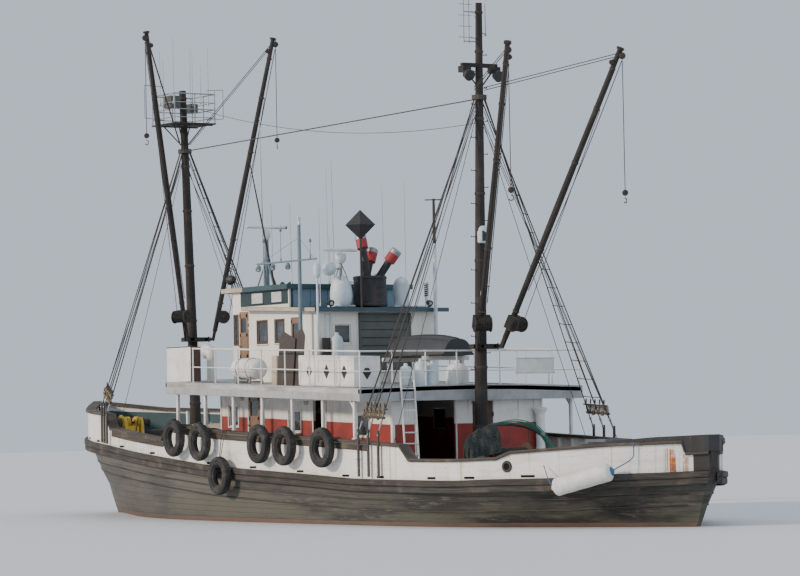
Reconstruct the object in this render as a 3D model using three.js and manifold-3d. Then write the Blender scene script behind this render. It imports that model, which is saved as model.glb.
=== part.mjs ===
// A wooden coastal cargo vessel of about 30 m with two masts and four cargo booms.
// Millimetres. +X is the bow, +Y is port, +Z is up.
// The origin is on the waterline, on the centreline, amidships.
import * as THREE from "three";
import * as BufferGeometryUtils from "three/addons/utils/BufferGeometryUtils.js";
import Module from "manifold-3d";

const wasm = await Module();
wasm.setup();

// Clearance between pieces that touch, and the shortest edge that a join or cut keeps.
const GAP = 0.3;
const FINEST = 0.1;

// Deck line from stern to stem: x, half breadth, height of the deck edge over the water.
const DECK = [
  [-14750, 120, 1330], [-14100, 740, 1300], [-13050, 1600, 1270], [-11900, 2350, 1200], [-10300, 3120, 1180],
  [-8900, 3420, 1150], [-6900, 3500, 1165], [-4900, 3520, 1190], [-2900, 3520, 1280], [-500, 3510, 1380],
  [2300, 3490, 1510], [5100, 3420, 1730], [7100, 3270, 1890], [9100, 2970, 2060], [10600, 2620, 2150],
  [12100, 2070, 2220], [13600, 1320, 2290], [14600, 700, 2340], [15450, 100, 2390],
].map(([x, half, z]) => ({ x, half, z }));

// Half breadths lower down: x, half breadth.
const WATER_PLAN = [
  [-14120, 60], [-12900, 850], [-10900, 2000], [-8900, 2900], [-5900, 3350], [-1900, 3400], [2100, 3300],
  [5100, 3050], [7100, 2650], [9100, 2050], [11100, 1250], [13100, 420], [14100, 60],
];
const BILGE_PLAN = [
  [-13300, 80], [-12600, 450], [-11000, 1250], [-9000, 2200], [-7000, 2750], [-4000, 3050], [1000, 3000],
  [5000, 2600], [8000, 1950], [10000, 1300], [12000, 550], [13350, 60],
];
const LOW_PLAN = [
  [-11700, 110], [-10500, 550], [-9000, 1150], [-7000, 1850], [-4000, 2400], [0, 2450], [4100, 2080],
  [7100, 1480], [9100, 900], [11100, 350], [12600, 60],
];
const GARBOARD_PLAN = [
  [-11620, 110], [-9000, 260], [-7000, 560], [-4000, 950], [0, 1000], [4000, 720], [8000, 300], [11700, 90],
];
const KEEL_HALF = 105;
const KEEL = { aft: [-11560, -2750], fore: [11100, -2350] };
const WATERWAY = 260;

// Boat deck over the house: aft and fore edge, half breadth, height of the top at the edge, camber.
const BOAT_DECK = { aft: -4950, fore: 5000, half: 3420, zAft: 3380, zFore: 3740, camber: 80, thick: 110,
  fascia: 300, board: 60 };

// Houses.
const HOUSE = { aft: -4700, fore: 3950, half: 2300, wall: 60 };
const PILOT = { aft: -550, fore: 3950, half: 1870, wall: 50, raisedAft: 950 };
const PILOT_ROOF = { half: 2100, aft: -750, fore: 3100, zAft: 5480, zFore: 5640, thick: 110 };
const WHEEL_ROOF = { half: 2000, aft: 850, fore: 4350, z: 6150, thick: 130 };

// Masts: foot, top, radius at the foot and the top.
const FOREMAST = { foot: [9400, 0, 2080], top: [9900, 0, 12320], r: [160, 100] };
const MAINMAST = { foot: [-5250, 0, 1190], top: [-5540, 0, 13140], r: [180, 85] };

// Cargo booms: heel, head, radius.
const FORE_BOOM = { heel: [9170, 330, 5050], head: [8200, 2100, 13800], r: 80, drum: 150 };
const MAIN_BOOM = { heel: [-5640, 310, 4420], head: [-9250, 1700, 11700], r: 85, drum: 160 };
const SIDES = [["port", 1], ["starboard", -1]];

const FINISH = {
  hull: [0x2b2a24, 0.85, 0], guard: [0x1d1a16, 0.9, 0], white: [0xe9e6da, 0.6, 0],
  cap: [0x3a2f25, 0.8, 0], steel: [0x59616a, 0.55, 0.7], bronze: [0xa8793b, 0.4, 0.9],
  red: [0x7d2d22, 0.7, 0], deck: [0xb9bcb4, 0.8, 0], tan: [0x9a6b3c, 0.6, 0],
  cream: [0xe4dcc4, 0.6, 0], black: [0x18181a, 0.6, 0], spar: [0x241d18, 0.75, 0],
  wire: [0x2c2b2a, 0.6, 0.4], rubber: [0x191919, 0.9, 0], yellow: [0xc9a22a, 0.6, 0],
  rust: [0x6b3f25, 0.9, 0.2],
  slate: [0x565d66, 0.7, 0],
};

const vessel = new THREE.Group();
vessel.name = "cargo_vessel";

function addMesh(name, geometry, finish) {
  const [color, roughness, metalness] = FINISH[finish];
  const mesh = new THREE.Mesh(geometry, new THREE.MeshStandardMaterial({ color, roughness, metalness }));
  mesh.name = name;
  vessel.add(mesh);
}

// Booleans.
function solid(geometry) {
  if (geometry instanceof wasm.Manifold) return geometry;
  const bare = geometry.clone();
  for (const name of Object.keys(bare.attributes)) if (name !== "position") bare.deleteAttribute(name);
  const merged = BufferGeometryUtils.mergeVertices(bare, 1e-3);
  return new wasm.Manifold(new wasm.Mesh({
    numProp: 3,
    vertProperties: new Float32Array(merged.attributes.position.array),
    triVerts: new Uint32Array(merged.index.array),
  }));
}
function join(...parts) {
  return parts.flat(Infinity).map(solid).reduce((all, part) => all.add(part));
}
function cut(body, ...tools) {
  return tools.flat(Infinity).map(solid).reduce((left, tool) => left.subtract(tool), solid(body));
}
function meet(a, b) {
  return solid(a).intersect(solid(b));
}
function toGeometry(body) {
  const mesh = solid(body).simplify(FINEST).getMesh();
  const geometry = new THREE.BufferGeometry();
  geometry.setAttribute("position", new THREE.BufferAttribute(new Float32Array(mesh.vertProperties), 3));
  geometry.setIndex(new THREE.BufferAttribute(new Uint32Array(mesh.triVerts), 1));
  return geometry;
}
function addSolid(name, body, finish) {
  addMesh(name, toGeometry(body), finish);
}

// Primitive shapes in ship coordinates.
function block(x0, x1, y0, y1, z0, z1) {
  const box = new THREE.BoxGeometry(x1 - x0, y1 - y0, z1 - z0);
  return box.translate((x0 + x1) / 2, (y0 + y1) / 2, (z0 + z1) / 2);
}
// Points that lie on the straight line between their neighbours are left out, as the end caps leave them out.
function outline(points) {
  const corners = points.filter(([a, b], i) => {
    const [a0, b0] = points.at(i - 1);
    const [a1, b1] = points[(i + 1) % points.length];
    const turn = (a - a0) * (b1 - b0) - (b - b0) * (a1 - a0);
    return Math.abs(turn) > 1e-6 * Math.hypot(a1 - a0, b1 - b0) ** 2;
  });
  return new THREE.Shape(corners.map(([a, b]) => new THREE.Vector2(a, b)));
}
function extrude(points, depth) {
  return new THREE.ExtrudeGeometry(outline(points), { depth, bevelEnabled: false, curveSegments: 8 });
}
// An outline of x, z pairs carried across from y0 to y1.
function sideSolid(points, y0, y1) {
  return extrude(points, y1 - y0).rotateX(Math.PI / 2).translate(0, y1, 0);
}
// An outline of y, z pairs carried along from x0 to x1.
function endSolid(points, x0, x1) {
  const turn = new THREE.Matrix4().set(0, 0, 1, x0, 1, 0, 0, 0, 0, 1, 0, 0, 0, 0, 0, 1);
  return extrude(points, x1 - x0).applyMatrix4(turn);
}
function spar(from, to, r0, r1 = r0, sides = 10) {
  const a = new THREE.Vector3(...from);
  const b = new THREE.Vector3(...to);
  const along = b.clone().sub(a);
  const rod = new THREE.CylinderGeometry(r1, r0, along.length(), sides);
  const lean = new THREE.Quaternion().setFromUnitVectors(new THREE.Vector3(0, 1, 0), along.normalize());
  rod.applyQuaternion(lean);
  return rod.translate(...a.add(b).multiplyScalar(0.5).toArray());
}
function upright(x, y, z0, z1, r, sides = 10) {
  return spar([x, y, z0], [x, y, z1], r, r, sides);
}
// Radius of a faceted bore in which a faceted pin of radius r can turn.
function running(r, sides) {
  return (r + GAP) / Math.cos(Math.PI / sides);
}
// A turned shape about a vertical axis: profile of r, z pairs from the axis back to the axis.
function turned(profile, x, y, sides = 12) {
  const points = profile.map(([r, z]) => new THREE.Vector2(r, z));
  return new THREE.LatheGeometry(points, sides).rotateX(Math.PI / 2).translate(x, y, 0);
}
function between(from, to, t) {
  return from.map((value, i) => value + (to[i] - value) * t);
}

// Value of a table of x, value rows at x, on straight lines.
function along(rows, x) {
  if (x <= rows[0][0]) return rows[0][1];
  for (let i = 1; i < rows.length; i += 1) {
    if (x <= rows[i][0]) {
      const t = (x - rows[i - 1][0]) / (rows[i][0] - rows[i - 1][0]);
      return rows[i - 1][1] + (rows[i][1] - rows[i - 1][1]) * t;
    }
  }
  return rows[rows.length - 1][1];
}
const DECK_Z = DECK.map(({ x, z }) => [x, z]);
const DECK_HALF = DECK.map(({ x, half }) => [x, half]);
const deckZ = (x) => along(DECK_Z, x);
const deckHalf = (x) => along(DECK_HALF, x);

// Hull: rings of points from the keel up each side to the deck, one ring for each row of DECK.
function hullRing(row, grow) {
  const share = (row.x - DECK[0].x) / (DECK.at(-1).x - DECK[0].x);
  const at = (aft, fore) => aft + (fore - aft) * share;
  const keelZ = at(KEEL.aft[1], KEEL.fore[1]);
  const level = (plan, z) => {
    const x = at(plan[0][0], plan.at(-1)[0]);
    return [x, along(plan, x) + grow, z];
  };
  const waterHalf = along(WATER_PLAN, at(WATER_PLAN[0][0], WATER_PLAN.at(-1)[0]));
  const push = grow * (share === 0 ? -1 : Math.floor(share));
  const side = [
    [at(KEEL.aft[0], KEEL.fore[0]), KEEL_HALF + grow, keelZ - grow],
    level(GARBOARD_PLAN, keelZ + 420),
    level(LOW_PLAN, -1550),
    level(BILGE_PLAN, -750),
    level(WATER_PLAN, 0),
    [at(-14450, 14850), (waterHalf + 1.5 * row.half) / 2.5 + grow, row.z * 0.5],
    [row.x, row.half + grow, row.z + grow],
    [row.x, Math.max(row.half - WATERWAY, row.half * 0.3), row.z + grow],
  ];
  const port = side.map(([x, y, z]) => [x + push, y, z]);
  return [...port, ...port.map(([x, y, z]) => [x, -y, z]).reverse()];
}

// Skin over rings that have the same number of points, closed by strips across the end rings.
function loft(rings) {
  const count = rings[0].length;
  const faces = [];
  for (let i = 0; i < rings.length - 1; i += 1) {
    for (let j = 0; j < count; j += 1) {
      const [a, b] = [i * count + j, i * count + ((j + 1) % count)];
      faces.push(a, b, a + count, b, b + count, a + count);
    }
  }
  const last = (rings.length - 1) * count;
  for (let j = 0; j < count / 2 - 1; j += 1) {
    const [a, b, c, d] = [j, j + 1, count - 2 - j, count - 1 - j];
    faces.push(a, c, b, a, d, c);
    faces.push(last + a, last + b, last + c, last + a, last + c, last + d);
  }
  const geometry = new THREE.BufferGeometry();
  geometry.setAttribute("position", new THREE.BufferAttribute(new Float32Array(rings.flat(2)), 3));
  geometry.setIndex(faces);
  const volume = solidVolume(geometry);
  if (volume < 0) geometry.setIndex(faces.map((_, i) => faces[i - (i % 3) + [0, 2, 1][i % 3]]));
  return geometry;
}
function solidVolume(geometry) {
  const position = geometry.attributes.position;
  const index = geometry.index.array;
  const corner = (i) => new THREE.Vector3().fromBufferAttribute(position, index[i]);
  let sum = 0;
  for (let i = 0; i < index.length; i += 3) sum += corner(i).dot(corner(i + 1).cross(corner(i + 2)));
  return sum;
}

// Deck outline moved outwards by an offset, as x, half breadth rows.
function deckRows(offset) {
  const moved = DECK.map(({ x, half }, i) => {
    const before = DECK[Math.max(i - 1, 0)];
    const after = DECK[Math.min(i + 1, DECK.length - 1)];
    const [dx, dy] = [after.x - before.x, after.half - before.half];
    const length = Math.hypot(dx, dy);
    return [x - (dy / length) * offset, half + (dx / length) * offset];
  });
  return moved.filter(([, half]) => half > 25);
}
// Everything inside the moved outline between two levels.
function deckPrism(offset, z0, z1) {
  const ring = ([x, half]) => [[x, -half, z0], [x, -half, z1], [x, half, z1], [x, half, z0]];
  return loft(deckRows(offset).map(ring));
}
// Space between two heights over the deck that vary along the ship, given as x, height rows.
function band(low, high, aft = -15900, fore = 16800) {
  const across = 5000;
  const knots = [...DECK_Z, ...low, ...high].map(([x]) => x).filter((x) => x > aft && x < fore);
  const xs = [...new Set([aft, fore, ...knots])].sort((a, b) => a - b);
  return loft(xs.map((x) => {
    const [z0, z1] = [deckZ(x) + along(low, x), deckZ(x) + along(high, x)];
    return [[x, -across, z0], [x, -across, z1], [x, across, z1], [x, across, z0]];
  }));
}
function flat(height) {
  return [[-15900, height], [16800, height]];
}
function rim(outer, inner) {
  return cut(deckPrism(outer, -1000, 5000), deckPrism(inner, -1100, 5100));
}

// Bulwark height over the deck edge: x, height. Low waists lie abreast of the two cargo decks.
const BULWARK = [
  [-15400, 350], [-14360, 350], [-14300, 620], [-12000, 620], [-10800, 560], [-10420, 420], [-7300, 420],
  [-6900, 770], [-4700, 860], [4850, 860], [5200, 420], [9000, 420], [9350, 800], [13600, 760], [15450, 900],
  [16100, 930],
];
const raise = (rows, by) => rows.map(([x, height]) => [x, height + by]);
const CAP = { outer: 70, inner: -240, thick: 75 };
const BULWARK_WALL = 110;
const GUARD = { out: 120, top: -30, deep: 300 };
// Steel plates over the cap at the stern: x, top over the deck edge.
const STERN_PLATE = [[-15400, 800], [-13900, 800], [-13700, 790], [-12300, 700]];

// Steering gear and screw in the aperture under the stern.
const RUDDER = { stockX: -12900, stock: 60, leading: -12640, trailing: -13900, top: -1180, topAft: -1020,
  foot: -2590, trunk: -620, thick: 90 };
const SCREW = { x: -11960, z: -2060, r: 520, blades: 4, shaft: 55, shaftEnd: -11450 };
const SHOE = { x0: -13060, x1: -11300, half: 90, z0: -2750, z1: -2615, bore: 60 };

function hullPieces() {
  const shell = loft(DECK.map((row) => hullRing(row, 0)));
  const shoe = block(SHOE.x0, SHOE.x1, -SHOE.half, SHOE.half, SHOE.z0, SHOE.z1);
  const bores = [upright(RUDDER.stockX, 0, SHOE.z1 - SHOE.bore, RUDDER.trunk, running(RUDDER.stock, 12), 12),
    spar([SCREW.x, 0, SCREW.z], [SCREW.shaftEnd - 20, 0, SCREW.z], running(SCREW.shaft, 12), undefined, 12)];
  addSolid("hull", cut(join(shell, shoe), bores), "hull");
  const hullTool = loft(DECK.map((row) => hullRing(row, GAP)));
  const guardBand = band(flat(GUARD.top - GUARD.deep), flat(GUARD.top));
  addSolid("guard_rail", cut(meet(deckPrism(GUARD.out, -1000, 5000), guardBand), hullTool), "guard");
  addSolid("bulwark", meet(rim(0, -BULWARK_WALL), band(flat(GAP), BULWARK)), "white");
  const capBand = band(raise(BULWARK, GAP), raise(BULWARK, CAP.thick));
  addSolid("cap_rail", meet(rim(CAP.outer, CAP.inner), capBand), "cap");
  const plateBand = band(raise(BULWARK, CAP.thick + GAP), STERN_PLATE, -15900, -12400);
  addSolid("stern_plates", meet(rim(CAP.outer - 20, -60), plateBand), "steel");
}

function sternGear() {
  const { stockX, stock, leading, trailing, top, topAft, foot, trunk, thick } = RUDDER;
  const blade = [[leading, foot], [trailing, foot + 60], [trailing - 60, -1600], [trailing + 250, topAft],
    [leading, top]];
  const post = upright(stockX, 0, SHOE.z1 - SHOE.bore + GAP, trunk - GAP, stock, 12);
  addSolid("rudder", join(sideSolid(blade, -thick / 2, thick / 2), post), "steel");
  const parts = [spar([SCREW.x - 170, 0, SCREW.z], [SCREW.x + 190, 0, SCREW.z], 70, 100, 12),
    spar([SCREW.x, 0, SCREW.z], [SCREW.shaftEnd - 20 - GAP, 0, SCREW.z], SCREW.shaft, SCREW.shaft, 12)];
  for (let i = 0; i < SCREW.blades; i += 1) {
    const leaf = new THREE.SphereGeometry(1, 8, 6).scale(26, 165, (SCREW.r - 50) / 2).translate(0, 0,
      (SCREW.r + 50) / 2);
    leaf.rotateZ(0.6).rotateX((i * 2 * Math.PI) / SCREW.blades).translate(SCREW.x, 0, SCREW.z);
    parts.push(leaf);
  }
  addSolid("propeller", join(parts), "bronze");
}

// Boat deck: top at the centreline camber, following the sheer.
const boatEdge = (x) => along([[BOAT_DECK.aft, BOAT_DECK.zAft], [BOAT_DECK.fore, BOAT_DECK.zFore]], x);
const CAMBER = [[-1, 0], [-0.5, 0.75], [0, 1], [0.5, 0.75], [1, 0]];
const boatTop = (x, y) => boatEdge(x) + BOAT_DECK.camber * along(CAMBER, y / BOAT_DECK.half);
const boatUnder = (x, y) => boatTop(x, y) - BOAT_DECK.thick;

const CHOCKS = [-3700, -1800];
const SKIFF = { aft: -4300, fore: -1100, half: 620, z: 4230, top: 4780 };

function boatDeck() {
  const { aft, fore, fascia, board, half } = BOAT_DECK;
  const section = (x) => {
    const over = CAMBER.map(([share]) => [x, share * half, boatTop(x, share * half)]);
    const under = CAMBER.map(([share]) => {
      const y = Math.sign(share) * Math.min(Math.abs(share) * half, half - board);
      return [x, y, boatUnder(x, y)];
    });
    const low = boatEdge(x) - fascia;
    return [[x, -half, low], ...over, [x, half, low], [x, half - board, low], ...under.reverse(),
      [x, board - half, low]];
  };
  const endBoard = (x0, x1) => {
    const over = CAMBER.map(([share]) => [share * (half - 1), boatTop(x0, share * half) - 4]);
    return endSolid([...over, [half - 1, boatEdge(x0) - fascia], [1 - half, boatEdge(x0) - fascia]], x0, x1);
  };
  const chocks = CHOCKS.map((x) => [
    block(x - 60, x + 60, -700, 700, SKIFF.z - 110, SKIFF.z - GAP),
    ...[-500, 500].map((y) => block(x - 50, x + 50, y - 50, y + 50, boatTop(x, y) - 30, SKIFF.z - 100)),
  ]);
  const ends = [endBoard(aft, aft + board), endBoard(fore - board, fore)];
  addSolid("boat_deck", join(loft([section(aft), section(fore)]), ends, chocks), "deck");
}

// Posts from the cap rail up to the boat deck, under a long beam.
const POSTS = { count: 7, aft: -4550, fore: 4500, width: 85, beam: 110 };
const capTop = (x) => deckZ(x) + along(BULWARK, x) + CAP.thick;
function boatDeckPosts() {
  const outer = BOAT_DECK.half - BOAT_DECK.board - 1;
  for (const [name, side] of SIDES) {
    const [y0, y1] = [(outer - POSTS.width) * side, outer * side].sort((a, b) => a - b);
    const beamAt = (x) => {
      const high = boatUnder(x, outer) - GAP;
      return [[x, y0, high - POSTS.beam], [x, y0, high], [x, y1, high], [x, y1, high - POSTS.beam]];
    };
    const parts = [loft([beamAt(BOAT_DECK.aft + 70), beamAt(BOAT_DECK.fore - 70)])];
    for (let i = 0; i < POSTS.count; i += 1) {
      const x = POSTS.aft + ((POSTS.fore - POSTS.aft) * i) / (POSTS.count - 1);
      const [a, b] = [x - POSTS.width / 2, x + POSTS.width / 2];
      const foot = Math.max(capTop(a), capTop(b)) + GAP;
      parts.push(block(a, b, y0, y1, foot, boatUnder(x, outer) - POSTS.beam / 2));
    }
    addSolid(`boat_deck_posts_${name}`, join(parts), "white");
  }
}

// Deckhouse walls under the boat deck. Doorways and windows: x0, x1, height of sill and head over the deck.
const HOUSE_PORT = [[1820, 2430, 130, 1850], [-1500, -900, 130, 1800], [-3600, -3000, 950, 1500],
  [-250, 350, 950, 1500], [3000, 3500, 950, 1500]];
const HOUSE_AFT_OPEN = { y0: 400, y1: 1600, sill: 130, head: 1900 };
const HOUSE_AFT_DOOR = { y0: -760, y1: -130, sill: 130, head: 1850 };
// Windows of the front wall: y0, y1, sill, head.
const HOUSE_FRONT = [[-1500, -900, 900, 1450], [-250, 250, 900, 1450], [900, 1500, 900, 1450]];
const houseTop = (x, y) => boatUnder(x, y) - 2 * GAP;
function deckLine(x0, x1, lift) {
  const inside = DECK.map(({ x }) => x).filter((x) => x > x0 && x < x1);
  return [x0, ...inside, x1].map((x) => [x, deckZ(x) + lift]);
}
// A flat-topped pad on the sloping main deck.
function deckPad(x0, x1, y0, y1, high) {
  const top = Math.max(deckZ(x0), deckZ(x1)) + high;
  return loft(deckLine(x0, x1, GAP).map(([x, z]) => [[x, y0, z], [x, y0, top], [x, y1, top], [x, y1, z]]));
}
function houseSide(side, openings) {
  const { aft, fore, half, wall } = HOUSE;
  const [y0, y1] = side > 0 ? [half - wall, half] : [-half, wall - half];
  const top = [fore, aft].map((x) => [x, houseTop(x, half)]);
  const sheet = sideSolid([...deckLine(aft, fore, GAP), ...top], y0, y1);
  const holes = openings.map(([x0, x1, low, high]) => {
    const base = deckZ((x0 + x1) / 2);
    return block(x0, x1, y0 - 20, y1 + 20, base + low, base + high);
  });
  const [d0, d1] = openings[0];
  const frames = side > 0 ? [doorFrame(openings[0], half, side, deckZ((d0 + d1) / 2))] : [];
  return join(cut(sheet, holes), frames);
}
function houseEnd(x0, x1, openings) {
  const half = HOUSE.half - HOUSE.wall - GAP;
  const base = Math.max(deckZ(x0), deckZ(x1)) + GAP;
  const top = [half, BOAT_DECK.half / 2, 0, -BOAT_DECK.half / 2, -half].map((y) => [y, houseTop(x0, y)]);
  const sheet = endSolid([[-half, base], [half, base], ...top], x0, x1);
  const holes = openings.map(([y0, y1, low, high]) => block(x0 - 20, x1 + 20, y0, y1, base + low, base + high));
  return cut(sheet, holes);
}
function deckhouse() {
  addSolid("deckhouse_port_wall", houseSide(1, HOUSE_PORT), "red");
  addSolid("deckhouse_starboard_wall", houseSide(-1, HOUSE_PORT.slice(1)), "red");
  const { aft, fore, wall } = HOUSE;
  const aftDoors = [HOUSE_AFT_OPEN, HOUSE_AFT_DOOR].map(({ y0, y1, sill, head }) => [y0, y1, sill, head]);
  const z0 = deckZ(aft + wall) + GAP;
  const aftFrame = hinges(z0 + HOUSE_AFT_DOOR.sill, z0 + HOUSE_AFT_DOOR.head, HINGE.strap, false,
    onAft(HOUSE_AFT_DOOR.y0, aft));
  addSolid("deckhouse_aft_wall", join(houseEnd(aft, aft + wall, aftDoors), aftFrame), "white");
  addSolid("deckhouse_front_wall", houseEnd(fore - wall, fore, HOUSE_FRONT), "white");
}

// Frame knuckles of a side door, which belong to the wall.
function doorFrame([x0, , low, high], half, side, base) {
  return hinges(base + low, base + high, HINGE.strap, false, onSide(x0, half, side));
}
// Doors: a leaf inside its opening with a lip of clearance, and a round pin along its hinge edge.
const LEAF = { gap: 8, thick: 42, proud: 4, stile: 90, paneLow: 560, paneHigh: 170 };
// Hinge: radius, reach of its axis off the face, half length of the leaf's knuckle, and of the whole hinge.
const HINGE = { r: 13, out: 17, leaf: 55, all: 110, strap: 40, heights: [0.2, 0.8] };
// Knuckles about an upright axis at the origin: the leaf is towards +x, the frame towards -x, the face at -y.
function hingePair(z, strapX, leafSide) {
  const { r, out, leaf, all } = HINGE;
  if (leafSide) {
    return [upright(0, 0, z - leaf, z + leaf, r, 6), block(0, strapX, -out - 8, -3, z - leaf, z + leaf)];
  }
  return [[-all, -leaf - GAP], [leaf + GAP, all]].map(([a, b]) =>
    [upright(0, 0, z + a, z + b, r, 6), block(-strapX, 0, -out - 8, -3, z + a, z + b)]);
}
// Leaf or frame knuckles at both heights of an opening from z0 to z1, by a placing function.
function hinges(z0, z1, strapX, leafSide, place) {
  return HINGE.heights.map((share) => hingePair(z0 + (z1 - z0) * share, strapX, leafSide).flat()
    .map((part) => place(part)));
}
// The hinge of a side door stands at the after edge of its opening, on the outer face.
function onSide(x, face, side) {
  return (part) => {
    const placed = part.translate(x, face + HINGE.out, 0);
    return side > 0 ? placed : acrossShip(placed);
  };
}
// The same shape on the other side of the centreline, its faces turned to point outwards again.
function acrossShip(geometry) {
  const index = Array.from(geometry.index.array);
  const turned = index.map((_, i) => index[i - (i % 3) + [0, 2, 1][i % 3]]);
  geometry.setIndex(turned);
  return geometry.scale(1, -1, 1);
}
function sideDoor(name, [x0, x1, low, high], half, wall, side, base, finish) {
  const [a, b] = [x0 + LEAF.gap, x1 - LEAF.gap];
  const outer = half * side;
  const y = [outer + LEAF.proud * side, outer - (LEAF.thick - LEAF.proud) * side].sort((p, q) => p - q);
  const leaf = block(a, b, y[0], y[1], base + low + LEAF.gap, base + high - LEAF.gap);
  const pane = block(a + LEAF.stile, b - LEAF.stile, y[0] - 5, y[1] + 5, base + high - LEAF.paneLow,
    base + high - LEAF.paneHigh);
  const knuckles = hinges(base + low, base + high, HINGE.strap, true, onSide(x0, half, side));
  addSolid(name, join(cut(leaf, pane), knuckles), finish);
}
// The hinge of a door in an after face stands at its starboard edge.
function onAft(y, face) {
  return (part) => part.rotateZ(Math.PI / 2).translate(face - HINGE.out, y, 0);
}
function deckhouseDoors() {
  const [x0, x1] = HOUSE_PORT[0];
  const base = deckZ((x0 + x1) / 2);
  sideDoor("deckhouse_port_door", HOUSE_PORT[0], HOUSE.half, HOUSE.wall, 1, base, "tan");
  const { y0, y1, sill, head } = HOUSE_AFT_DOOR;
  const z0 = deckZ(HOUSE.aft + HOUSE.wall) + GAP;
  const leaf = block(HOUSE.aft - LEAF.proud, HOUSE.aft + LEAF.thick - LEAF.proud, y0 + LEAF.gap, y1 - LEAF.gap,
    z0 + sill + LEAF.gap, z0 + head - LEAF.gap);
  const knuckles = hinges(z0 + sill, z0 + head, HINGE.strap, true, onAft(y0, HOUSE.aft));
  addSolid("deckhouse_aft_door", join(leaf, knuckles), "tan");
}

// Pilothouse on the boat deck, with its fore part raised. Openings in its sides: x0, x1, bottom, top.
const PILOT_SIDE = [[3100, 3600, 3790, 5620], [300, 880, 3680, 5380], [2130, 2620, 4760, 5320],
  [1250, 1680, 4760, 5320], [3680, 3860, 4760, 5520]];
const PILOT_FRONT = [[-1680, -1080, 4850, 5600], [-960, -360, 4850, 5600], [-240, 240, 4850, 5600],
  [360, 960, 4850, 5600], [1080, 1680, 4850, 5600]];
const PILOT_AFT_LIGHT = { y0: 900, y1: 1400, z0: 4650, z1: 5150 };
const ROOF_LINE = [[PILOT_ROOF.aft, PILOT_ROOF.zAft], [PILOT_ROOF.fore, PILOT_ROOF.zFore]];
const pilotRoofUnder = (x) => along(ROOF_LINE, x);
function pilothouse() {
  const { aft, fore, half, wall, raisedAft } = PILOT;
  for (const [name, side] of SIDES) {
    const [y0, y1] = side > 0 ? [half - wall, half] : [-half, wall - half];
    const profile = [[aft, boatTop(aft, half - wall) + GAP], [fore, boatTop(fore, half - wall) + GAP],
      [fore, WHEEL_ROOF.z - GAP], [raisedAft, WHEEL_ROOF.z - GAP], [raisedAft, pilotRoofUnder(raisedAft) - GAP],
      [aft, pilotRoofUnder(aft) - GAP]];
    const holes = PILOT_SIDE.map(([x0, x1, z0, z1]) => block(x0, x1, y0 - 20, y1 + 20, z0, z1));
    const frames = PILOT_SIDE.slice(0, 2).map((opening) => doorFrame(opening, half, side, 0));
    addSolid(`pilothouse_${name}_wall`, join(cut(sideSolid(profile, y0, y1), holes), frames), "cream");
  }
  const inner = half - wall - GAP;
  const bend = BOAT_DECK.half / 2;
  const footOf = (x) => [inner, bend, 0, -bend, -inner].map((y) => [y, boatTop(x, y) + GAP]);
  const front = endSolid([...footOf(fore).reverse(), [inner, WHEEL_ROOF.z - GAP], [-inner, WHEEL_ROOF.z - GAP]],
    fore - wall, fore);
  const lights = PILOT_FRONT.map(([y0, y1, z0, z1]) => block(fore - wall - 20, fore + 20, y0, y1, z0, z1));
  addSolid("pilothouse_front_wall", cut(front, lights), "cream");
  const roofAt = pilotRoofUnder(aft) - GAP;
  const back = endSolid([...footOf(aft + wall).reverse(), [inner, roofAt], [-inner, roofAt]], aft, aft + wall);
  const { y0, y1, z0, z1 } = PILOT_AFT_LIGHT;
  addSolid("pilothouse_aft_wall", cut(back, block(aft - 20, aft + wall + 20, y0, y1, z0, z1)), "cream");
}
function roofs() {
  const { half, aft, fore, thick } = PILOT_ROOF;
  const under = [aft, fore].map((x) => [x, pilotRoofUnder(x)]);
  const slope = [...under, ...under.map(([x, z]) => [x, z + thick]).reverse()];
  const inner = PILOT.half + GAP;
  const well = block(PILOT.raisedAft - GAP, fore + 100, -inner, inner, 4000, 7000);
  addSolid("pilothouse_roof", cut(sideSolid(slope, -half, half), well), "slate");
  const top = block(WHEEL_ROOF.aft, WHEEL_ROOF.fore, -WHEEL_ROOF.half, WHEEL_ROOF.half, WHEEL_ROOF.z,
    WHEEL_ROOF.z + WHEEL_ROOF.thick);
  const backY = PILOT.half - PILOT.wall - GAP;
  const back = block(PILOT.raisedAft, PILOT.raisedAft + 50, -backY, backY, pilotRoofUnder(PILOT.raisedAft) + 2,
    WHEEL_ROOF.z + 5);
  addSolid("wheelhouse_roof", join(top, back), "slate");
}
function pilothouseDoors() {
  const wheelDoor = PILOT_SIDE[0];
  const cabinDoor = PILOT_SIDE[1];
  for (const [name, side] of SIDES) {
    sideDoor(`wheelhouse_door_${name}`, wheelDoor, PILOT.half, PILOT.wall, side, 0, "tan");
    sideDoor(`cabin_door_${name}`, cabinDoor, PILOT.half, PILOT.wall, side, 0, "tan");
  }
}

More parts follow.
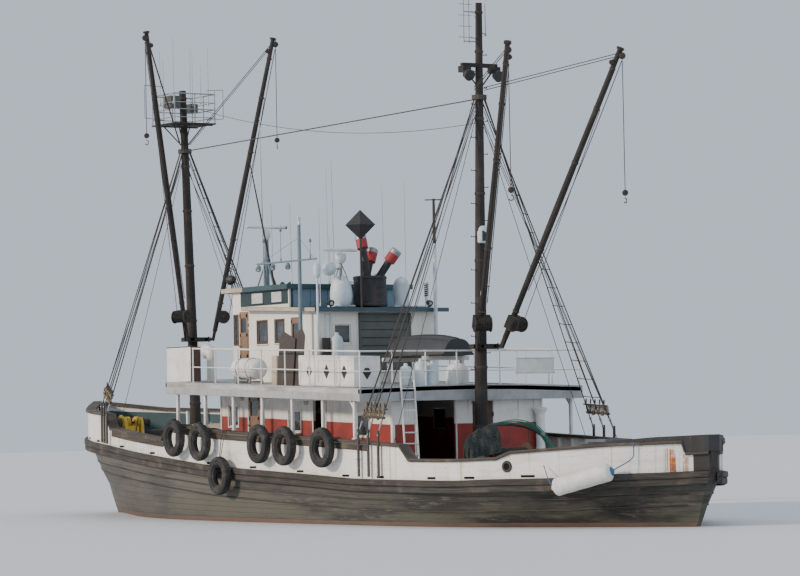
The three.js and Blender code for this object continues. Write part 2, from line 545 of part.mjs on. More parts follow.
// Pipe rail round the boat deck, with the two sidelight boards on it.
const RAIL = { inset: 60, height: 950, mid: [340, 650], r: 22, step: 1630 };
const SIDELIGHT = { x0: 3650, x1: 4850, low: 120, high: 1000, thick: 150 };
function boatDeckRail() {
  const parts = [];
  const rows = [...RAIL.mid, RAIL.height];
  const corner = (x, side) => [x, side * (BOAT_DECK.half - RAIL.inset), boatEdge(x)];
  const lift = ([x, y, z], h) => [x, y, z + h];
  const aftX = BOAT_DECK.aft + RAIL.inset;
  const foreX = SIDELIGHT.x1 - 100;
  for (const side of [1, -1]) {
    const [a, b] = [corner(aftX, side), corner(foreX, side)];
    for (const h of rows) parts.push(spar(lift(a, h), lift(b, h), RAIL.r, RAIL.r, 5));
    const count = Math.round((foreX - aftX) / RAIL.step);
    for (let i = 0; i <= count; i += 1) {
      const foot = between(a, b, i / count);
      parts.push(spar(lift(foot, 5), lift(foot, RAIL.height), RAIL.r, RAIL.r, 5));
    }
    const y = side * (BOAT_DECK.half - RAIL.inset - 60);
    const base = boatEdge(SIDELIGHT.x0);
    parts.push(block(SIDELIGHT.x0, SIDELIGHT.x1, y - SIDELIGHT.thick / 2, y + SIDELIGHT.thick / 2,
      base + SIDELIGHT.low, base + SIDELIGHT.high));
  }
  const [port, starboard] = [corner(aftX, 1), corner(aftX, -1)];
  for (const h of rows) parts.push(spar(lift(port, h), lift(starboard, h), RAIL.r, RAIL.r, 5));
  for (const y of [-1900, -600, 600, 1900]) {
    const foot = [aftX, y, boatTop(aftX, y)];
    parts.push(spar(lift(foot, 1.4), [aftX, y, port[2] + RAIL.height], RAIL.r, RAIL.r, 5));
  }
  addSolid("boat_deck_rail", join(parts), "white");
}

// Ladder from the aft deck, leaning on the edge of the boat deck.
const LADDER = { y: 2000, half: 200, footX: -5150, headZ: 3850, r: 24, rungR: 16, rungs: 7 };
function ladder() {
  const { y, half, footX, headZ, r, rungR, rungs } = LADDER;
  const foot = [footX, y, deckZ(footX) + 2.5];
  const touch = [BOAT_DECK.aft - r - 1, y, boatTop(BOAT_DECK.aft, y - half)];
  const head = between(foot, touch, (headZ - foot[2]) / (touch[2] - foot[2]));
  const shift = (p, dy) => [p[0], p[1] + dy, p[2]];
  const parts = [-1, 1].map((s) => spar(shift(foot, s * half), shift(head, s * half), r, r, 8));
  for (let i = 1; i <= rungs; i += 1) {
    const p = between(foot, head, i / (rungs + 1));
    parts.push(spar(shift(p, -half), shift(p, half), rungR, rungR, 6));
  }
  return join(parts);
}

// Gear on the roofs.
const FUNNEL = { x: -130, y: 0, r: 440, low: 5500, high: 6450 };
// Exhaust pipes over the funnel: place from its axis, radius, top; each carries a wider silencer head.
const PIPES = [[-60, 170, 90, 7300], [150, -60, 80, 7000], [-120, -220, 80, 7000]];
const PIPE_HEAD = { long: 260, wide: 35, wideTop: 20, in: 10 };
// Vents abreast of the funnel stand on a plank: the domed one and the round one.
const VENT_PLANK = { x0: -250, x1: 0, y0: -1920, y1: -700, thick: 40 };
const DOME_VENT = { x: -120, y: -1000, r: 190, top: 6450 };
const ROUND_VENT = { x: -120, y: -1800, r: 75, top: 6330 };
const SEATED = 10;
const roofTop = (x) => pilotRoofUnder(x) + PILOT_ROOF.thick + GAP;
// An egg-shaped drum: shares of its radius and height.
const EGG = [[0, 0], [0.75, 0], [1, 0.35], [0.9, 0.7], [0.5, 0.93], [0, 1]];
function egg(x, y, r, z0, z1) {
  return turned(EGG.map(([wide, up]) => [r * wide, z0 + (z1 - z0) * up]), x, y, 14);
}
function roofGear() {
  const { x, y, r, high } = FUNNEL;
  const base = roofTop(x + r);
  const { long, wide, wideTop } = PIPE_HEAD;
  const pipes = PIPES.map(([dx, dy, pr, top]) => {
    const at = (z) => [x + dx, y + dy, z];
    const head = spar(at(top - PIPE_HEAD.in), at(top + long), pr + wide, pr + wideTop);
    return join(spar(at(high - 60), at(top), pr), head);
  });
  addSolid("funnel", join(turned([[0, base], [r, base], [r, high], [0, high]], x, y, 20), pipes), "black");
  const deck = roofTop(VENT_PLANK.x1);
  const onPlank = deck + VENT_PLANK.thick - SEATED;
  const { x0, x1, y0, y1, thick } = VENT_PLANK;
  const plank = block(x0, x1, y0, y1, deck, deck + thick);
  const dome = egg(DOME_VENT.x, DOME_VENT.y, DOME_VENT.r, onPlank, DOME_VENT.top);
  const round = upright(ROUND_VENT.x, ROUND_VENT.y, onPlank, ROUND_VENT.top, ROUND_VENT.r);
  addSolid("roof_vents", join(plank, dome, round), "white");
}

// Radars: place of the turntable and half length of the scanner.
const AFT_RADAR = { x: -120, y: 900, z: 7050, half: 550 };
const FORE_RADAR = { x: 3300, y: 1150, z: 7850, half: 650 };
const AFT_PEDESTAL = { r: 300, top: 6480, neck: 45, drum: 155, drumHigh: 260 };
const FORE_POST = { r: 75, thin: 65, drum: 120, drumHigh: 260, leg: 24, legTop: 800, foot: 25,
  legs: [[-350, 0], [0, 300], [0, -300]], margin: 80, side: 340, back: 420 };
const SCANNER = { hub: 60, lift: 50,
  section: [[-45, 40], [45, 40], [70, 75], [45, 130], [-45, 130], [-70, 75]] };
function radars() {
  const { x, y, z } = AFT_RADAR;
  const { r, top, neck, drum, drumHigh } = AFT_PEDESTAL;
  const stand = egg(x, y, r, roofTop(x + r * 0.75), top);
  addSolid("aft_radar_mast", join(stand, upright(x, y, top - 80, z - drumHigh + SEATED, neck),
    upright(x, y, z - drumHigh, z - GAP, drum, 16)), "white");
  addSolid("aft_radar_scanner", scanner(AFT_RADAR), "black");

  const deck = WHEEL_ROOF.z + WHEEL_ROOF.thick + GAP;
  const f = FORE_RADAR;
  const post = FORE_POST;
  const legs = post.legs.map(([dx, dy]) =>
    spar([f.x + dx, f.y + dy, deck + post.foot - 3], [f.x, f.y, deck + post.legTop], post.leg, post.leg, 6));
  const foot = block(f.x - post.back, f.x + post.margin, f.y - post.side, f.y + post.side, deck,
    deck + post.foot);
  const pole = spar([f.x, f.y, deck + SEATED], [f.x, f.y, f.z - post.drumHigh + SEATED], post.r, post.thin, 12);
  const table = upright(f.x, f.y, f.z - post.drumHigh, f.z - GAP, post.drum, 16);
  addSolid("fore_radar_mast", join(foot, pole, legs, table), "black");
  addSolid("fore_radar_scanner", scanner(FORE_RADAR), "black");
}
function scanner({ x, y, z, half }) {
  const bar = endSolid(SCANNER.section, -half, half).rotateZ(Math.PI / 2).translate(x, y, z);
  return join(upright(x, y, z, z + SCANNER.lift, SCANNER.hub, 14), bar);
}

// Lift of a level foot of radius r over the sloping, cambered deck.
const seat = (r) => r * 0.052 + GAP;
const SIGNAL = { x: -150, y: 2190, top: 8050, r: 60, thin: 45, bar: [-1000, 2050], barZ: 6850, barR: 28 };
const DAY_SHAPE = { x: -640, y: 590, z: 7780, r: 400, turn: 56, pole: 28, poleTop: 7500 };
function signalGear() {
  const { x, y, top, r, thin, bar, barZ, barR } = SIGNAL;
  const foot = boatTop(x, y) + seat(r);
  addSolid("signal_pole", join(spar([x, y, foot], [x, y, top], r, thin, 10),
    spar([bar[0], y, barZ], [bar[1], y, barZ], barR, barR, 8)), "white");
  const day = DAY_SHAPE;
  const shape = new THREE.OctahedronGeometry(day.r).rotateZ(THREE.MathUtils.degToRad(day.turn))
    .translate(day.x, day.y, day.z);
  const pole = upright(day.x, day.y, roofTop(day.x + day.pole), day.poleTop, day.pole, 8);
  addSolid("day_shape", join(shape, pole), "black");
}

// Gear on the boat deck.
const COWL = { x: 4330, y: 2350, r: 130, top: 4560, back: 60, reach: 230, rise: 40, throat: 165, mouth: 210 };
const LOCKER = { aft: -4400, fore: -1750, y0: 2450, y1: 3230, high: 760 };
const RAFT = { aft: 850, fore: 2150, y: 2820, r: 290, lift: 380, rise: 40, feet: [1150, 1850], inner: 2620,
  outer: 3020, foot: 40 };
// Upturned skiff: x, half breadth, height of its keel over its rim.
const SKIFF_ROWS = [[-4300, 470, 420], [-3500, 600, 520], [-2600, 620, 550], [-1700, 450, 520],
  [-1250, 180, 400], [-1100, 40, 300]];
// Its section as shares of the half breadth and the height.
const SKIFF_SECTION = [[-1, 0], [-0.86, 0.7], [-0.3, 1], [0.3, 1], [0.86, 0.7], [1, 0]];
function deckGear() {
  const { x, y, r, top } = COWL;
  const mouth = spar([x - COWL.back, y, top], [x + COWL.reach, y, top + COWL.rise], COWL.throat, COWL.mouth,
    14);
  addSolid("cowl_vent", join(upright(x, y, boatTop(x, y) + seat(r), top, r, 14), mouth), "white");

  const ends = [LOCKER.aft, LOCKER.fore].map((at) => [at, boatTop(at, LOCKER.y0) + GAP]);
  const lid = ends.map(([at, z]) => [at, z + LOCKER.high]).reverse();
  addSolid("deck_locker", sideSolid([...ends, ...lid], LOCKER.y0, LOCKER.y1), "white");

  const low = boatTop((RAFT.aft + RAFT.fore) / 2, RAFT.inner) + 3;
  const axis = low + RAFT.lift;
  const raft = spar([RAFT.aft, RAFT.y, axis], [RAFT.fore, RAFT.y, axis + RAFT.rise], RAFT.r, RAFT.r, 16);
  const feet = RAFT.feet.map((at) => block(at - RAFT.foot, at + RAFT.foot, RAFT.inner, RAFT.outer,
    boatTop(at + RAFT.foot, RAFT.inner) + GAP, low + RAFT.lift / 2));
  addSolid("liferaft", join(raft, feet), "white");

  const rings = SKIFF_ROWS.map(([at, half, high]) =>
    SKIFF_SECTION.map(([wide, up]) => [at, half * wide, SKIFF.z + high * up]));
  addMesh("skiff", loft(rings), "slate");
  addSolid("boat_deck_ladder", ladder(), "white");
}

// Masts. The nest is a railed floor round the head of the foremast. The crosstree carries the mainmast's lamps.
const PIN = { upright: 15, cross: 14 };
const onMast = ({ foot, top }, z) => between(foot, top, (z - foot[2]) / (top[2] - foot[2]));
const NEST = { z: 11280, floor: 60, half: 700, rail: 900, bar: 25, inset: 10, post: 22 };
const BAND = { fore: 10550, main: 10740 };
const CROSSTREE = { z0: 11500, z1: 11600, half: 530, wide: 60, lampY: 450, lamp: 120, lampLow: 11360 };
const MAST_STEP = { fore: { x0: 9150, x1: 9650, half: 250, high: 90 },
  main: { x0: -5480, x1: -5020, half: 240, high: 60 } };
// Bracket of a gooseneck: half height, half width past the pin, and the slot for the knuckle.
const BRACKET = { high: 60, wide: 50, reach: 60, slot: 45, slotHalf: 160, slotFore: 95, slotAft: 600 };
// The mast's own spar, or a tool that clears it by grow.
function mastBody({ foot, top, r }, grow = 0) {
  const more = grow / Math.cos(Math.PI / 14);
  return spar(between(foot, top, 0.003), top, r[0] + more, r[1] + more, 14);
}
function mastStep({ x0, x1, half, high }) {
  return deckPad(x0, x1, -half, half, high);
}
function bracket(mast, { heel }, side) {
  const [x, away, z] = heel;
  const [mastX] = onMast(mast, z);
  const y = away * side;
  const { high, wide, reach, slot, slotHalf, slotFore, slotAft } = BRACKET;
  const arm = block(x - reach, mastX, Math.min(0, y) - wide, Math.max(0, y) + wide, z - high, z + high);
  return cut(arm, block(x - slotAft, x + slotFore, y - slotHalf, y + slotHalf, z - slot, z + slot),
    upright(x, y, z - high - 20, z + high + 20, running(PIN.upright, 14), 14));
}
function nestRail(x, high) {
  const ring = (inset, half) => block(x - NEST.half + inset, x + NEST.half - inset, inset - NEST.half,
    NEST.half - inset, NEST.z + high - half, NEST.z + high + half);
  return cut(ring(NEST.inset, NEST.bar), ring(NEST.inset + 2 * NEST.bar, NEST.rail));
}
function nestPosts(x) {
  const out = NEST.half - NEST.inset - NEST.bar;
  const spots = [-1, 0, 1].flatMap((i) => [-1, 0, 1].map((j) => [i, j])).filter(([i, j]) => i || j);
  return spots.map(([i, j]) => block(x + i * out - NEST.post, x + i * out + NEST.post, j * out - NEST.post,
    j * out + NEST.post, NEST.z + NEST.floor - SEATED, NEST.z + NEST.rail));
}
function masts() {
  const foreArms = SIDES.map(([, side]) => bracket(FOREMAST, FORE_BOOM, side));
  addSolid("foremast", join(mastBody(FOREMAST), foreArms, mastStep(MAST_STEP.fore)), "spar");

  const mainArms = SIDES.map(([, side]) => bracket(MAINMAST, MAIN_BOOM, side));
  const tree = CROSSTREE;
  const [tx] = onMast(MAINMAST, tree.lampLow + 180);
  const lamps = [-1, 1].map((s) => block(tx - tree.lamp - SEATED, tx + tree.lamp - SEATED,
    s * tree.lampY - tree.lamp, s * tree.lampY + tree.lamp, tree.lampLow, tree.z0 + 20));
  const yard = block(tx - tree.wide, tx + tree.wide, -tree.half, tree.half, tree.z0, tree.z1);
  addSolid("mainmast", join(mastBody(MAINMAST), mainArms, yard, lamps, mastStep(MAST_STEP.main)), "spar");

  const [nx] = onMast(FOREMAST, NEST.z);
  const floor = block(nx - NEST.half, nx + NEST.half, -NEST.half, NEST.half, NEST.z, NEST.z + NEST.floor);
  const rails = [NEST.rail, NEST.rail / 2].map((high) => nestRail(nx, high));
  addSolid("crows_nest", cut(join(floor, rails, nestPosts(nx)), mastBody(FOREMAST, GAP)), "spar");
}

// Booms: a gooseneck that swings on an upright pin, and the boom that lifts on the gooseneck's cross pin.
const NECK = { pivot: 125, pin: 90, knuckle: 50, knuckleHigh: 40, lug: [30, 150], lugHalf: 18, lugHigh: 35,
  crossPin: 60 };
const YOKE = { back: 45, fore: 260, aside: 38, thick: 14, high: 45 };
// Along a boom: where its spar starts, where it is fullest, the band at its head, its bracket and winch drum.
const ALONG_BOOM = { start: 230, full: 0.45, band: [60, 5], fat: 1.15, slim: 0.85, tip: 0.75,
  bracket: [520, 860], drum: 690, margin: 60, below: 90 };
function sideBoom({ heel, head }, side) {
  return { heel: [heel[0], heel[1] * side, heel[2]], head: [head[0], head[1] * side, head[2]] };
}
function gooseneck([x, y, z], out) {
  const crossPin = spar([NECK.pivot, -NECK.crossPin, 0], [NECK.pivot, NECK.crossPin, 0], PIN.cross);
  const lug = block(...NECK.lug, -NECK.lugHalf, NECK.lugHalf, -NECK.lugHigh, NECK.lugHigh);
  const parts = [upright(0, 0, -NECK.pin, NECK.pin, PIN.upright, 14),
    upright(0, 0, -NECK.knuckleHigh, NECK.knuckleHigh, NECK.knuckle, 12), lug, crossPin];
  return parts.map((part) => part.rotateZ(out).translate(x, y, z));
}
// A boom along +x from the axis of its cross pin.
function boomBody(length, { r, drum }) {
  const { start, full, band, fat, slim, tip, margin, below } = ALONG_BOOM;
  const cheeks = [-1, 1].map((s) => block(-YOKE.back, YOKE.fore, s * YOKE.aside - YOKE.thick,
    s * YOKE.aside + YOKE.thick, -YOKE.high, YOKE.high));
  const bore = spar([0, -YOKE.fore, 0], [0, YOKE.fore, 0], running(PIN.cross, 10), undefined, 10);
  const [b0, b1] = ALONG_BOOM.bracket;
  const barrelAt = (s) => [ALONG_BOOM.drum, s * (drum + margin), -r - below];
  return join(cut(join(cheeks), bore), spar([start, 0, 0], [length * full, 0, 0], r * slim, r, 12),
    spar([length * full, 0, 0], [length, 0, 0], r, r * tip, 12),
    spar([length - band[0], 0, 0], [length - band[1], 0, 0], r * fat, r * fat, 12),
    block(b0, b1, -drum - margin, drum + margin, -r - margin / 2, r * 0.4),
    spar(barrelAt(-1), barrelAt(1), drum, drum, 14));
}
function boomPieces(spec, side, mastName, sideName) {
  const { heel, head } = sideBoom(spec, side);
  const [hx, hy, hz] = heel;
  const out = Math.atan2(head[1] - hy, head[0] - hx);
  addSolid(`${mastName}_gooseneck_${sideName}`, join(gooseneck(heel, out)), "steel");
  const pivot = [hx + NECK.pivot * Math.cos(out), hy + NECK.pivot * Math.sin(out), hz];
  const rise = Math.atan2(head[2] - hz, Math.hypot(head[0] - pivot[0], head[1] - pivot[1]));
  const length = new THREE.Vector3(...head).distanceTo(new THREE.Vector3(...pivot));
  const boom = toGeometry(boomBody(length, spec)).rotateY(-rise).rotateZ(out).translate(...pivot);
  addSolid(`${mastName}_boom_${sideName}`, boom, "spar");
}
function booms() {
  for (const [name, side] of SIDES) {
    boomPieces(FORE_BOOM, side, "fore", name);
    boomPieces(MAIN_BOOM, side, "main", name);
  }
}

// Shrouds fan from a ring round each mast to plates outside the bulwark, and a pin rail crosses each fan.
const WIRE = 16;
const RING = 90;
const mastRadius = ({ foot, top, r }, z) => along([[foot[2], r[0]], [top[2], r[1]]], z);
const PLATE = { half: 35, thick: 38, over: 180, top: 115, foot: 30 };
const SHROUDS = {
  fore: { mast: FOREMAST, z: BAND.fore, xs: [9150, 9420, 9690] },
  main: { mast: MAINMAST, z: BAND.main, xs: [-5150, -5600, -6050] },
};
// Wires leave the ring side by side, one a little lower than the next.
const FAN = { aside: 75, in: 24, drop: 20, half: 60 };
const PIN_RAIL = { up: 0.05, past: 0.08, r: 34 };
const TRIATIC_DROP = 35;
function shroudPlate([x, y, z]) {
  const half = PLATE.thick / 2;
  return block(x - PLATE.half, x + PLATE.half, y - half, y + half, deckZ(x) + PLATE.foot, z + PLATE.top);
}
function shrouds({ mast, z, xs }) {
  const [mx] = onMast(mast, z);
  const rAt = mastRadius(mast, z);
  const capEdge = deckRows(CAP.outer);
  const ring = cut(upright(mx, 0, z - FAN.half, z + FAN.half, rAt + RING, 14), mastBody(mast, GAP));
  const fans = SIDES.map(([, side]) => {
    const feet = xs.map((x) => {
      const y = Math.max(...[x - PLATE.half, x + PLATE.half].map((at) => along(capEdge, at))) + GAP;
      return [x, side * (y + PLATE.thick / 2), capTop(x) + PLATE.over];
    });
    const wires = feet.map((foot, i) => {
      const aside = (i - 1) * FAN.aside;
      const start = [mx + aside, side * Math.sqrt((rAt + FAN.in) ** 2 - aside ** 2), z + FAN.drop * (1 - i)];
      return spar(start, foot, WIRE, WIRE, 6);
    });
    const [p, q] = [feet[0], feet.at(-1)].map((foot) => between(foot, [mx, side * rAt, z], PIN_RAIL.up));
    const ends = [-PIN_RAIL.past, 1 + PIN_RAIL.past].map((t) => between(p, q, t));
    const rail = spar(...ends, PIN_RAIL.r, PIN_RAIL.r, 6);
    return [feet.map(shroudPlate), wires, rail];
  });
  return [ring, ...fans];
}
function rigging() {
  const [fx] = onMast(FOREMAST, BAND.fore);
  const [mx] = onMast(MAINMAST, BAND.main);
  addSolid("fore_shrouds", join(shrouds(SHROUDS.fore)), "wire");
  const aftEnd = mx + mastRadius(MAINMAST, BAND.main) + RING * 0.5;
  const foreEnd = fx - mastRadius(FOREMAST, BAND.fore) - RING - 4;
  const triatic = spar([aftEnd, 0, BAND.main - TRIATIC_DROP], [foreEnd, 0, BAND.fore], WIRE, WIRE, 6);
  addSolid("main_shrouds", join(shrouds(SHROUDS.main), triatic), "wire");
}

// Cargo deck: hatch with a hinged cover, windlass, winch under its hoop and the after companion.
const HATCH = { x0: 5500, x1: 7900, half: 1150, wall: 70, high: 560 };
// The cover overhangs the coaming with a skirt on its sides and its fore edge, and carries three battens.
const COVER = { out: 60, clear: 20, skirt: 60, thick: 70, battens: [-700, 0, 700], batten: 40, battenTop: 100 };
// Its cover hinges along the after edge.
const HATCH_HINGE = { back: 80, r: 16, ys: [-750, 750], half: 60, all: 130, arm: [130, 70], strap: [2, 14] };
function hatch() {
  const { x0, x1, half, wall, high } = HATCH;
  const { back, r, ys, half: own, all, arm, strap } = HATCH_HINGE;
  const top = deckZ(x1) + high;
  const hx = x0 - back;
  const across = (y0, y1) => spar([hx, y0, top], [hx, y1, top], r, r, 8);
  const lugs = ys.map((y) => [[-all, -own - GAP], [own + GAP, all]].map(([a, b]) =>
    [across(y + a, y + b), block(hx - 10, x0 + SEATED, y + a, y + b, top - arm[0], top - arm[1]),
      block(hx - 12, hx + 12, y + a, y + b, top - arm[0], top)]));
  const frame = sideSolid([...deckLine(x0, x1, GAP), [x1, top], [x0, top]], -half, half);
  const coaming = cut(frame, block(x0 + wall, x1 - wall, wall - half, half - wall, 0, 5000));
  addSolid("hatch_coaming", join(coaming, lugs), "white");

  const { out, clear, skirt, thick, batten } = COVER;
  const lid = block(x0 - out, x1 + out, -half - out, half + out, top + GAP, top + thick);
  const skirts = cut(block(x0 - out, x1 + out, -half - out, half + out, top - skirt, top + SEATED),
    block(x0 - 2 * out, x1 + clear, -half - clear, half + clear, top - 2 * skirt, top + skirt));
  const battens = COVER.battens.map((y) =>
    block(x0, x1, y - batten, y + batten, top + thick - SEATED, top + COVER.battenTop));
  const knuckles = ys.map((y) => [across(y - own, y + own),
    block(hx, x0 - out + clear, y - own, y + own, top + strap[0], top + strap[1])]);
  addSolid("hatch_cover", join(lid, skirts, battens, knuckles), "steel");
}

const WINDLASS = { x: 13350, aft: 380, fore: 320, half: 420, pad: 50, cheekX: 210, cheekY: 270, cheek: 50,
  cheekHigh: 560, axle: 400, barrel: 120, barrelHalf: 480, head: [380, 560], headR: [120, 155] };
function windlass() {
  const w = WINDLASS;
  const z = deckZ(w.x + w.fore) + 2;
  const cheeks = [-1, 1].map((s) => block(w.x - w.cheekX, w.x + w.cheekX, s * w.cheekY - w.cheek,
    s * w.cheekY + w.cheek, z + w.pad - SEATED, z + w.cheekHigh));
  const heads = [-1, 1].map((s) => spar([w.x, s * w.head[1], z + w.axle], [w.x, s * w.head[0], z + w.axle],
    w.headR[1], w.headR[0], 14));
  const [end, other] = [-w.barrelHalf, w.barrelHalf].map((y) => [w.x, y, z + w.axle]);
  const barrel = spar(end, other, w.barrel, w.barrel, 14);
  addSolid("windlass", join(deckPad(w.x - w.aft, w.x + w.fore, -w.half, w.half, w.pad), cheeks, barrel, heads),
    "yellow");
}

const WINCH = { x: -6350, padX: 350, padY: 1320, pad: 70, cheekX: 200, cheekY: 760, cheek: 40, cheekHigh: 760,
  axle: 480, barrel: 230, barrelHalf: 900, flange: 330, flangeY: 740, flangeHalf: 30 };
const HOOP = { half: 1250, r: 32, foot: 30, spring: 700, rise: 560, steps: 10 };
// Outline of one edge of the arched hoop over the winch.
function hoopEdge(base, grow) {
  const half = HOOP.half + grow;
  const arc = Array.from({ length: HOOP.steps + 1 }, (_, k) => (Math.PI * k) / HOOP.steps);
  const over = arc.map((t) => [half * Math.cos(t), base + HOOP.spring + (HOOP.rise + grow) * Math.sin(t)]);
  return [[half, base + HOOP.foot], ...over, [-half, base + HOOP.foot]];
}
function winch() {
  const w = WINCH;
  const z = deckZ(w.x) + 1;
  const arch = [...hoopEdge(z, HOOP.r), ...hoopEdge(z, -HOOP.r).reverse()];
  const hoop = endSolid(arch, w.x - HOOP.r, w.x + HOOP.r);
  const cheeks = [-1, 1].map((s) => block(w.x - w.cheekX, w.x + w.cheekX, s * w.cheekY - w.cheek,
    s * w.cheekY + w.cheek, z + w.pad - SEATED, z + w.cheekHigh));
  const [end, other] = [-w.barrelHalf, w.barrelHalf].map((y) => [w.x, y, z + w.axle]);
  const barrel = spar(end, other, w.barrel, w.barrel, 16);
  const flanges = [-w.flangeY, w.flangeY].map((y) =>
    spar([w.x, y - w.flangeHalf, z + w.axle], [w.x, y + w.flangeHalf, z + w.axle], w.flange, w.flange, 16));
  const pad = deckPad(w.x - w.padX, w.x + w.padX, -w.padY, w.padY, w.pad);
  addSolid("cargo_winch", join(hoop, pad, cheeks, barrel, flanges), "rust");
}

const COMPANION = { x: -10700, half: 340, wide: 330, high: 800, lid: 70, out: 60 };
function companion() {
  const { x, half, wide, high, lid, out } = COMPANION;
  const z = Math.max(deckZ(x - half), deckZ(x + half)) + 1;
  addSolid("after_companion", join(deckPad(x - half, x + half, -wide, wide, high),
    block(x - half - out, x + half + out, -wide - out, wide + out, z + high - SEATED, z + high - SEATED + lid)),
    "slate");
}

// Tyres hung outside the port bulwark from one lashing line under the cap: x, height of the centre.
const TYRE = { r: 380, tube: 130 };
const TYRES = [[-3700, 1930], [-1840, 1980], [-560, 2040], [1520, 1220], [2590, 2120], [4050, 2240]];
const LINE = { r: 18, out: 19.5, under: 20 };
// A long round fender hung by its fore end abreast of the after deck: axis ends and radius.
const BOLSTER = { x0: -13350, x1: -12150, z0: 1330, z1: 950, r: 215 };
// Rods from point to point, each run on by a radius at both ends so that the bends close.
function rope(points, r, sides = 6) {
  return points.slice(1).map((point, i) => {
    const more = r / new THREE.Vector3(...point).distanceTo(new THREE.Vector3(...points[i]));
    return spar(between(points[i], point, -more), between(points[i], point, 1 + more), r, r, sides);
  });
}
function squareAt([x, y, z], r) {
  return [[x, y - r, z - r], [x, y - r, z + r], [x, y + r, z + r], [x, y + r, z - r]];
}
function linePoint(x) {
  return [x, deckHalf(x) + CAP.outer + LINE.out, deckZ(x) + along(BULWARK, x) + CAP.thick - LINE.under];
}
function fenders() {
  const out = (x) => deckHalf(x) + GUARD.out + TYRE.tube + 12;
  const xs = [...TYRES.map(([x]) => x), ...DECK.map(({ x }) => x), 4850, 5200]
    .filter((x) => x >= TYRES[0][0] && x <= TYRES.at(-1)[0]).sort((a, b) => a - b);
  const parts = [loft([...new Set(xs)].map((x) => squareAt(linePoint(x), LINE.r)))];
  for (const [x, z] of TYRES) {
    const slope = Math.atan2(deckHalf(x + 300) - deckHalf(x - 300), 600);
    const top = [x, out(x), z + TYRE.r];
    parts.push(new THREE.TorusGeometry(TYRE.r, TYRE.tube, 8, 16).rotateX(Math.PI / 2).rotateZ(slope)
      .translate(x, out(x), z));
    parts.push(spar(top, between(top, linePoint(x), 1.01), LINE.r, LINE.r, 6));
  }
  addSolid("hung_tyres", join(parts), "rubber");
  const { x0, x1, z0, z1, r } = BOLSTER;
  const clear = GUARD.out + r + 150;
  const ends = [[x0, deckHalf(x0) + clear, z0], [x1, deckHalf(x1) + clear, z1]];
  const [hx, hy] = [x0 - 150, deckHalf(x0 - 150) + CAP.outer / 2];
  const under = deckZ(hx) + along(BULWARK, hx) - GAP;
  const hanger = upright(hx, hy, under - 150, under, LINE.r, 6);
  const line = rope([ends[0], [hx, hy, under - 150]], LINE.r);
  addSolid("bolster_fender", join(spar(...ends, r, r, 14), line, hanger), "white");
}

hullPieces();
sternGear();
boatDeck();
boatDeckPosts();
deckhouse();
deckhouseDoors();
pilothouse();
roofs();
pilothouseDoors();
boatDeckRail();
roofGear();
radars();
signalGear();
deckGear();
masts();
booms();
rigging();
hatch();
windlass();
winch();
companion();
fenders();

export default vessel;
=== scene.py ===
"""Visual model of a wooden coastal cargo vessel of about 30 m, afloat, in metres.

The bow is +X, port is +Y and up is +Z; the origin is on the waterline amidships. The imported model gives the
fixed frame; the classes below make the finer surfaces around it, one class for each sub-assembly.
"""

import logging
import math
from dataclasses import dataclass
from enum import Enum
from typing import Iterable, Sequence

import bpy
import numpy as np
from mathutils import Matrix


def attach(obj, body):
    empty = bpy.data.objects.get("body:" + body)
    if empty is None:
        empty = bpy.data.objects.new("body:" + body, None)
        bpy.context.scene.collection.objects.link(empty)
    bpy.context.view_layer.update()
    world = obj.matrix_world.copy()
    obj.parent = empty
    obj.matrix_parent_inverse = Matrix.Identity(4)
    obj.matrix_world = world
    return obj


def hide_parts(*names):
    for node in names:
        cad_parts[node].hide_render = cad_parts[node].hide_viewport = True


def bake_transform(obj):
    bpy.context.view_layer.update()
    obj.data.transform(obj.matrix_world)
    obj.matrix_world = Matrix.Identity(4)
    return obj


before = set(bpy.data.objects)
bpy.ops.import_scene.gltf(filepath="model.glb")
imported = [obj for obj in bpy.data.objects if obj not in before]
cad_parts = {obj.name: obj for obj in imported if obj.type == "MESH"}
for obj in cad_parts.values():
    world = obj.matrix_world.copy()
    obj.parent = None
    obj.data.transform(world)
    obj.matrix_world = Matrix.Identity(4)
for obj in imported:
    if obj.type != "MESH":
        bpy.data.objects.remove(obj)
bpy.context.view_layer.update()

log = logging.getLogger("vessel")
Array = np.ndarray
Point = Sequence[float]
ROOT = "vessel"
SIDES = {"port": 1.0, "starboard": -1.0}
TAU = 2.0 * math.pi


def vec(*values: float) -> Array:
    """One point or direction as an array of floats."""
    return np.array(values, float)


def unit(vectors: Array) -> Array:
    """Vectors divided by their lengths, along the last axis."""
    vectors = np.asarray(vectors, float)
    return vectors / np.maximum(np.linalg.norm(vectors, axis=-1, keepdims=True), 1e-12)


def along(rows: Sequence[Point], x: Array | float) -> Array:
    """Value of a table of x, value rows at x, on straight lines."""
    table = np.asarray(rows, float)
    return np.interp(x, table[:, 0], table[:, 1])


def fair(rows: Sequence[Point], x: Array | float) -> Array:
    """Value of a table of x, value rows at x, on a smooth curve that doesn't overshoot.

    Cubic pieces join the rows; the slope at a row is the harmonic mean of the slopes beside it, and nought
    where they differ in sign.
    """
    table = np.asarray(rows, float)
    knots, values = table[:, 0], table[:, 1]
    step = np.diff(knots)
    rise = np.diff(values) / step
    slope = np.concatenate([rise[:1], np.zeros(len(rise) - 1), rise[-1:]])
    same = rise[:-1] * rise[1:] > 0
    slope[1:-1][same] = 2.0 * rise[:-1][same] * rise[1:][same] / (rise[:-1] + rise[1:])[same]
    at = np.clip(np.asarray(x, float), knots[0], knots[-1])
    i = np.clip(np.searchsorted(knots, at, side="right") - 1, 0, len(step) - 1)
    t = (at - knots[i]) / step[i]
    start, end = values[i], values[i + 1]
    lead, trail = slope[i] * step[i], slope[i + 1] * step[i]
    return (start * (1 + 2 * t) * (1 - t) ** 2 + lead * t * (1 - t) ** 2 + end * t * t * (3 - 2 * t)
            + trail * t * t * (t - 1))


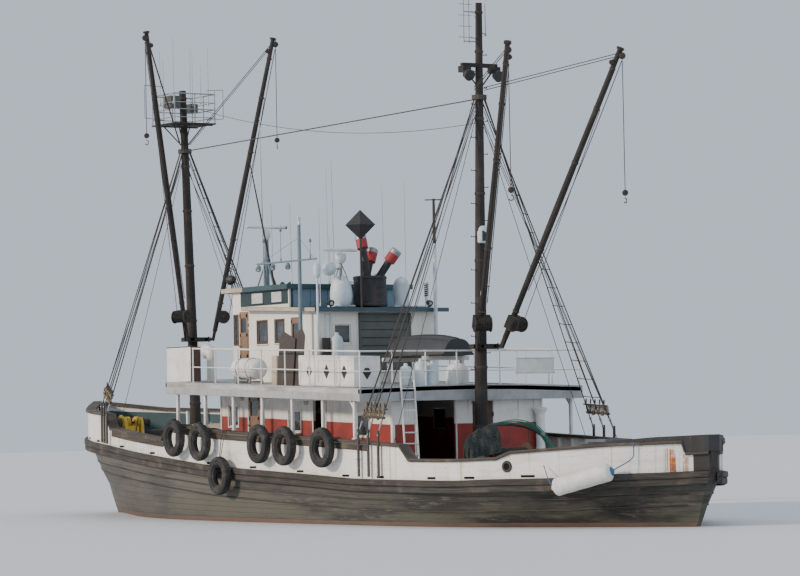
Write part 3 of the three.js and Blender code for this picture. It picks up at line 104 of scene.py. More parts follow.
def line(start: Point, end: Point, count: int = 2) -> Array:
    """Points on a straight line, evenly spaced."""
    t = np.linspace(0.0, 1.0, count)[:, None]
    return vec(*start) * (1 - t) + vec(*end) * t


def sagging(start: Point, end: Point, sag: float, count: int = 14) -> Array:
    """Points of a hanging line: a straight one lowered by a parabola of that depth."""
    t = np.linspace(0.0, 1.0, count)
    points = line(start, end, count)
    points[:, 2] -= 4.0 * sag * t * (1 - t)
    return points


def ring(radius: float, sides: int, phase: float = 0.0) -> Array:
    """Unit circle points times a radius, as two columns."""
    angle = phase + np.arange(sides) * TAU / sides
    return radius * np.stack([np.cos(angle), np.sin(angle)], axis=1)


def upright_ring(centre: Point, radius: float, sides: int) -> Array:
    """Points of a circle square to x round a centre."""
    loop = ring(radius, sides)
    return np.column_stack([np.full(sides, centre[0]), centre[1] + loop[:, 0], centre[2] + loop[:, 1]])


def toothed(centre: Point, radius: float, depth: float, teeth: int) -> Array:
    """Rim of a gear wheel square to y: a square wave of the turn lifts each tooth."""
    angle = np.linspace(0, TAU, teeth * 4 + 1)[:-1]
    reach = radius + depth * np.sign(np.sin(angle * teeth))
    return np.column_stack([centre[0] + reach * np.cos(angle), np.full(len(angle), centre[1]),
                            centre[2] + reach * np.sin(angle)])


def disc(radius: float, edge: float, crown: float) -> list:
    """Profile of a round plate: flat below, upright at its edge and higher in its middle."""
    return [(0, 0), (radius, 0), (radius, edge), (0, crown)]


def axes_of(direction: Point, up: Point = (0.0, 0.0, 1.0)) -> Array:
    """Three unit axes as rows: the direction, its side and its own up."""
    forward = unit(vec(*direction))
    helper = vec(*up)
    if abs(float(forward @ unit(helper))) > 0.98:
        helper = vec(1.0, 0.0, 0.0) if abs(forward[0]) < 0.9 else vec(0.0, 1.0, 0.0)
    side = unit(np.cross(helper, forward))
    return np.stack([forward, side, np.cross(forward, side)])


class Skin:
    """Surfaces gathered into one mesh: points, faces and a UV in metres for each point."""

    def __init__(self) -> None:
        """Starts empty."""
        self.points: list[Array] = []
        self.uvs: list[Array] = []
        self.quads: list[Array] = []
        self.triangles: list[Array] = []
        self.total = 0

    def put(self, points: Array, uvs: Array, quads: Array | None, triangles: Array | None) -> None:
        """Adds points with their UVs and the faces between them."""
        if quads is not None and len(quads):
            self.quads.append(quads + self.total)
        if triangles is not None and len(triangles):
            self.triangles.append(triangles + self.total)
        self.points.append(points)
        self.uvs.append(uvs)
        self.total += len(points)

    def sheet(self, grid: Array, wrap: bool = False, caps: bool = False, flip: bool = False) -> "Skin":
        """Adds a grid of points as quads.

        Args:
            grid: Points as rows by columns by 3.
            wrap: Joins the last column to the first, with a seam column for the UVs.
            caps: Closes the first and the last row with a fan round their middle.
            flip: Turns the faces round.
        Returns:
            This skin, for the next call.
        """
        grid = np.asarray(grid, float)
        if wrap:
            grid = np.concatenate([grid, grid[:, :1]], axis=1)
        rows, columns = grid.shape[:2]
        down = np.linalg.norm(np.diff(grid, axis=0), axis=2).mean(axis=1)
        across = np.linalg.norm(np.diff(grid, axis=1), axis=2).mean(axis=0)
        u = np.concatenate([[0.0], np.cumsum(down)])
        v = np.concatenate([[0.0], np.cumsum(across)])
        uvs = np.stack(np.broadcast_arrays(u[:, None], v[None, :]), axis=2).reshape(-1, 2)
        index = np.arange(rows * columns).reshape(rows, columns)
        quads = np.stack([index[:-1, :-1], index[1:, :-1], index[1:, 1:], index[:-1, 1:]],
                         axis=2).reshape(-1, 4)
        self.put(grid.reshape(-1, 3), uvs, quads[:, ::-1] if flip else quads, None)
        if caps:
            self.fan(grid[0], flip)
            self.fan(grid[-1], not flip)
        return self

    def fan(self, rim: Array, flip: bool = False) -> "Skin":
        """Closes a rim of points with triangles to its middle."""
        middle = rim.mean(axis=0)
        points = np.concatenate([rim, middle[None]])
        count = len(rim)
        here = np.arange(count)
        faces = np.stack([here, (here + 1) % count, np.full(count, count)], axis=1)
        spread = points - middle
        uvs = np.stack([np.linalg.norm(spread, axis=1), spread.sum(axis=1)], axis=1)
        self.put(points, uvs, None, faces[:, ::-1] if flip else faces)
        return self

    def tube(self, path: Array, radius: Array | float, sides: int = 10, caps: bool = True,
             closed: bool = False, up: Point = (0.0, 0.0, 1.0), inward: bool = False) -> "Skin":
        """Adds a round tube: circles of the radius stand square to the path at each of its points."""
        path = np.asarray(path, float)
        if closed:
            before, after = np.roll(path, 1, axis=0), np.roll(path, -1, axis=0)
            tangent = unit(after - before)
        else:
            tangent = unit(np.gradient(path, axis=0))
        helper = vec(*up)
        if abs(float(np.abs(tangent @ unit(helper)).mean())) > 0.9:
            helper = vec(1.0, 0.3, 0.0)
        side = unit(np.cross(helper, tangent))
        top = np.cross(tangent, side)
        circle = ring(1.0, sides)
        reach = np.broadcast_to(np.asarray(radius, float), (len(path),))[:, None, None]
        grid = path[:, None] + reach * (circle[None, :, :1] * side[:, None]
                                        + circle[None, :, 1:] * top[:, None])
        if closed:
            grid = np.concatenate([grid, grid[:1]])
        return self.sheet(grid, wrap=True, caps=caps and not closed, flip=not inward)

    def rod(self, start: Point, end: Point, radius: float, thin: float | None = None, sides: int = 10,
            steps: int = 2) -> "Skin":
        """Adds a straight round rod that may taper from the radius to another."""
        radii = np.linspace(radius, radius if thin is None else thin, steps)
        return self.tube(line(start, end, steps), radii, sides)

    def turned(self, profile: Sequence[Point], origin: Point, axis: Point = (0.0, 0.0, 1.0),
               sides: int = 20) -> "Skin":
        """Adds a turned shape: radius, height pairs carried round an axis through the origin."""
        frame_axes = axes_of(axis)
        rows = np.asarray(profile, float)
        circle = ring(1.0, sides)
        grid = (vec(*origin) + rows[:, 1, None, None] * frame_axes[0]
                + rows[:, 0, None, None] * (circle[None, :, :1] * frame_axes[1]
                                            + circle[None, :, 1:] * frame_axes[2]))
        return self.sheet(grid, wrap=True, caps=True, flip=True)

    def beam(self, start: Point, end: Point, wide: float, high: float, chamfer: float = 0.004,
             up: Point = (0.0, 0.0, 1.0)) -> "Skin":
        """Adds a chamfered bar from start to end with a width across and a height along its own up."""
        start, end = vec(*start), vec(*end)
        half = vec(float(np.linalg.norm(end - start)), wide, high) / 2.0
        cut = min(chamfer, float(half.min()) * 0.45)
        corners = half * BAR_SIGNS - cut * BAR_SIGNS * (1.0 - BAR_FULL)
        points = (start + end) / 2.0 + corners @ axes_of(end - start, up)
        uvs = corners[:, [0, 2]] + corners[:, [0, 1]] * vec(0.0, 1.0)
        self.put(points, uvs, BAR_QUADS, BAR_TRIANGLES)
        return self

    def box(self, low: Point, high: Point, chamfer: float = 0.004) -> "Skin":
        """Adds a chamfered box between two corners."""
        low, high = vec(*low), vec(*high)
        middle = (low + high) / 2.0
        return self.beam((low[0], middle[1], middle[2]), (high[0], middle[1], middle[2]),
                         high[1] - low[1], high[2] - low[2], chamfer)

    def ball(self, centre: Point, radius: float, sides: int = 12) -> "Skin":
        """Adds a ball."""
        angle = np.linspace(-math.pi / 2, math.pi / 2, sides // 2 + 1)[1:-1]
        return self.turned(np.stack([np.cos(angle), np.sin(angle)], axis=1) * radius, centre, sides=sides)

    def prism(self, rim: Array, shift: Point) -> "Skin":
        """Adds the solid swept by a flat convex rim of points moved by a shift."""
        rim = np.asarray(rim, float)
        return self.sheet(np.stack([rim, rim + vec(*shift)]), wrap=True, caps=True)

    def mesh(self, name: str, crease: float = 38.0) -> bpy.types.Mesh:
        """The gathered surfaces as a mesh, smooth but for edges sharper than the crease in degrees."""
        quads = np.concatenate(self.quads) if self.quads else np.zeros((0, 4), int)
        triangles = np.concatenate(self.triangles) if self.triangles else np.zeros((0, 3), int)
        corners = np.concatenate([quads.ravel(), triangles.ravel()])
        starts = np.concatenate([np.arange(len(quads)) * 4, len(quads) * 4
                                 + np.arange(len(triangles)) * 3])
        mesh = bpy.data.meshes.new(name)
        mesh.vertices.add(self.total)
        mesh.vertices.foreach_set("co", np.concatenate(self.points).astype(np.float32).ravel())
        mesh.loops.add(len(corners))
        mesh.loops.foreach_set("vertex_index", corners.astype(np.int32))
        mesh.polygons.add(len(starts))
        mesh.polygons.foreach_set("loop_start", starts.astype(np.int32))
        layer = mesh.uv_layers.new(name="UVMap")
        layer.data.foreach_set("uv", np.concatenate(self.uvs)[corners].astype(np.float32).ravel())
        mesh.update(calc_edges=True)
        mesh.validate()
        mesh.shade_smooth()
        mesh.set_sharp_from_angle(angle=math.radians(crease))
        return mesh


def bar_template() -> tuple[Array, Array, Array, Array]:
    """Corner signs, axis flags, quads and triangles of a chamfered bar.

    Each of the 8 corners gives 3 points, one at full reach along each axis.
    """
    signs = np.array([[x, y, z] for x in (-1, 1) for y in (-1, 1) for z in (-1, 1)], float)
    corner = np.repeat(np.arange(8), 3)
    axis = np.tile(np.arange(3), 8)
    full = np.eye(3)[axis]
    number = {tuple(int(s) for s in signs[c]) + (int(k),): i for i,
              (c, k) in enumerate(zip(corner, axis))}
    quads = []
    for k in range(3):
        p, q = (k + 1) % 3, (k + 2) % 3
        for s in (-1, 1):
            loop = [(-1, -1), (1, -1), (1, 1), (-1, 1)][::s]
            quads.append([number[at_signs(k, s, p, a, q, b) + (k,)] for a, b in loop])
        for a in (-1, 1):
            for b in (-1, 1):
                ends = [(at_signs(p, a, q, b, k, e), e) for e in (-1, 1)]
                face = [number[ends[0][0] + (p,)], number[ends[1][0] + (p,)], number[ends[1][0] + (q,)],
                        number[ends[0][0] + (q,)]]
                quads.append(face if a * b < 0 else face[::-1])
    triangles = []
    for c in signs.astype(int):
        face = [number[tuple(c) + (k,)] for k in range(3)]
        triangles.append(face if c.prod() > 0 else face[::-1])
    return signs[corner], full, np.array(quads), np.array(triangles)


def at_signs(*pairs: int) -> tuple[int, int, int]:
    """Three signs in axis order from pairs of axis and sign."""
    found = dict(zip(pairs[::2], pairs[1::2]))
    return found[0], found[1], found[2]


BAR_SIGNS, BAR_FULL, BAR_QUADS, BAR_TRIANGLES = bar_template()


class Value:
    """A shader socket on which Python's operators build Math nodes."""

    def __init__(self, graph: "Graph", socket: bpy.types.NodeSocket) -> None:
        """Keeps the graph and the socket."""
        self.graph = graph
        self.socket = socket

    def math(self, operation: str, *others: "Value | float") -> "Value":
        """A Math node of this value and the others."""
        inputs = dict(enumerate((self, *others)))
        node = self.graph.node("ShaderNodeMath", {"operation": operation}, inputs)
        return self.graph.out(node, 0)

    def __add__(self, other: "Value | float") -> "Value":
        """This plus other."""
        return self.math("ADD", other)

    __radd__ = __add__

    def __sub__(self, other: "Value | float") -> "Value":
        """This less other."""
        return self.math("SUBTRACT", other)

    def __rsub__(self, other: float) -> "Value":
        """Other less this."""
        return self.graph.number_math("SUBTRACT", other, self)

    def __mul__(self, other: "Value | float") -> "Value":
        """This times other."""
        return self.math("MULTIPLY", other)

    __rmul__ = __mul__

    def __truediv__(self, other: "Value | float") -> "Value":
        """This over other."""
        return self.math("DIVIDE", other)

    def __mod__(self, other: float) -> "Value":
        """What is left of this over other, never negative."""
        return self.math("FLOORED_MODULO", other)

    def __abs__(self) -> "Value":
        """Distance from nought."""
        return self.math("ABSOLUTE")

    def step(self, start: float, end: float) -> "Value":
        """Nought before start, one after end, and a smooth rise or fall between."""
        flat = {"interpolation_type": "SMOOTHSTEP", "clamp": True}
        low, high = (start, end) if start < end else (end, start)
        node = self.graph.node("ShaderNodeMapRange", flat, {0: self, 1: low, 2: high})
        rise = self.graph.out(node, 0)
        return rise if start < end else 1.0 - rise


class Graph:
    """A material's node tree, with one method for every node that isn't Math."""

    def __init__(self, name: str) -> None:
        """Makes an empty material with its output and a Principled shader."""
        self.material = bpy.data.materials.new(name)
        self.material.use_nodes = True
        self.tree = self.material.node_tree
        self.tree.nodes.clear()
        self.shader = self.tree.nodes.new("ShaderNodeBsdfPrincipled")
        output = self.tree.nodes.new("ShaderNodeOutputMaterial")
        self.tree.links.new(self.shader.outputs[0], output.inputs[0])
        self.place = self.out(self.node("ShaderNodeTexCoord"), "Object")
        x, y, z = (self.out(self.node("ShaderNodeSeparateXYZ", {}, {0: self.place}), i) for i in range(3))
        self.x, self.y, self.z = x, y, z

    def node(self, kind: str, settings: dict | None = None, inputs: dict | None = None) -> bpy.types.Node:
        """Makes a node.

        Args:
            kind: Blender's node type.
            settings: Attributes set first, such as an operation, or ramp stops under "stops".
            inputs: Numbers, colours or values by socket name or number.
        Returns:
            The node.
        """
        node = self.tree.nodes.new(kind)
        for key, value in (settings or {}).items():
            if key == "stops":
                self.set_stops(node.color_ramp, value)
            else:
                setattr(node, key, value)
        for key, value in (inputs or {}).items():
            if isinstance(value, Value):
                self.tree.links.new(value.socket, node.inputs[key])
            else:
                node.inputs[key].default_value = value
        return node

    @staticmethod
    def set_stops(ramp: bpy.types.ColorRamp, stops: Sequence[tuple[float, Point]]) -> None:
        """Sets a colour ramp's stops from place and colour pairs."""
        while len(ramp.elements) < len(stops):
            ramp.elements.new(0.5)
        for element, (place, color) in zip(ramp.elements, stops):
            element.position = place
            element.color = (*color, 1.0)

    def out(self, node: bpy.types.Node, key: int | str) -> Value:
        """An output socket of a node as a value."""
        return Value(self, node.outputs[key])

    def number_math(self, operation: str, first: float, second: Value) -> Value:
        """A Math node whose first input is a plain number."""
        return self.out(self.node("ShaderNodeMath", {"operation": operation}, {0: first, 1: second}), 0)

    def uv(self) -> tuple[Value, Value]:
        """The piece's own UV, in metres, as two values."""
        place = self.out(self.node("ShaderNodeTexCoord"), "UV")
        split = self.node("ShaderNodeSeparateXYZ", {}, {0: place})
        return self.out(split, 0), self.out(split, 1)

    def stretched(self, scale: Point) -> Value:
        """Object coordinates times a scale along each axis."""
        return self.out(self.node("ShaderNodeMapping", {"vector_type": "POINT"},
                                  {"Vector": self.place, "Scale": tuple(scale)}), 0)

    def noise(self, scale: float, detail: float = 4.0, at: Value | None = None,
              rough: float = 0.55) -> Value:
        """Cloudy noise from about 0.3 to 0.7."""
        inputs = {"Vector": at or self.place, "Scale": scale, "Detail": detail, "Roughness": rough}
        return self.out(self.node("ShaderNodeTexNoise", {}, inputs), 0)

    def cells(self, scale: float, at: Value | None = None) -> Value:
        """Distance to the nearest of scattered points."""
        inputs = {"Vector": at or self.place, "Scale": scale}
        return self.out(self.node("ShaderNodeTexVoronoi", {}, inputs), 0)

    def mix(self, share: Value | float, first: Value | Point, second: Value | Point) -> Value:
        """A colour that goes from the first to the second."""
        tint = [c if isinstance(c, Value) else (*c, 1.0) for c in (first, second)]
        node = self.node("ShaderNodeMix", {"data_type": "RGBA"}, {0: share, 6: tint[0], 7: tint[1]})
        return self.out(node, 2)

    def bump(self, height: Value, depth: float, strength: float = 1.0) -> Value:
        """A normal from heights between 0 and 1 that stand for a depth in metres."""
        inputs = {"Strength": strength, "Distance": depth, "Height": height}
        return self.out(self.node("ShaderNodeBump", {}, inputs), 0)

    def finish(self, color: Value | Point, rough: Value | float, metal: Value | float = 0.0,
               normal: Value | None = None, **sockets: float) -> bpy.types.Material:
        """Joins the results to the shader and gives the material.

        Args:
            color: Base colour.
            rough: Roughness.
            metal: Metallic share.
            normal: Normal from a bump, if any.
            **sockets: Plain numbers for other sockets of the shader, with _ for a space.
        Returns:
            The material.
        """
        inputs = {"Base Color": color if isinstance(color, Value) else (*color, 1.0), "Roughness": rough,
                  "Metallic": metal}
        if normal is not None:
            inputs["Normal"] = normal
        for key, value in inputs.items():
            if isinstance(value, Value):
                self.tree.links.new(value.socket, self.shader.inputs[key])
            else:
                self.shader.inputs[key].default_value = value
        for key, value in sockets.items():
            self.shader.inputs[key.replace("_", " ")].default_value = value
        return self.material


class Finish(Enum):
    """The record's finish slots, each by the name that it has there."""

    HULL = "hull_wood"
    GUARD = "guard_wood"
    BULWARK = "white_paint"
    CAP = "cap_wood"
    SLATE_STEEL = "plate_steel"
    BRONZE = "bronze"
    DECK = "deck_paint"
    DOOR = "door_wood"
    CREAM = "cream_paint"
    BLACK = "black_paint"
    SPAR = "spar_wood"
    WIRE = "wire_rope"
    TYRE = "tyre_rubber"
    YELLOW = "yellow_paint"
    RUST = "rusty_steel"
    ROOF = "slate_paint"
    WHITE = "white_metal"
    SKIFF = "grey_canvas"


@dataclass(frozen=True)
class Paint:
    """Paint over steel or smooth wood, with blotches, fine grain and rust or dirt that breaks through."""

    name: str
    color: Point
    dirt: Point = (0.20, 0.12, 0.07)
    rough: float = 0.5
    amount: float = 0.35
    metal: float = 0.0
    grain: float = 40.0
    depth: float = 0.0015
    upright: float = 0.3

    def make(self) -> bpy.types.Material:
        """The material: cloudy tone, streaked dirt and small chips."""
        g = Graph(self.name)
        cloud = g.noise(2.3, 5.0)
        streaks = g.noise(5.0, 5.0, g.stretched((1.0, 1.0, self.upright)), 0.65)
        chips = g.noise(19.0, 6.0, rough=0.7)
        tone = g.mix(cloud.step(0.35, 0.7), tuple(c * 0.86 for c in self.color),
                     tuple(min(1.0, c * 1.08) for c in self.color))
        color = g.mix(streaks.step(0.52, 0.74) * self.amount, tone, self.dirt)
        broken = chips.step(0.63, 0.68) * min(1.0, self.amount * 1.6)
        color = g.mix(broken, color, tuple(c * 0.7 for c in self.dirt))
        small = g.noise(self.grain, 3.0)
        rough = self.rough + streaks * 0.15 + broken * 0.2
        return g.finish(color, rough, self.metal, g.bump(small * 0.5 - broken * 0.5 + 0.5, self.depth,
                                                         0.7))


@dataclass(frozen=True)
class Grained:
    """Wood with its grain along the UV's u, darker pores and a worn lighter tone on patches."""

    name: str
    color: Point
    dark: Point
    pale: Point
    rough: float = 0.7
    gloss: float = 0.0

    def make(self) -> bpy.types.Material:
        """The material: noise drawn out along u makes grain, and clouds bare the pale wood."""
        g = Graph(self.name)
        u, v = g.uv()
        place = g.node("ShaderNodeCombineXYZ", {}, {0: u * 1.2, 1: v * 34.0, 2: g.z * 0.5 + g.x * 0.2})
        grain = g.noise(1.0, 5.0, g.out(place, 0), 0.7)
        cloud = g.noise(1.7, 5.0)
        color = g.mix(grain.step(0.35, 0.62), self.dark, self.color)
        color = g.mix(cloud.step(0.52, 0.75) * 0.5, color, self.pale)
        return g.finish(color, self.rough + grain * 0.15, normal=g.bump(grain, 0.002, 0.7),
                        Coat_Weight=self.gloss)


@dataclass(frozen=True)
class Laid:
    """Laid rope or wire: strands wind round the piece's own UV."""

    name: str
    color: Point
    dark: Point
    lay: float
    metal: float = 0.0

    def make(self) -> bpy.types.Material:
        """The material: slanting ridges from u and v, lighter on the strands' crowns and darker between them
        as painted light and shade.
        """
        g = Graph(self.name)
        u, v = g.uv()
        ridge = abs(((u + v * 0.8) / self.lay) % 1.0 - 0.5) * 2.0
        cloud = g.noise(6.0, 4.0)
        # Strand crowns lighter and grooves darker: painted light and shade on the lay.
        color = g.mix(ridge.step(0.1, 0.8), self.dark, self.color)
        color = g.mix(cloud.step(0.5, 0.7) * 0.5, color, self.dark)
        return g.finish(color, 0.75, self.metal, g.bump(ridge, self.lay * 0.15, 0.8))


def seams(place: Value, width: float, start: float) -> Value:
    """One in the seams between planks of a width and nought on them, from a start between 0 and 0.5."""
    return abs((place / width) % 1.0 - 0.5).step(start, 0.5)


def hull_paint() -> bpy.types.Material:
    """Old black topsides over planks, lighter towards the bow as painted sunlight, a dull boot-top, weed at
    the waterline, red-brown bottom paint.
    """
    g = Graph("hull_wood")
    _, v = g.uv()
    seam = seams(v, 0.17, 0.46)
    butts = g.cells(0.55, g.stretched((0.35, 0.2, 3.0)))
    patches = g.noise(0.55, 7.0, g.stretched((0.45, 0.6, 2.6)), 0.62)
    scuffs = g.noise(2.6, 7.0, g.stretched((0.5, 0.5, 3.2)), 0.7)
    streaks = g.noise(2.2, 5.0, g.stretched((3.0, 3.0, 0.16)), 0.6)
    fine = g.noise(30.0, 3.0)
    black = g.mix(patches.step(0.4, 0.62), (0.020, 0.020, 0.019), (0.062, 0.058, 0.049))
    # Lighter grey-brown towards the bow is painted sunlight on the fore topsides; the patches in it are
    # random tone.
    sunlit_bow_tone = g.mix(patches.step(0.36, 0.6), (0.068, 0.066, 0.060), (0.12, 0.112, 0.098))
    black = g.mix((g.x + (patches - 0.5) * 5.0).step(-8.0, 9.0), black, sunlit_bow_tone)
    black = g.mix(scuffs.step(0.52, 0.66) * 0.55, black, (0.135, 0.125, 0.102))
    green = g.z.step(1.05, 0.25) * patches.step(0.42, 0.58) * 0.55
    black = g.mix(green, black, (0.088, 0.092, 0.062))
    rust = streaks.step(0.60, 0.72) * g.z.step(-0.1, 0.9) * 0.45
    black = g.mix(rust, black, (0.16, 0.085, 0.042))
    black = g.mix(seam * 0.7, black, (0.012, 0.011, 0.010))
    edge = g.z + (scuffs - 0.5) * 0.05
    boot = g.mix(scuffs.step(0.45, 0.62) * 0.7, (0.135, 0.082, 0.062), (0.080, 0.066, 0.048))
    color = g.mix(edge.step(0.115, 0.10), black, boot)
    color = g.mix(edge.step(0.03, -0.03), color, (0.055, 0.062, 0.034))
    bottom = g.mix(patches.step(0.4, 0.65), (0.20, 0.055, 0.040), (0.13, 0.075, 0.05))
    color = g.mix(edge.step(-0.12, -0.2), color, bottom)
    rough = 0.62 + scuffs * 0.22 - patches.step(0.4, 0.3) * 0.12
    height = (1.0 - seam) * 0.6 + fine * 0.15 + scuffs * 0.25
    return g.finish(color, rough + butts * 0.02, normal=g.bump(height, 0.012, 0.9))


def bulwark_paint() -> bpy.types.Material:
    """White bulwark planks with seams, grey grime, rust runs and heavy rust by the stern plates."""
    g = Graph("white_paint")
    _, v = g.uv()
    seam = seams(v, 0.21, 0.475)
    grime = g.noise(1.6, 6.0, g.stretched((0.7, 0.7, 1.5)), 0.65)
    runs = g.noise(2.6, 5.0, g.stretched((4.2, 4.2, 0.12)), 0.6)
    chips = g.noise(13.0, 6.0, g.stretched((0.4, 0.4, 1.0)), 0.7)
    color = g.mix(grime.step(0.45, 0.7) * 0.55, (0.80, 0.79, 0.75), (0.50, 0.49, 0.45))
    color = g.mix(runs.step(0.57, 0.70) * 0.5, color, (0.40, 0.27, 0.15))
    color = g.mix(chips.step(0.63, 0.67) * 0.6, color, (0.20, 0.18, 0.15))
    aft = g.x + (runs - 0.5) * 0.5
    stern = aft.step(-13.92, -14.02) * runs.step(0.44, 0.56)
    stern = stern * aft.step(-14.55, -14.15) * grime.step(0.38, 0.52)
    color = g.mix(stern, color, g.mix(chips.step(0.4, 0.6), (0.52, 0.16, 0.035), (0.24, 0.08, 0.03)))
    color = g.mix(g.x.step(-14.47, -14.49), color, (0.035, 0.030, 0.027))
    color = g.mix(seam * 0.28, color, (0.16, 0.15, 0.13))
    height = (1.0 - seam) * 0.6 + grime * 0.15 + chips * 0.25
    return g.finish(color, 0.55 + grime * 0.25, normal=g.bump(height, 0.005, 0.8))


def house_paint() -> bpy.types.Material:
    """Upright-boarded house side: red oxide from the deck to a line under the boat deck, white above it."""
    g = Graph("red_paint")
    board = seams(g.x, 0.115, 0.47)
    grime = g.noise(1.9, 6.0, rough=0.65)
    runs = g.noise(3.0, 5.0, g.stretched((3.6, 3.6, 0.15)), 0.6)
    chips = g.noise(16.0, 6.0, rough=0.7)
    red = g.mix(grime.step(0.4, 0.65), (0.33, 0.040, 0.030), (0.22, 0.034, 0.028))
    white = g.mix(grime.step(0.45, 0.7) * 0.5, (0.78, 0.77, 0.73), (0.52, 0.51, 0.47))
    line_height = g.z - g.x * 0.037
    color = g.mix(line_height.step(2.655, 2.665), red, white)
    color = g.mix(runs.step(0.55, 0.7) * 0.45, color, (0.20, 0.13, 0.09))
    color = g.mix(chips.step(0.64, 0.68) * 0.6, color, (0.17, 0.14, 0.12))
    height = (1.0 - board) * 0.7 + chips * 0.3
    return g.finish(color, 0.58 + grime * 0.2, normal=g.bump(height, 0.004, 0.7))


def cabin_paint() -> bpy.types.Material:
    """Cream-white upright boards: fine seams across x and y, soft grime, few runs and chips."""
    g = Graph("cream_paint")
    board = seams(g.x + g.y, 0.16, 0.475)
    grime = g.noise(1.5, 6.0, rough=0.62)
    runs = g.noise(2.8, 5.0, g.stretched((3.6, 3.6, 0.15)), 0.6)
    chips = g.noise(15.0, 6.0, rough=0.7)
    color = g.mix(grime.step(0.46, 0.72) * 0.5, (0.80, 0.77, 0.70), (0.58, 0.55, 0.48))
    color = g.mix(runs.step(0.6, 0.74) * 0.35, color, (0.34, 0.26, 0.18))
    color = g.mix(chips.step(0.66, 0.69) * 0.6, color, (0.30, 0.26, 0.21))
    color = g.mix(board * 0.35, color, (0.28, 0.25, 0.20))
    height = (1.0 - board) * 0.7 + chips * 0.3
    return g.finish(color, 0.58 + grime * 0.2, normal=g.bump(height, 0.003, 0.6))


def deck_paint() -> bpy.types.Material:
    """Fore-and-aft deck planks in worn pale grey paint with dark caulked seams."""
    g = Graph("deck_paint")
    seam = seams(g.y, 0.12, 0.46)
    traffic = g.noise(0.9, 7.0, g.stretched((0.5, 1.0, 1.0)), 0.65)
    grain = g.noise(9.0, 5.0, g.stretched((0.15, 3.0, 3.0)), 0.7)
    color = g.mix(traffic.step(0.42, 0.66), (0.52, 0.54, 0.53), (0.27, 0.26, 0.23))
    color = g.mix(grain.step(0.5, 0.7) * 0.5, color, (0.17, 0.15, 0.12))
    color = g.mix(seam * 0.8 * traffic.step(0.3, 0.5), color, (0.05, 0.045, 0.04))
    height = (1.0 - seam) * 0.7 + grain * 0.3
    return g.finish(color, 0.72 + grain * 0.15, normal=g.bump(height, 0.004, 0.8))


def tyre_rubber() -> bpy.types.Material:
    """Black rubber greyed by salt and scuffed brown on its outer face."""
    g = Graph("tyre_rubber")
    salt = g.noise(3.0, 6.0, rough=0.7)
    fine = g.noise(45.0, 4.0)
    color = g.mix(salt.step(0.45, 0.7), (0.016, 0.016, 0.017), (0.070, 0.066, 0.060))
    color = g.mix(fine.step(0.58, 0.7) * 0.4, color, (0.12, 0.105, 0.085))
    return g.finish(color, 0.72 + salt * 0.2, normal=g.bump(fine, 0.002, 0.6))


def glass() -> bpy.types.Material:
    """Window glass as an opaque pane: near black as painted shade of the dim room behind it, glossy and a
    little dusty.
    """
    g = Graph("window_glass")
    dust = g.noise(3.0, 6.0, rough=0.7)
    # The near-black pane colour is painted shade standing in for the room behind the glass; the dust is real.
    color = g.mix(dust.step(0.45, 0.75), (0.022, 0.028, 0.030), (0.085, 0.095, 0.095))
    return g.finish(color, 0.08 + dust.step(0.5, 0.8) * 0.3, Coat_Weight=0.5)


def netting() -> bpy.types.Material:
    """Matted old net: dark twine, lighter on the knots and darker between them as painted shade in the
    hollows.
    """
    g = Graph("old_net")
    knots = g.cells(28.0)
    cloud = g.noise(4.0, 6.0, rough=0.7)
    color = g.mix(cloud.step(0.4, 0.65), (0.022, 0.028, 0.026), (0.058, 0.062, 0.052))
    # Lighter knots against darker hollows: painted shade in the hollows between the knots.
    color = g.mix(knots.step(0.5, 0.2) * 0.5, color, (0.10, 0.105, 0.09))
    return g.finish(color, 0.92, normal=g.bump(knots, 0.012, 1.0))


def lamp_glass(name: str, tint: Point) -> bpy.types.Material:
    """Coloured or clear lamp glass, ribbed by fine rings."""
    g = Graph(name)
    ribs = abs((g.z / 0.012) % 1.0 - 0.5)
    dust = g.noise(12.0, 4.0)
    color = g.mix(dust.step(0.4, 0.7) * 0.5, tint, tuple(c * 0.5 for c in tint))
    return g.finish(color, 0.12 + dust * 0.2, normal=g.bump(ribs, 0.003, 0.5), Coat_Weight=0.4)


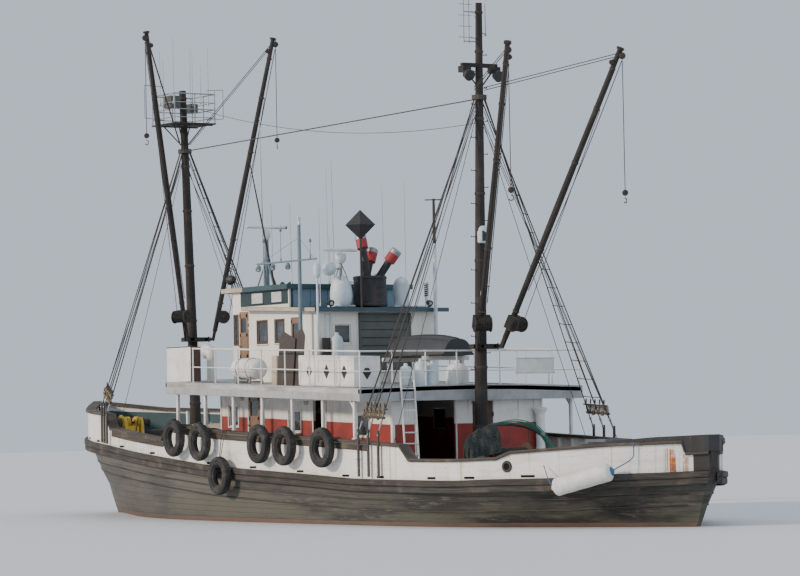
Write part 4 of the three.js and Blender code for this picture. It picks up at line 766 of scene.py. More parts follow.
class Finishes:
    """Every material of the vessel by a plain name, made once."""

    def __init__(self) -> None:
        """Builds them all."""
        rust = (0.20, 0.085, 0.035)
        self.hull = hull_paint()
        self.bulwark = bulwark_paint()
        self.house = house_paint()
        self.deck = deck_paint()
        self.tyre = tyre_rubber()
        self.glass = glass()
        self.net = netting()
        self.guard = Grained("guard_wood", (0.060, 0.052, 0.043), (0.018, 0.016, 0.014),
                             (0.15, 0.13, 0.105)).make()
        self.cap = Grained("cap_wood", (0.085, 0.066, 0.050), (0.030, 0.024, 0.020),
                           (0.20, 0.17, 0.135)).make()
        self.spar = Grained("spar_wood", (0.030, 0.024, 0.021), (0.010, 0.009, 0.008),
                            (0.075, 0.058, 0.045)).make()
        self.door = Grained("door_wood", (0.28, 0.17, 0.105), (0.15, 0.085, 0.05), (0.38, 0.27, 0.18),
                            0.5, 0.2).make()
        self.board = Grained("plywood", (0.115, 0.075, 0.052), (0.055, 0.036, 0.028),
                             (0.19, 0.14, 0.10)).make()
        self.white = Paint("white_metal", (0.78, 0.775, 0.74), rust, 0.45, 0.30).make()
        self.cream = cabin_paint()
        self.ice = Paint("ice_white", (0.62, 0.69, 0.73), (0.26, 0.20, 0.15), 0.4, 0.3).make()
        self.fascia = Paint("fascia_grey", (0.36, 0.375, 0.38), (0.17, 0.14, 0.11), 0.6, 0.4).make()
        self.tan = Paint("tan_paint", (0.50, 0.41, 0.31), (0.22, 0.16, 0.11), 0.6, 0.35).make()
        self.taupe = Paint("weathered_ply", (0.060, 0.050, 0.044), (0.11, 0.09, 0.075), 0.75, 0.5).make()
        self.pole_blue = Paint("pole_paint", (0.155, 0.215, 0.245), (0.10, 0.08, 0.06), 0.55, 0.35).make()
        self.tarred = Paint("tarred_steel", (0.032, 0.031, 0.032), (0.085, 0.055, 0.035), 0.6, 0.5).make()
        self.trim = Paint("pale_trim", (0.66, 0.65, 0.60), (0.22, 0.17, 0.12), 0.6, 0.45).make()
        self.roof = Paint("slate_paint", (0.055, 0.092, 0.112), (0.10, 0.10, 0.09), 0.6, 0.4).make()
        self.teal = Paint("teal_paint", (0.030, 0.078, 0.092), (0.06, 0.06, 0.055), 0.55, 0.4).make()
        self.night = Paint("night_teal", (0.012, 0.034, 0.040), (0.03, 0.03, 0.03), 0.5, 0.3).make()
        # Near-black for the insides of scuppers and fairleads: painted shade in the openings.
        self.hollow = Paint("painted_hole_shade", (0.005, 0.005, 0.005), (0.012, 0.010, 0.009), 0.95, 0.2).make()
        self.slate = Paint("plate_steel", (0.13, 0.155, 0.18), (0.26, 0.11, 0.045), 0.55, 0.55,
                           0.2).make()
        self.louvre = Paint("louvre_grey", (0.085, 0.092, 0.085), (0.08, 0.07, 0.06), 0.6, 0.4).make()
        self.black = Paint("black_paint", (0.020, 0.020, 0.021), (0.13, 0.07, 0.04), 0.45, 0.35).make()
        self.red = Paint("red_tip", (0.34, 0.030, 0.032), (0.09, 0.03, 0.025), 0.5, 0.4).make()
        self.yellow = Paint("yellow_paint", (0.62, 0.41, 0.045), (0.18, 0.08, 0.03), 0.5, 0.55).make()
        self.blue = Paint("blue_paint", (0.05, 0.13, 0.30), (0.08, 0.08, 0.08), 0.5, 0.3).make()
        # Pale blue-grey painted as the shade on the raised house's aft boards.
        self.shade_blue = Paint("painted_shade_blue", (0.19, 0.29, 0.37), (0.16, 0.14, 0.11), 0.6, 0.3).make()
        self.skiff = Paint("grey_canvas", (0.038, 0.045, 0.050), (0.12, 0.11, 0.10), 0.6, 0.35).make()
        self.brown = Paint("brown_paint", (0.085, 0.045, 0.032), (0.03, 0.025, 0.02), 0.6, 0.35).make()
        self.iron_brown = Paint("winch_iron", (0.085, 0.052, 0.036), (0.20, 0.095, 0.045), 0.75, 0.6,
                                0.2).make()
        self.rust_dark = Paint("dark_iron", (0.060, 0.046, 0.040), (0.17, 0.075, 0.035), 0.75, 0.5,
                               0.2).make()
        self.steel = Paint("galvanised", (0.33, 0.34, 0.345), (0.22, 0.12, 0.06), 0.45, 0.4, 0.75).make()
        self.bronze = Paint("bronze", (0.55, 0.33, 0.13), (0.12, 0.20, 0.13), 0.4, 0.4, 0.9).make()
        self.wire = Laid("wire_rope", (0.075, 0.066, 0.058), (0.022, 0.020, 0.018), 0.05, 0.3).make()
        self.rope = Laid("manila_rope", (0.40, 0.32, 0.20), (0.16, 0.12, 0.07), 0.045).make()
        self.dark_rope = Laid("tarred_rope", (0.10, 0.085, 0.066), (0.035, 0.030, 0.024), 0.045).make()
        self.green_rope = Laid("green_hose", (0.05, 0.22, 0.16), (0.02, 0.09, 0.07), 0.06).make()
        self.blue_rope = Laid("blue_rope", (0.06, 0.16, 0.34), (0.02, 0.06, 0.14), 0.045).make()
        self.canvas = Paint("canvas", (0.33, 0.30, 0.24), (0.15, 0.12, 0.09), 0.9, 0.45, 0.0, 120.0,
                            0.003).make()
        self.lamp = lamp_glass("lamp_clear", (0.62, 0.62, 0.58))


class Yard:
    """Makes pieces into objects, gives them finishes, sets them on bodies and counts them."""

    def __init__(self, finishes: Finishes) -> None:
        """Keeps the finishes and starts the count."""
        self.finishes = finishes
        self.count = 0

    def piece(self, name: str, skin: Skin, material: bpy.types.Material, slot: Finish,
              body: str | None = ROOT, replaces: Iterable[str] = (),
              crease: float = 38.0) -> bpy.types.Object:
        """Makes one piece of the vessel.

        Args:
            name: The piece's name.
            skin: Its surfaces.
            material: Its finish.
            slot: The record's slot for that finish; not used.
            body: The body it rides on, or None to leave it on no body.
            replaces: CAD nodes that it stands for.
            crease: Angle in degrees past which an edge is sharp.
        Returns:
            The object.
        """
        item = bpy.data.objects.new(name, skin.mesh(name, crease))
        bpy.context.scene.collection.objects.link(item)
        item.data.materials.append(material)
        if body is not None:
            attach(item, body)
        nodes = list(replaces)
        if nodes:
            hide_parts(*nodes)
        self.count += 1
        log.info("%s: %d faces", name, len(item.data.polygons))
        return item

    @staticmethod
    def dress(material: bpy.types.Material, *nodes: str) -> None:
        """Gives CAD nodes that stay in view a finish."""
        for node in nodes:
            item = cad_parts[node]
            item.data.materials.clear()
            item.data.materials.append(material)

    def cord(self, name: str, path: Array, radius: float, material: bpy.types.Material, lay: str,
             far_end: str = "bare") -> bpy.types.Object:
        """Makes a free line as a tube along its own points.

        Args:
            name: The piece's name.
            path: Points that the line follows, from its exit.
            radius: Half its thickness.
            material: Its finish.
        Returns:
            The object.
        """
        points = np.asarray(path, float)
        item = self.piece(name, Skin().tube(points, radius, 8), material, Finish.WIRE)
        return item


def coiled(x: float, y: float, z: float, reach: float, turns: int, radius: float) -> Array:
    """Points of a coil of line on a deck, each turn a little more than its thickness over the last."""
    turn = np.linspace(0.0, TAU * turns, 28 * turns + 1)
    rise = z + radius + 2.15 * radius * turn / TAU
    return np.column_stack([x + reach * np.cos(turn), y + reach * np.sin(turn), rise])


@dataclass
class Lines:
    """The hull's lines: the deck edge, half breadths lower down and the bulwark's height, all in metres."""

    # rows of station, half breadth and, for the deck, height
    deck: tuple = ((-14.75, 0.12, 1.33), (-14.1, 0.74, 1.30), (-13.05, 1.60, 1.27), (-11.9, 2.35, 1.20),
                   (-10.3, 3.12, 1.18), (-8.9, 3.42, 1.15), (-6.9, 3.50, 1.165), (-4.9, 3.52, 1.19),
                   (-2.9, 3.52, 1.28), (-0.5, 3.51, 1.38), (2.3, 3.49, 1.51), (5.1, 3.42, 1.73),
                   (7.1, 3.27, 1.89), (9.1, 2.97, 2.06), (10.6, 2.62, 2.15), (12.1, 2.07, 2.22),
                   (13.6, 1.32, 2.29), (14.6, 0.70, 2.34), (15.45, 0.10, 2.39))
    water: tuple = ((-14.12, 0.06), (-12.9, 0.85), (-10.9, 2.0), (-8.9, 2.9), (-5.9, 3.35), (-1.9, 3.4),
                    (2.1, 3.3), (5.1, 3.05), (7.1, 2.65), (9.1, 2.05), (11.1, 1.25), (13.1, 0.42),
                    (14.1, 0.06))
    bilge: tuple = ((-13.3, 0.08), (-12.6, 0.45), (-11.0, 1.25), (-9.0, 2.2), (-7.0, 2.75), (-4.0, 3.05),
                    (1.0, 3.0), (5.0, 2.6), (8.0, 1.95), (10.0, 1.3), (12.0, 0.55), (13.35, 0.06))
    low: tuple = ((-11.7, 0.11), (-10.5, 0.55), (-9.0, 1.15), (-7.0, 1.85), (-4.0, 2.4), (0.0, 2.45),
                  (4.1, 2.08), (7.1, 1.48), (9.1, 0.9), (11.1, 0.35), (12.6, 0.06))
    garboard: tuple = ((-11.62, 0.11), (-9.0, 0.26), (-7.0, 0.56), (-4.0, 0.95), (0.0, 1.0), (4.0, 0.72),
                       (8.0, 0.3), (11.7, 0.09))
    keel: tuple = ((-11.56, -2.75), (11.1, -2.35))
    keel_half: float = 0.105
    garboard_up: float = 0.42
    low_z: float = -1.55
    bilge_z: float = -0.75
    middle: tuple = (-14.45, 14.85)
    flare: float = 1.5
    blunt_from: float = 15.3
    stem_half: float = 0.012
    bulwark: tuple = ((-15.4, 0.35), (-14.36, 0.35), (-14.3, 0.62), (-12.0, 0.62), (-10.8, 0.56),
                      (-10.42, 0.42), (-7.3, 0.42), (-6.9, 0.77), (-4.7, 0.86), (4.85, 0.86), (5.2, 0.42),
                      (9.0, 0.42), (9.35, 0.80), (13.6, 0.76), (15.45, 0.90), (16.1, 0.93))
    wall: float = 0.11
    cap_out: float = 0.07
    cap_in: float = 0.24
    cap_thick: float = 0.075
    guard_out: float = 0.12
    guard_top: float = -0.03

    def deck_z(self, x: Array | float) -> Array:
        """Height of the deck edge."""
        return fair([(row[0], row[2]) for row in self.deck], x)

    def deck_half(self, x: Array | float) -> Array:
        """Half breadth at the deck edge."""
        return fair([(row[0], row[1]) for row in self.deck], x)

    def rail(self, x: Array | float) -> Array:
        """Height of the bulwark's top."""
        return self.deck_z(x) + along(self.bulwark, x)

    def deck_at(self, x: float) -> float:
        """Height of the deck edge at one station."""
        return float(self.deck_z(x))

    def half_at(self, x: float) -> float:
        """Half breadth at the deck edge at one station."""
        return float(self.deck_half(x))

    def rail_at(self, x: float) -> float:
        """Height of the bulwark's top at one station."""
        return float(self.rail(x))

    def cap_at(self, x: float) -> float:
        """Height of the cap's top at one station."""
        return self.rail_at(x) + self.cap_thick

    def stations(self, count: int, aft: float = -14.75, fore: float = 15.45) -> Array:
        """Stations along the deck edge, closer at the ends, with the steps of the bulwark among them."""
        t = np.linspace(0.0, 1.0, count)
        spread = aft + (fore - aft) * (t - 0.045 * np.sin(TAU * t))
        steps = [row[0] for row in self.bulwark if aft < row[0] < fore]
        return np.unique(np.concatenate([spread, steps]))

    def edge(self, x: Array, offset: float) -> Array:
        """Plan of the deck edge moved outwards square to itself, as x, y columns."""
        x = np.asarray(x, float)
        tiny = 0.02
        slope = (self.deck_half(x + tiny) - self.deck_half(x - tiny)) / (2 * tiny)
        slope = np.where(x > self.blunt_from, slope.min(), slope)
        length = np.sqrt(1.0 + slope ** 2)
        moved = np.stack([x - slope / length * offset, self.deck_half(x) + offset / length], axis=1)
        return np.maximum(moved, vec(-np.inf, self.stem_half))

    def shell(self, count: int = 150, per: int = 6) -> Array:
        """Port side of the hull as a grid: stations along the length by points from the keel to the deck.

        Each level is a table of half breadths. A station takes the same share of every level's length, and
        a smooth curve joins its levels from the keel up.
        """
        share = np.linspace(0.0, 1.0, count)
        share = share - 0.05 * np.sin(TAU * share)
        deck = np.array(self.deck)
        x_deck = deck[0, 0] + (deck[-1, 0] - deck[0, 0]) * share
        z_deck, half_deck = self.deck_z(x_deck), self.deck_half(x_deck)
        keel_x = self.keel[0][0] + (self.keel[1][0] - self.keel[0][0]) * share
        keel_z = self.keel[0][1] + (self.keel[1][1] - self.keel[0][1]) * share
        rows = [np.stack([keel_x, np.full(count, self.keel_half), keel_z], axis=1)]
        for table, z in ((self.garboard, keel_z + self.garboard_up),
                         (self.low, np.full(count, self.low_z)),
                         (self.bilge, np.full(count, self.bilge_z)), (self.water, np.zeros(count))):
            x = table[0][0] + (table[-1][0] - table[0][0]) * share
            rows.append(np.stack([x, fair(table, x), z], axis=1))
        mid_x = self.middle[0] + (self.middle[1] - self.middle[0]) * share
        rows.append(np.stack([mid_x, (rows[-1][:, 1] + self.flare * half_deck) / (1 + self.flare),
                              z_deck * 0.5], axis=1))
        rows.append(np.stack([x_deck, half_deck, z_deck], axis=1))
        levels = np.stack(rows, axis=1)
        knots = np.arange(levels.shape[1], dtype=float)
        at = np.concatenate([[0.0], np.linspace(1.0, knots[-1], per * (len(knots) - 2) + 1)])
        flat = levels.transpose(1, 0, 2).reshape(len(knots), -1)
        columns = [fair(np.stack([knots, column], axis=1), at) for column in flat.T]
        return np.stack(columns, axis=1).reshape(len(at), count, 3).transpose(1, 0, 2)


LINES = Lines()
# height in metres on which the gear of the raised roof stands
RAISED_ROOF = 6.281


def mirrored(points: Array, side: float) -> Array:
    """Points on the side that is wanted."""
    return points * vec(1.0, side, 1.0)


@dataclass
class Assembly:
    """A sub-assembly of the vessel, with the yard that makes its pieces."""

    yard: Yard

    @property
    def paint(self) -> Finishes:
        """The vessel's finishes."""
        return self.yard.finishes


@dataclass
class Hull(Assembly):
    """Planked hull, deck, guard, bulwark, cap and what is fixed to them."""

    wale: float = 0.022
    scuppers: tuple = (-12.4, -11.2, -9.6, -8.2, -6.0, -4.4, -2.2, 0.2, 2.5, 5.9, 8.1, 10.4, 12.0)
    fairleads: tuple = ((-10.7, 0.27),)

    def build(self) -> None:
        """Makes every piece of the hull."""
        self.shell()
        self.deck()
        self.guard()
        self.bulwark()
        self.cap()
        self.wales()
        self.fittings()
        self.stem()

    def shell(self) -> None:
        """Planking of both sides, both ends, the keel's bottom, its shoe and the stern bearing."""
        paint = self.paint
        side = LINES.shell()
        skin = Skin()
        skin.sheet(side, flip=True)
        skin.sheet(mirrored(side, -1.0))
        skin.sheet(np.stack([mirrored(side[:, 0], -1.0), side[:, 0]]))
        for end, turned in ((0, False), (-1, True)):
            skin.sheet(np.stack([side[end], mirrored(side[end], -1.0)]), flip=turned)
        skin.box((-13.06, -0.09, -2.75), (-11.3, 0.09, -2.615), 0.01)
        self.yard.piece("hull_planking", skin, paint.hull, Finish.HULL, replaces=["hull"], crease=50)
        log_skin = Skin().turned([(0.0, 0.0), (0.13, 0.0), (0.15, 0.25), (0.16, 0.5), (0.0, 0.5)],
                                 (-11.62, 0, -2.06), (1, 0, 0))
        self.yard.piece("stern_bearing", log_skin, paint.bronze, Finish.BRONZE)

    def deck(self) -> None:
        """Main deck inside the bulwark, with a low waterway timber."""
        x = LINES.stations(120)
        rim = LINES.edge(x, -0.002)
        z = LINES.deck_z(x)
        share = np.linspace(-1.0, 1.0, 15)
        grid = np.stack([np.broadcast_to(rim[:, :1], (len(x), 15)), rim[:, 1:] * share,
                         np.broadcast_to(z[:, None], (len(x), 15))], axis=2)
        skin = Skin().sheet(grid)
        self.yard.piece("main_deck", skin, self.paint.deck, Finish.DECK)
        for name, side in SIDES.items():
            low = [LINES.edge(x, -offset) for offset in (LINES.wall, LINES.wall + 0.16)]
            rows = []
            for plan, lift in ((low[0], 0.0), (low[0], 0.11), (low[1], 0.07), (low[1], 0.0)):
                rows.append(np.column_stack([plan, z + lift]))
            keep = slice(6, -8)
            strip = Skin().sheet(mirrored(np.stack(rows, axis=1)[keep], side), wrap=True, caps=True,
                                 flip=side > 0)
            self.yard.piece(f"waterway_{name}", strip, self.paint.cap, Finish.CAP)

    def strake(self, x: Array, low: Array, high: Array, inner: float, outer: float, side: float,
               round_by: float = 0.0) -> Array:
        """Section ring of a timber that follows the deck edge, at every station."""
        near, far = LINES.edge(x, inner), LINES.edge(x, outer)
        soft = LINES.edge(x, outer - round_by)
        lift = round_by * 1.2
        corners = ((near, low), (soft, low), (far, low + lift), (far, high - lift), (soft, high),
                   (near, high))
        rows = [np.column_stack(corner) for corner in corners]
        return mirrored(np.stack(rows, axis=1), side)

    def guard(self) -> None:
        """Heavy rubbing strake in two courses with an iron band between."""
        x = LINES.stations(150)
        z = LINES.deck_z(x) + LINES.guard_top
        skin, band = Skin(), Skin()
        for side in SIDES.values():
            for high, low, out in ((0.0, -0.145, 0.118), (-0.155, -0.30, 0.10)):
                ring_rows = self.strake(x, z + low, z + high, -0.02, out, side, 0.018)
                skin.sheet(ring_rows, wrap=True, caps=True, flip=side > 0)
            iron = self.strake(x[1:-1], z[1:-1] - 0.095, z[1:-1] - 0.05, 0.1, 0.1195, side, 0.004)
            band.sheet(iron, wrap=True, caps=True, flip=side > 0)
        self.yard.piece("guard_timbers", skin, self.paint.guard, Finish.GUARD, replaces=["guard_rail"])
        self.yard.piece("guard_band", band, self.paint.guard, Finish.GUARD)

    def bulwark(self) -> None:
        """Planked bulwark on both sides, with its stanchions."""
        x = LINES.stations(170)
        skin, inside = Skin(), Skin()
        base, top = LINES.deck_z(x), LINES.rail(x)
        for side in SIDES.values():
            ring_rows = self.strake(x, base - 0.02, top, -LINES.wall, 0.0, side)
            skin.sheet(ring_rows, wrap=True, caps=True, flip=side > 0)
            for at in np.arange(-12.6, 13.4, 0.62):
                if abs(at) > 4.9 or side < 0:
                    plan = LINES.edge(np.array([at]), -LINES.wall - 0.04)[0]
                    floor, head = LINES.deck_at(at), LINES.rail_at(at)
                    inside.beam((plan[0], plan[1] * side, floor + 0.1), (plan[0], plan[1] * side, head),
                                0.09, 0.09, 0.008)
        self.yard.piece("bulwark_planking", skin, self.paint.bulwark, Finish.BULWARK,
                        replaces=["bulwark"])
        self.yard.piece("bulwark_stanchions", inside, self.paint.bulwark, Finish.BULWARK)

    def cap(self) -> None:
        """Cap rail on the bulwark with rounded edges, and the clamp under it amidships."""
        x = LINES.stations(170)
        skin = Skin()
        top = LINES.rail(x)
        for side in SIDES.values():
            ring_rows = self.strake(x, top, top + LINES.cap_thick, -LINES.cap_in, LINES.cap_out, side,
                                    0.015)
            skin.sheet(ring_rows, wrap=True, caps=True, flip=side > 0)
        self.yard.piece("cap_timbers", skin, self.paint.cap, Finish.CAP, replaces=["cap_rail"])
        band = Skin()
        mid = x[(x > -5.6) & (x < 9.0)]
        head = LINES.rail(mid)
        for side in SIDES.values():
            band.sheet(self.strake(mid, head - 0.17, head - 0.02, -0.01, 0.022, side, 0.006), wrap=True,
                       caps=True, flip=side > 0)
        self.yard.piece("cap_clamp", band, self.paint.cap, Finish.CAP)

    def wales(self) -> None:
        """Two thin rubbing battens that run round the topsides under the guard."""
        side = LINES.shell(150, 10)
        skin = Skin()
        z_deck = side[:, -1, 2]
        for drop in (0.52, 0.78):
            target = z_deck * 0.86 + 0.16 - drop
            path = np.stack([[np.interp(level, column[:, 2], column[:, k]) for k in (0, 1)] for column,
                             level in zip(side[:, 20:], target)])
            points = np.column_stack([path, target])[2:-3]
            for hand in SIDES.values():
                skin.tube(mirrored(points, hand), self.wale, 8)
        self.yard.piece("topside_battens", skin, self.paint.guard, Finish.GUARD)

    def fittings(self) -> None:
        """Scuppers and fairleads on both sides; near-black slabs in the scuppers and discs in the fairleads
        are painted shade in the openings.
        """
        dark, iron = Skin(), Skin()
        for side in SIDES.values():
            for at in self.scuppers:
                plan = LINES.edge(np.array([at - 0.16, at + 0.16]), 0.004)
                z = LINES.deck_at(at) + 0.035
                # A near-black slab where the scupper opens: painted shade inside the hole.
                dark.beam((plan[0][0], plan[0][1] * side, z), (plan[1][0], plan[1][1] * side, z), 0.012,
                          0.055)
            for at, up in self.fairleads:
                plan = LINES.edge(np.array([at - 0.05, at + 0.05]), 0.0)
                run = plan[1] - plan[0]
                heading = vec(-run[1], run[0], 0.0) * vec(1, side, 1)
                z = LINES.deck_at(at) + up
                middle = vec(*plan.mean(axis=0), z) * vec(1, side, 1)
                iron.turned([(0.075, -0.02), (0.13, -0.02), (0.14, 0.012), (0.12, 0.03), (0.085, 0.03),
                             (0.07, 0.0)], middle, heading, 22)
                # A near-black disc across the fairlead's hole: painted shade inside it.
                dark.turned([(0.0, -0.01), (0.09, -0.01), (0.09, 0.008), (0.0, 0.008)], middle, heading,
                            18)
        self.yard.piece("scuppers", dark, self.paint.hollow, Finish.BLACK)
        self.yard.piece("fairleads", iron, self.paint.tarred, Finish.BLACK)

    def stem(self) -> None:
        """Stem timber, and the sternpost's head with its cap."""
        paint = self.paint
        side = LINES.shell(60, 10)
        bow = side[-1].copy()
        bow[:, 1] = 0.0
        keep = bow[bow[:, 2] > -2.0]
        skin = Skin().tube(keep - vec(0.03, 0, 0), np.full(len(keep), 0.085), 10)
        skin.beam((15.33, 0, 2.1), (15.43, 0, LINES.rail_at(15.3) + 0.05), 0.16, 0.16, 0.02)
        self.yard.piece("stem_timber", skin, paint.hull, Finish.HULL)
        aft = Skin()
        aft.beam((-14.62, 0, 1.15), (-14.71, 0, 1.93), 0.16, 0.14, 0.012)
        aft.beam((-14.5, 0, 1.955), (-14.77, 0, 1.955), 0.30, 0.05, 0.01)
        self.yard.piece("sternpost_head", aft, paint.guard, Finish.GUARD)


@dataclass
class Fenders(Assembly):
    """Tyres hung outside the port bulwark, their lashings and the long bolster at the stern."""

    # station and height of each tyre's middle
    tyres: tuple = ((-3.7, 1.93), (-1.84, 1.98), (-0.56, 2.04), (1.52, 1.22), (2.59, 2.12), (4.05, 2.24))
    radius: float = 0.38
    tube: float = 0.128
    # station and height of its two ends
    bolster: tuple = ((-13.35, 1.33), (-12.15, 0.95))
    bolster_r: float = 0.212

    def out(self, x: float) -> float:
        """How far off the centreline a tyre's middle hangs."""
        return LINES.half_at(x) + LINES.guard_out + 0.142

    def build(self) -> None:
        """Makes the tyres, the lashings and the bolster."""
        self.tires()
        self.lashings()
        self.hang_bolster()

    def tires(self) -> None:
        """Each tyre is a section carried round its axle: two beads, walls and a tread cut by grooves.

        Radius and half width follow a closed profile, and tread blocks stand where a square wave of the
        turn is high.
        """
        turn = np.linspace(0.0, TAU, 97)[:-1]
        part = np.linspace(0.0, TAU, 33)[:-1]
        skin = Skin()
        half, reach = self.tube * 0.82, self.tube
        along_r = reach * np.sign(np.cos(part)) * np.abs(np.cos(part)) ** 0.62
        along_w = half * np.sign(np.sin(part)) * np.abs(np.sin(part)) ** 0.62
        tread = (np.cos(part) > 0.80)[None, :]
        lugs = np.sin(turn * 36.0) > 0.1
        groove = 0.011 * (tread & ~lugs[:, None])
        rib = 0.006 * (np.abs(np.cos(part) - 0.35) < 0.12)[None, :]
        inner = np.cos(part) < -0.55
        for number, (x, z) in enumerate(self.tyres):
            slope = math.atan2(self.out(x + 0.3) - self.out(x - 0.3), 0.6)
            radial = self.radius + along_r[None, :] - groove + rib
            width = np.where(inner, along_w * 0.75, along_w)[None, :] * np.ones((96, 1))
            flat = vec(math.cos(slope), math.sin(slope), 0.0)
            away = vec(-math.sin(slope), math.cos(slope), 0.0)
            sag = 1.0 + 0.035 * np.sin(turn + number * 0.4)
            grid = (vec(x, self.out(x), z) + (radial * np.cos(turn)[:, None])[..., None] * flat
                    + (radial * (np.sin(turn) * sag)[:, None])[..., None] * vec(0, 0, 1)
                    + width[..., None] * away)
            closed = np.concatenate([grid, grid[:1]])
            skin.sheet(closed, wrap=True, flip=True)
        self.yard.piece("tyre_fenders", skin, self.paint.tyre, Finish.TYRE, replaces=["hung_tyres"],
                        crease=30)

    def lashings(self) -> None:
        """Ropes from the rail round each tyre, in twos, with a turn round the cap."""
        skin, line_r = Skin(), 0.011
        for x, z in self.tyres:
            top = z + self.radius - self.tube * 0.9
            rail = LINES.cap_at(x)
            half = LINES.half_at(x)
            for shift in (-0.035, 0.035):
                eye = (x + shift, self.out(x) - 0.02, top - 0.02)
                over = (x + shift, self.out(x) - 0.02, z + self.radius + self.tube + 0.015)
                edge = (x + shift * 2, half + LINES.cap_out + 0.015, rail - 0.01)
                inside = (x + shift * 2, half - LINES.cap_in - 0.012, rail + 0.012)
                foot = (x + shift * 2, half - LINES.cap_in - 0.012, rail - 0.35)
                outer = (x + shift, self.out(x) + self.tube * 0.92, z + self.radius + 0.02)
                below = (x + shift, self.out(x) + 0.03, top - 0.04)
                if over[2] > rail:
                    path = [outer, over, (x + shift, half + LINES.cap_out + 0.02, rail + 0.02), inside,
                            foot]
                else:
                    path = [over, edge, (x + shift * 2, half, rail + 0.012), inside, foot]
                skin.tube(smoothed(path, 16), line_r, 6)
                skin.tube(smoothed([over, outer, below, eye, over], 16)[:-1], line_r, 6, closed=True)
        self.yard.piece("tyre_lashings", skin, self.paint.dark_rope, Finish.WIRE)

    def hang_bolster(self) -> None:
        """Long round fender with turned ends, a blue cone aft and a line at each end."""
        (x0, z0), (x1, z1) = self.bolster
        clear = LINES.guard_out + self.bolster_r + 0.15
        ends = [vec(x, LINES.half_at(x) + clear, z) for x, z in ((x0, z0), (x1, z1))]
        axis = ends[1] - ends[0]
        length = float(np.linalg.norm(axis))
        r = self.bolster_r
        body, caps = Skin(), Skin()
        t = np.linspace(0.0, 1.0, 25)
        swell = r * (1 + 0.012 * np.sin(t * 19))
        profile = np.column_stack([swell, 0.12 + t * (length - 0.24)])
        body.turned(profile, ends[0], axis, 32)
        for start, sign in ((ends[0], 1.0), (ends[1], -1.0)):
            body.turned([(0.0, -0.02), (0.05, -0.02), (0.06, 0.0), (r * 0.42, 0.012), (r * 0.8, 0.05),
                         (r * 0.98, 0.09), (r + 0.002, 0.122), (0.0, 0.124)], start, axis * sign, 32)
        caps.turned([(0.0, -0.035), (0.045, -0.035), (0.095, 0.0), (0.115, 0.022), (0.0, 0.03)], ends[0],
                    axis, 24)
        self.yard.piece("bolster_body", body, self.paint.white, Finish.BULWARK,
                        replaces=["bolster_fender"])
        self.yard.piece("bolster_ends", caps, self.paint.blue, Finish.BULWARK)
        hx = x0 - 0.15
        cap_y = LINES.half_at(hx) + LINES.cap_out / 2
        top = LINES.rail_at(hx)
        blue = self.paint.blue_rope
        self.yard.cord("bolster_line_aft", smoothed([ends[0], (hx, cap_y + 0.06, top - 0.2),
                                                     (hx, cap_y + 0.055, top + 0.05),
                                                     (hx, cap_y - 0.1, top + 0.09)], 24), 0.014, blue,
                       "hanging", "object")
        low = ends[1] + vec(0.1, 0.0, 0.1)
        hold = (x1 + 0.5, LINES.half_at(x1 + 0.5) + 0.10, z1 + 0.52)
        self.yard.cord("bolster_line_fore", smoothed([ends[1], low, hold], 20), 0.012, blue, "hanging",
                       "object")


def smoothed(points: Sequence[Point], count: int) -> Array:
    """Points evenly spaced on a smooth curve through a few, by a cubic in the distance along them."""
    rows = np.asarray(points, float)
    distance = np.concatenate([[0.0], np.cumsum(np.linalg.norm(np.diff(rows, axis=0), axis=1))])
    at = np.linspace(0.0, distance[-1], count)
    return np.column_stack([fair(np.column_stack([distance, rows[:, k]]), at) for k in range(3)])


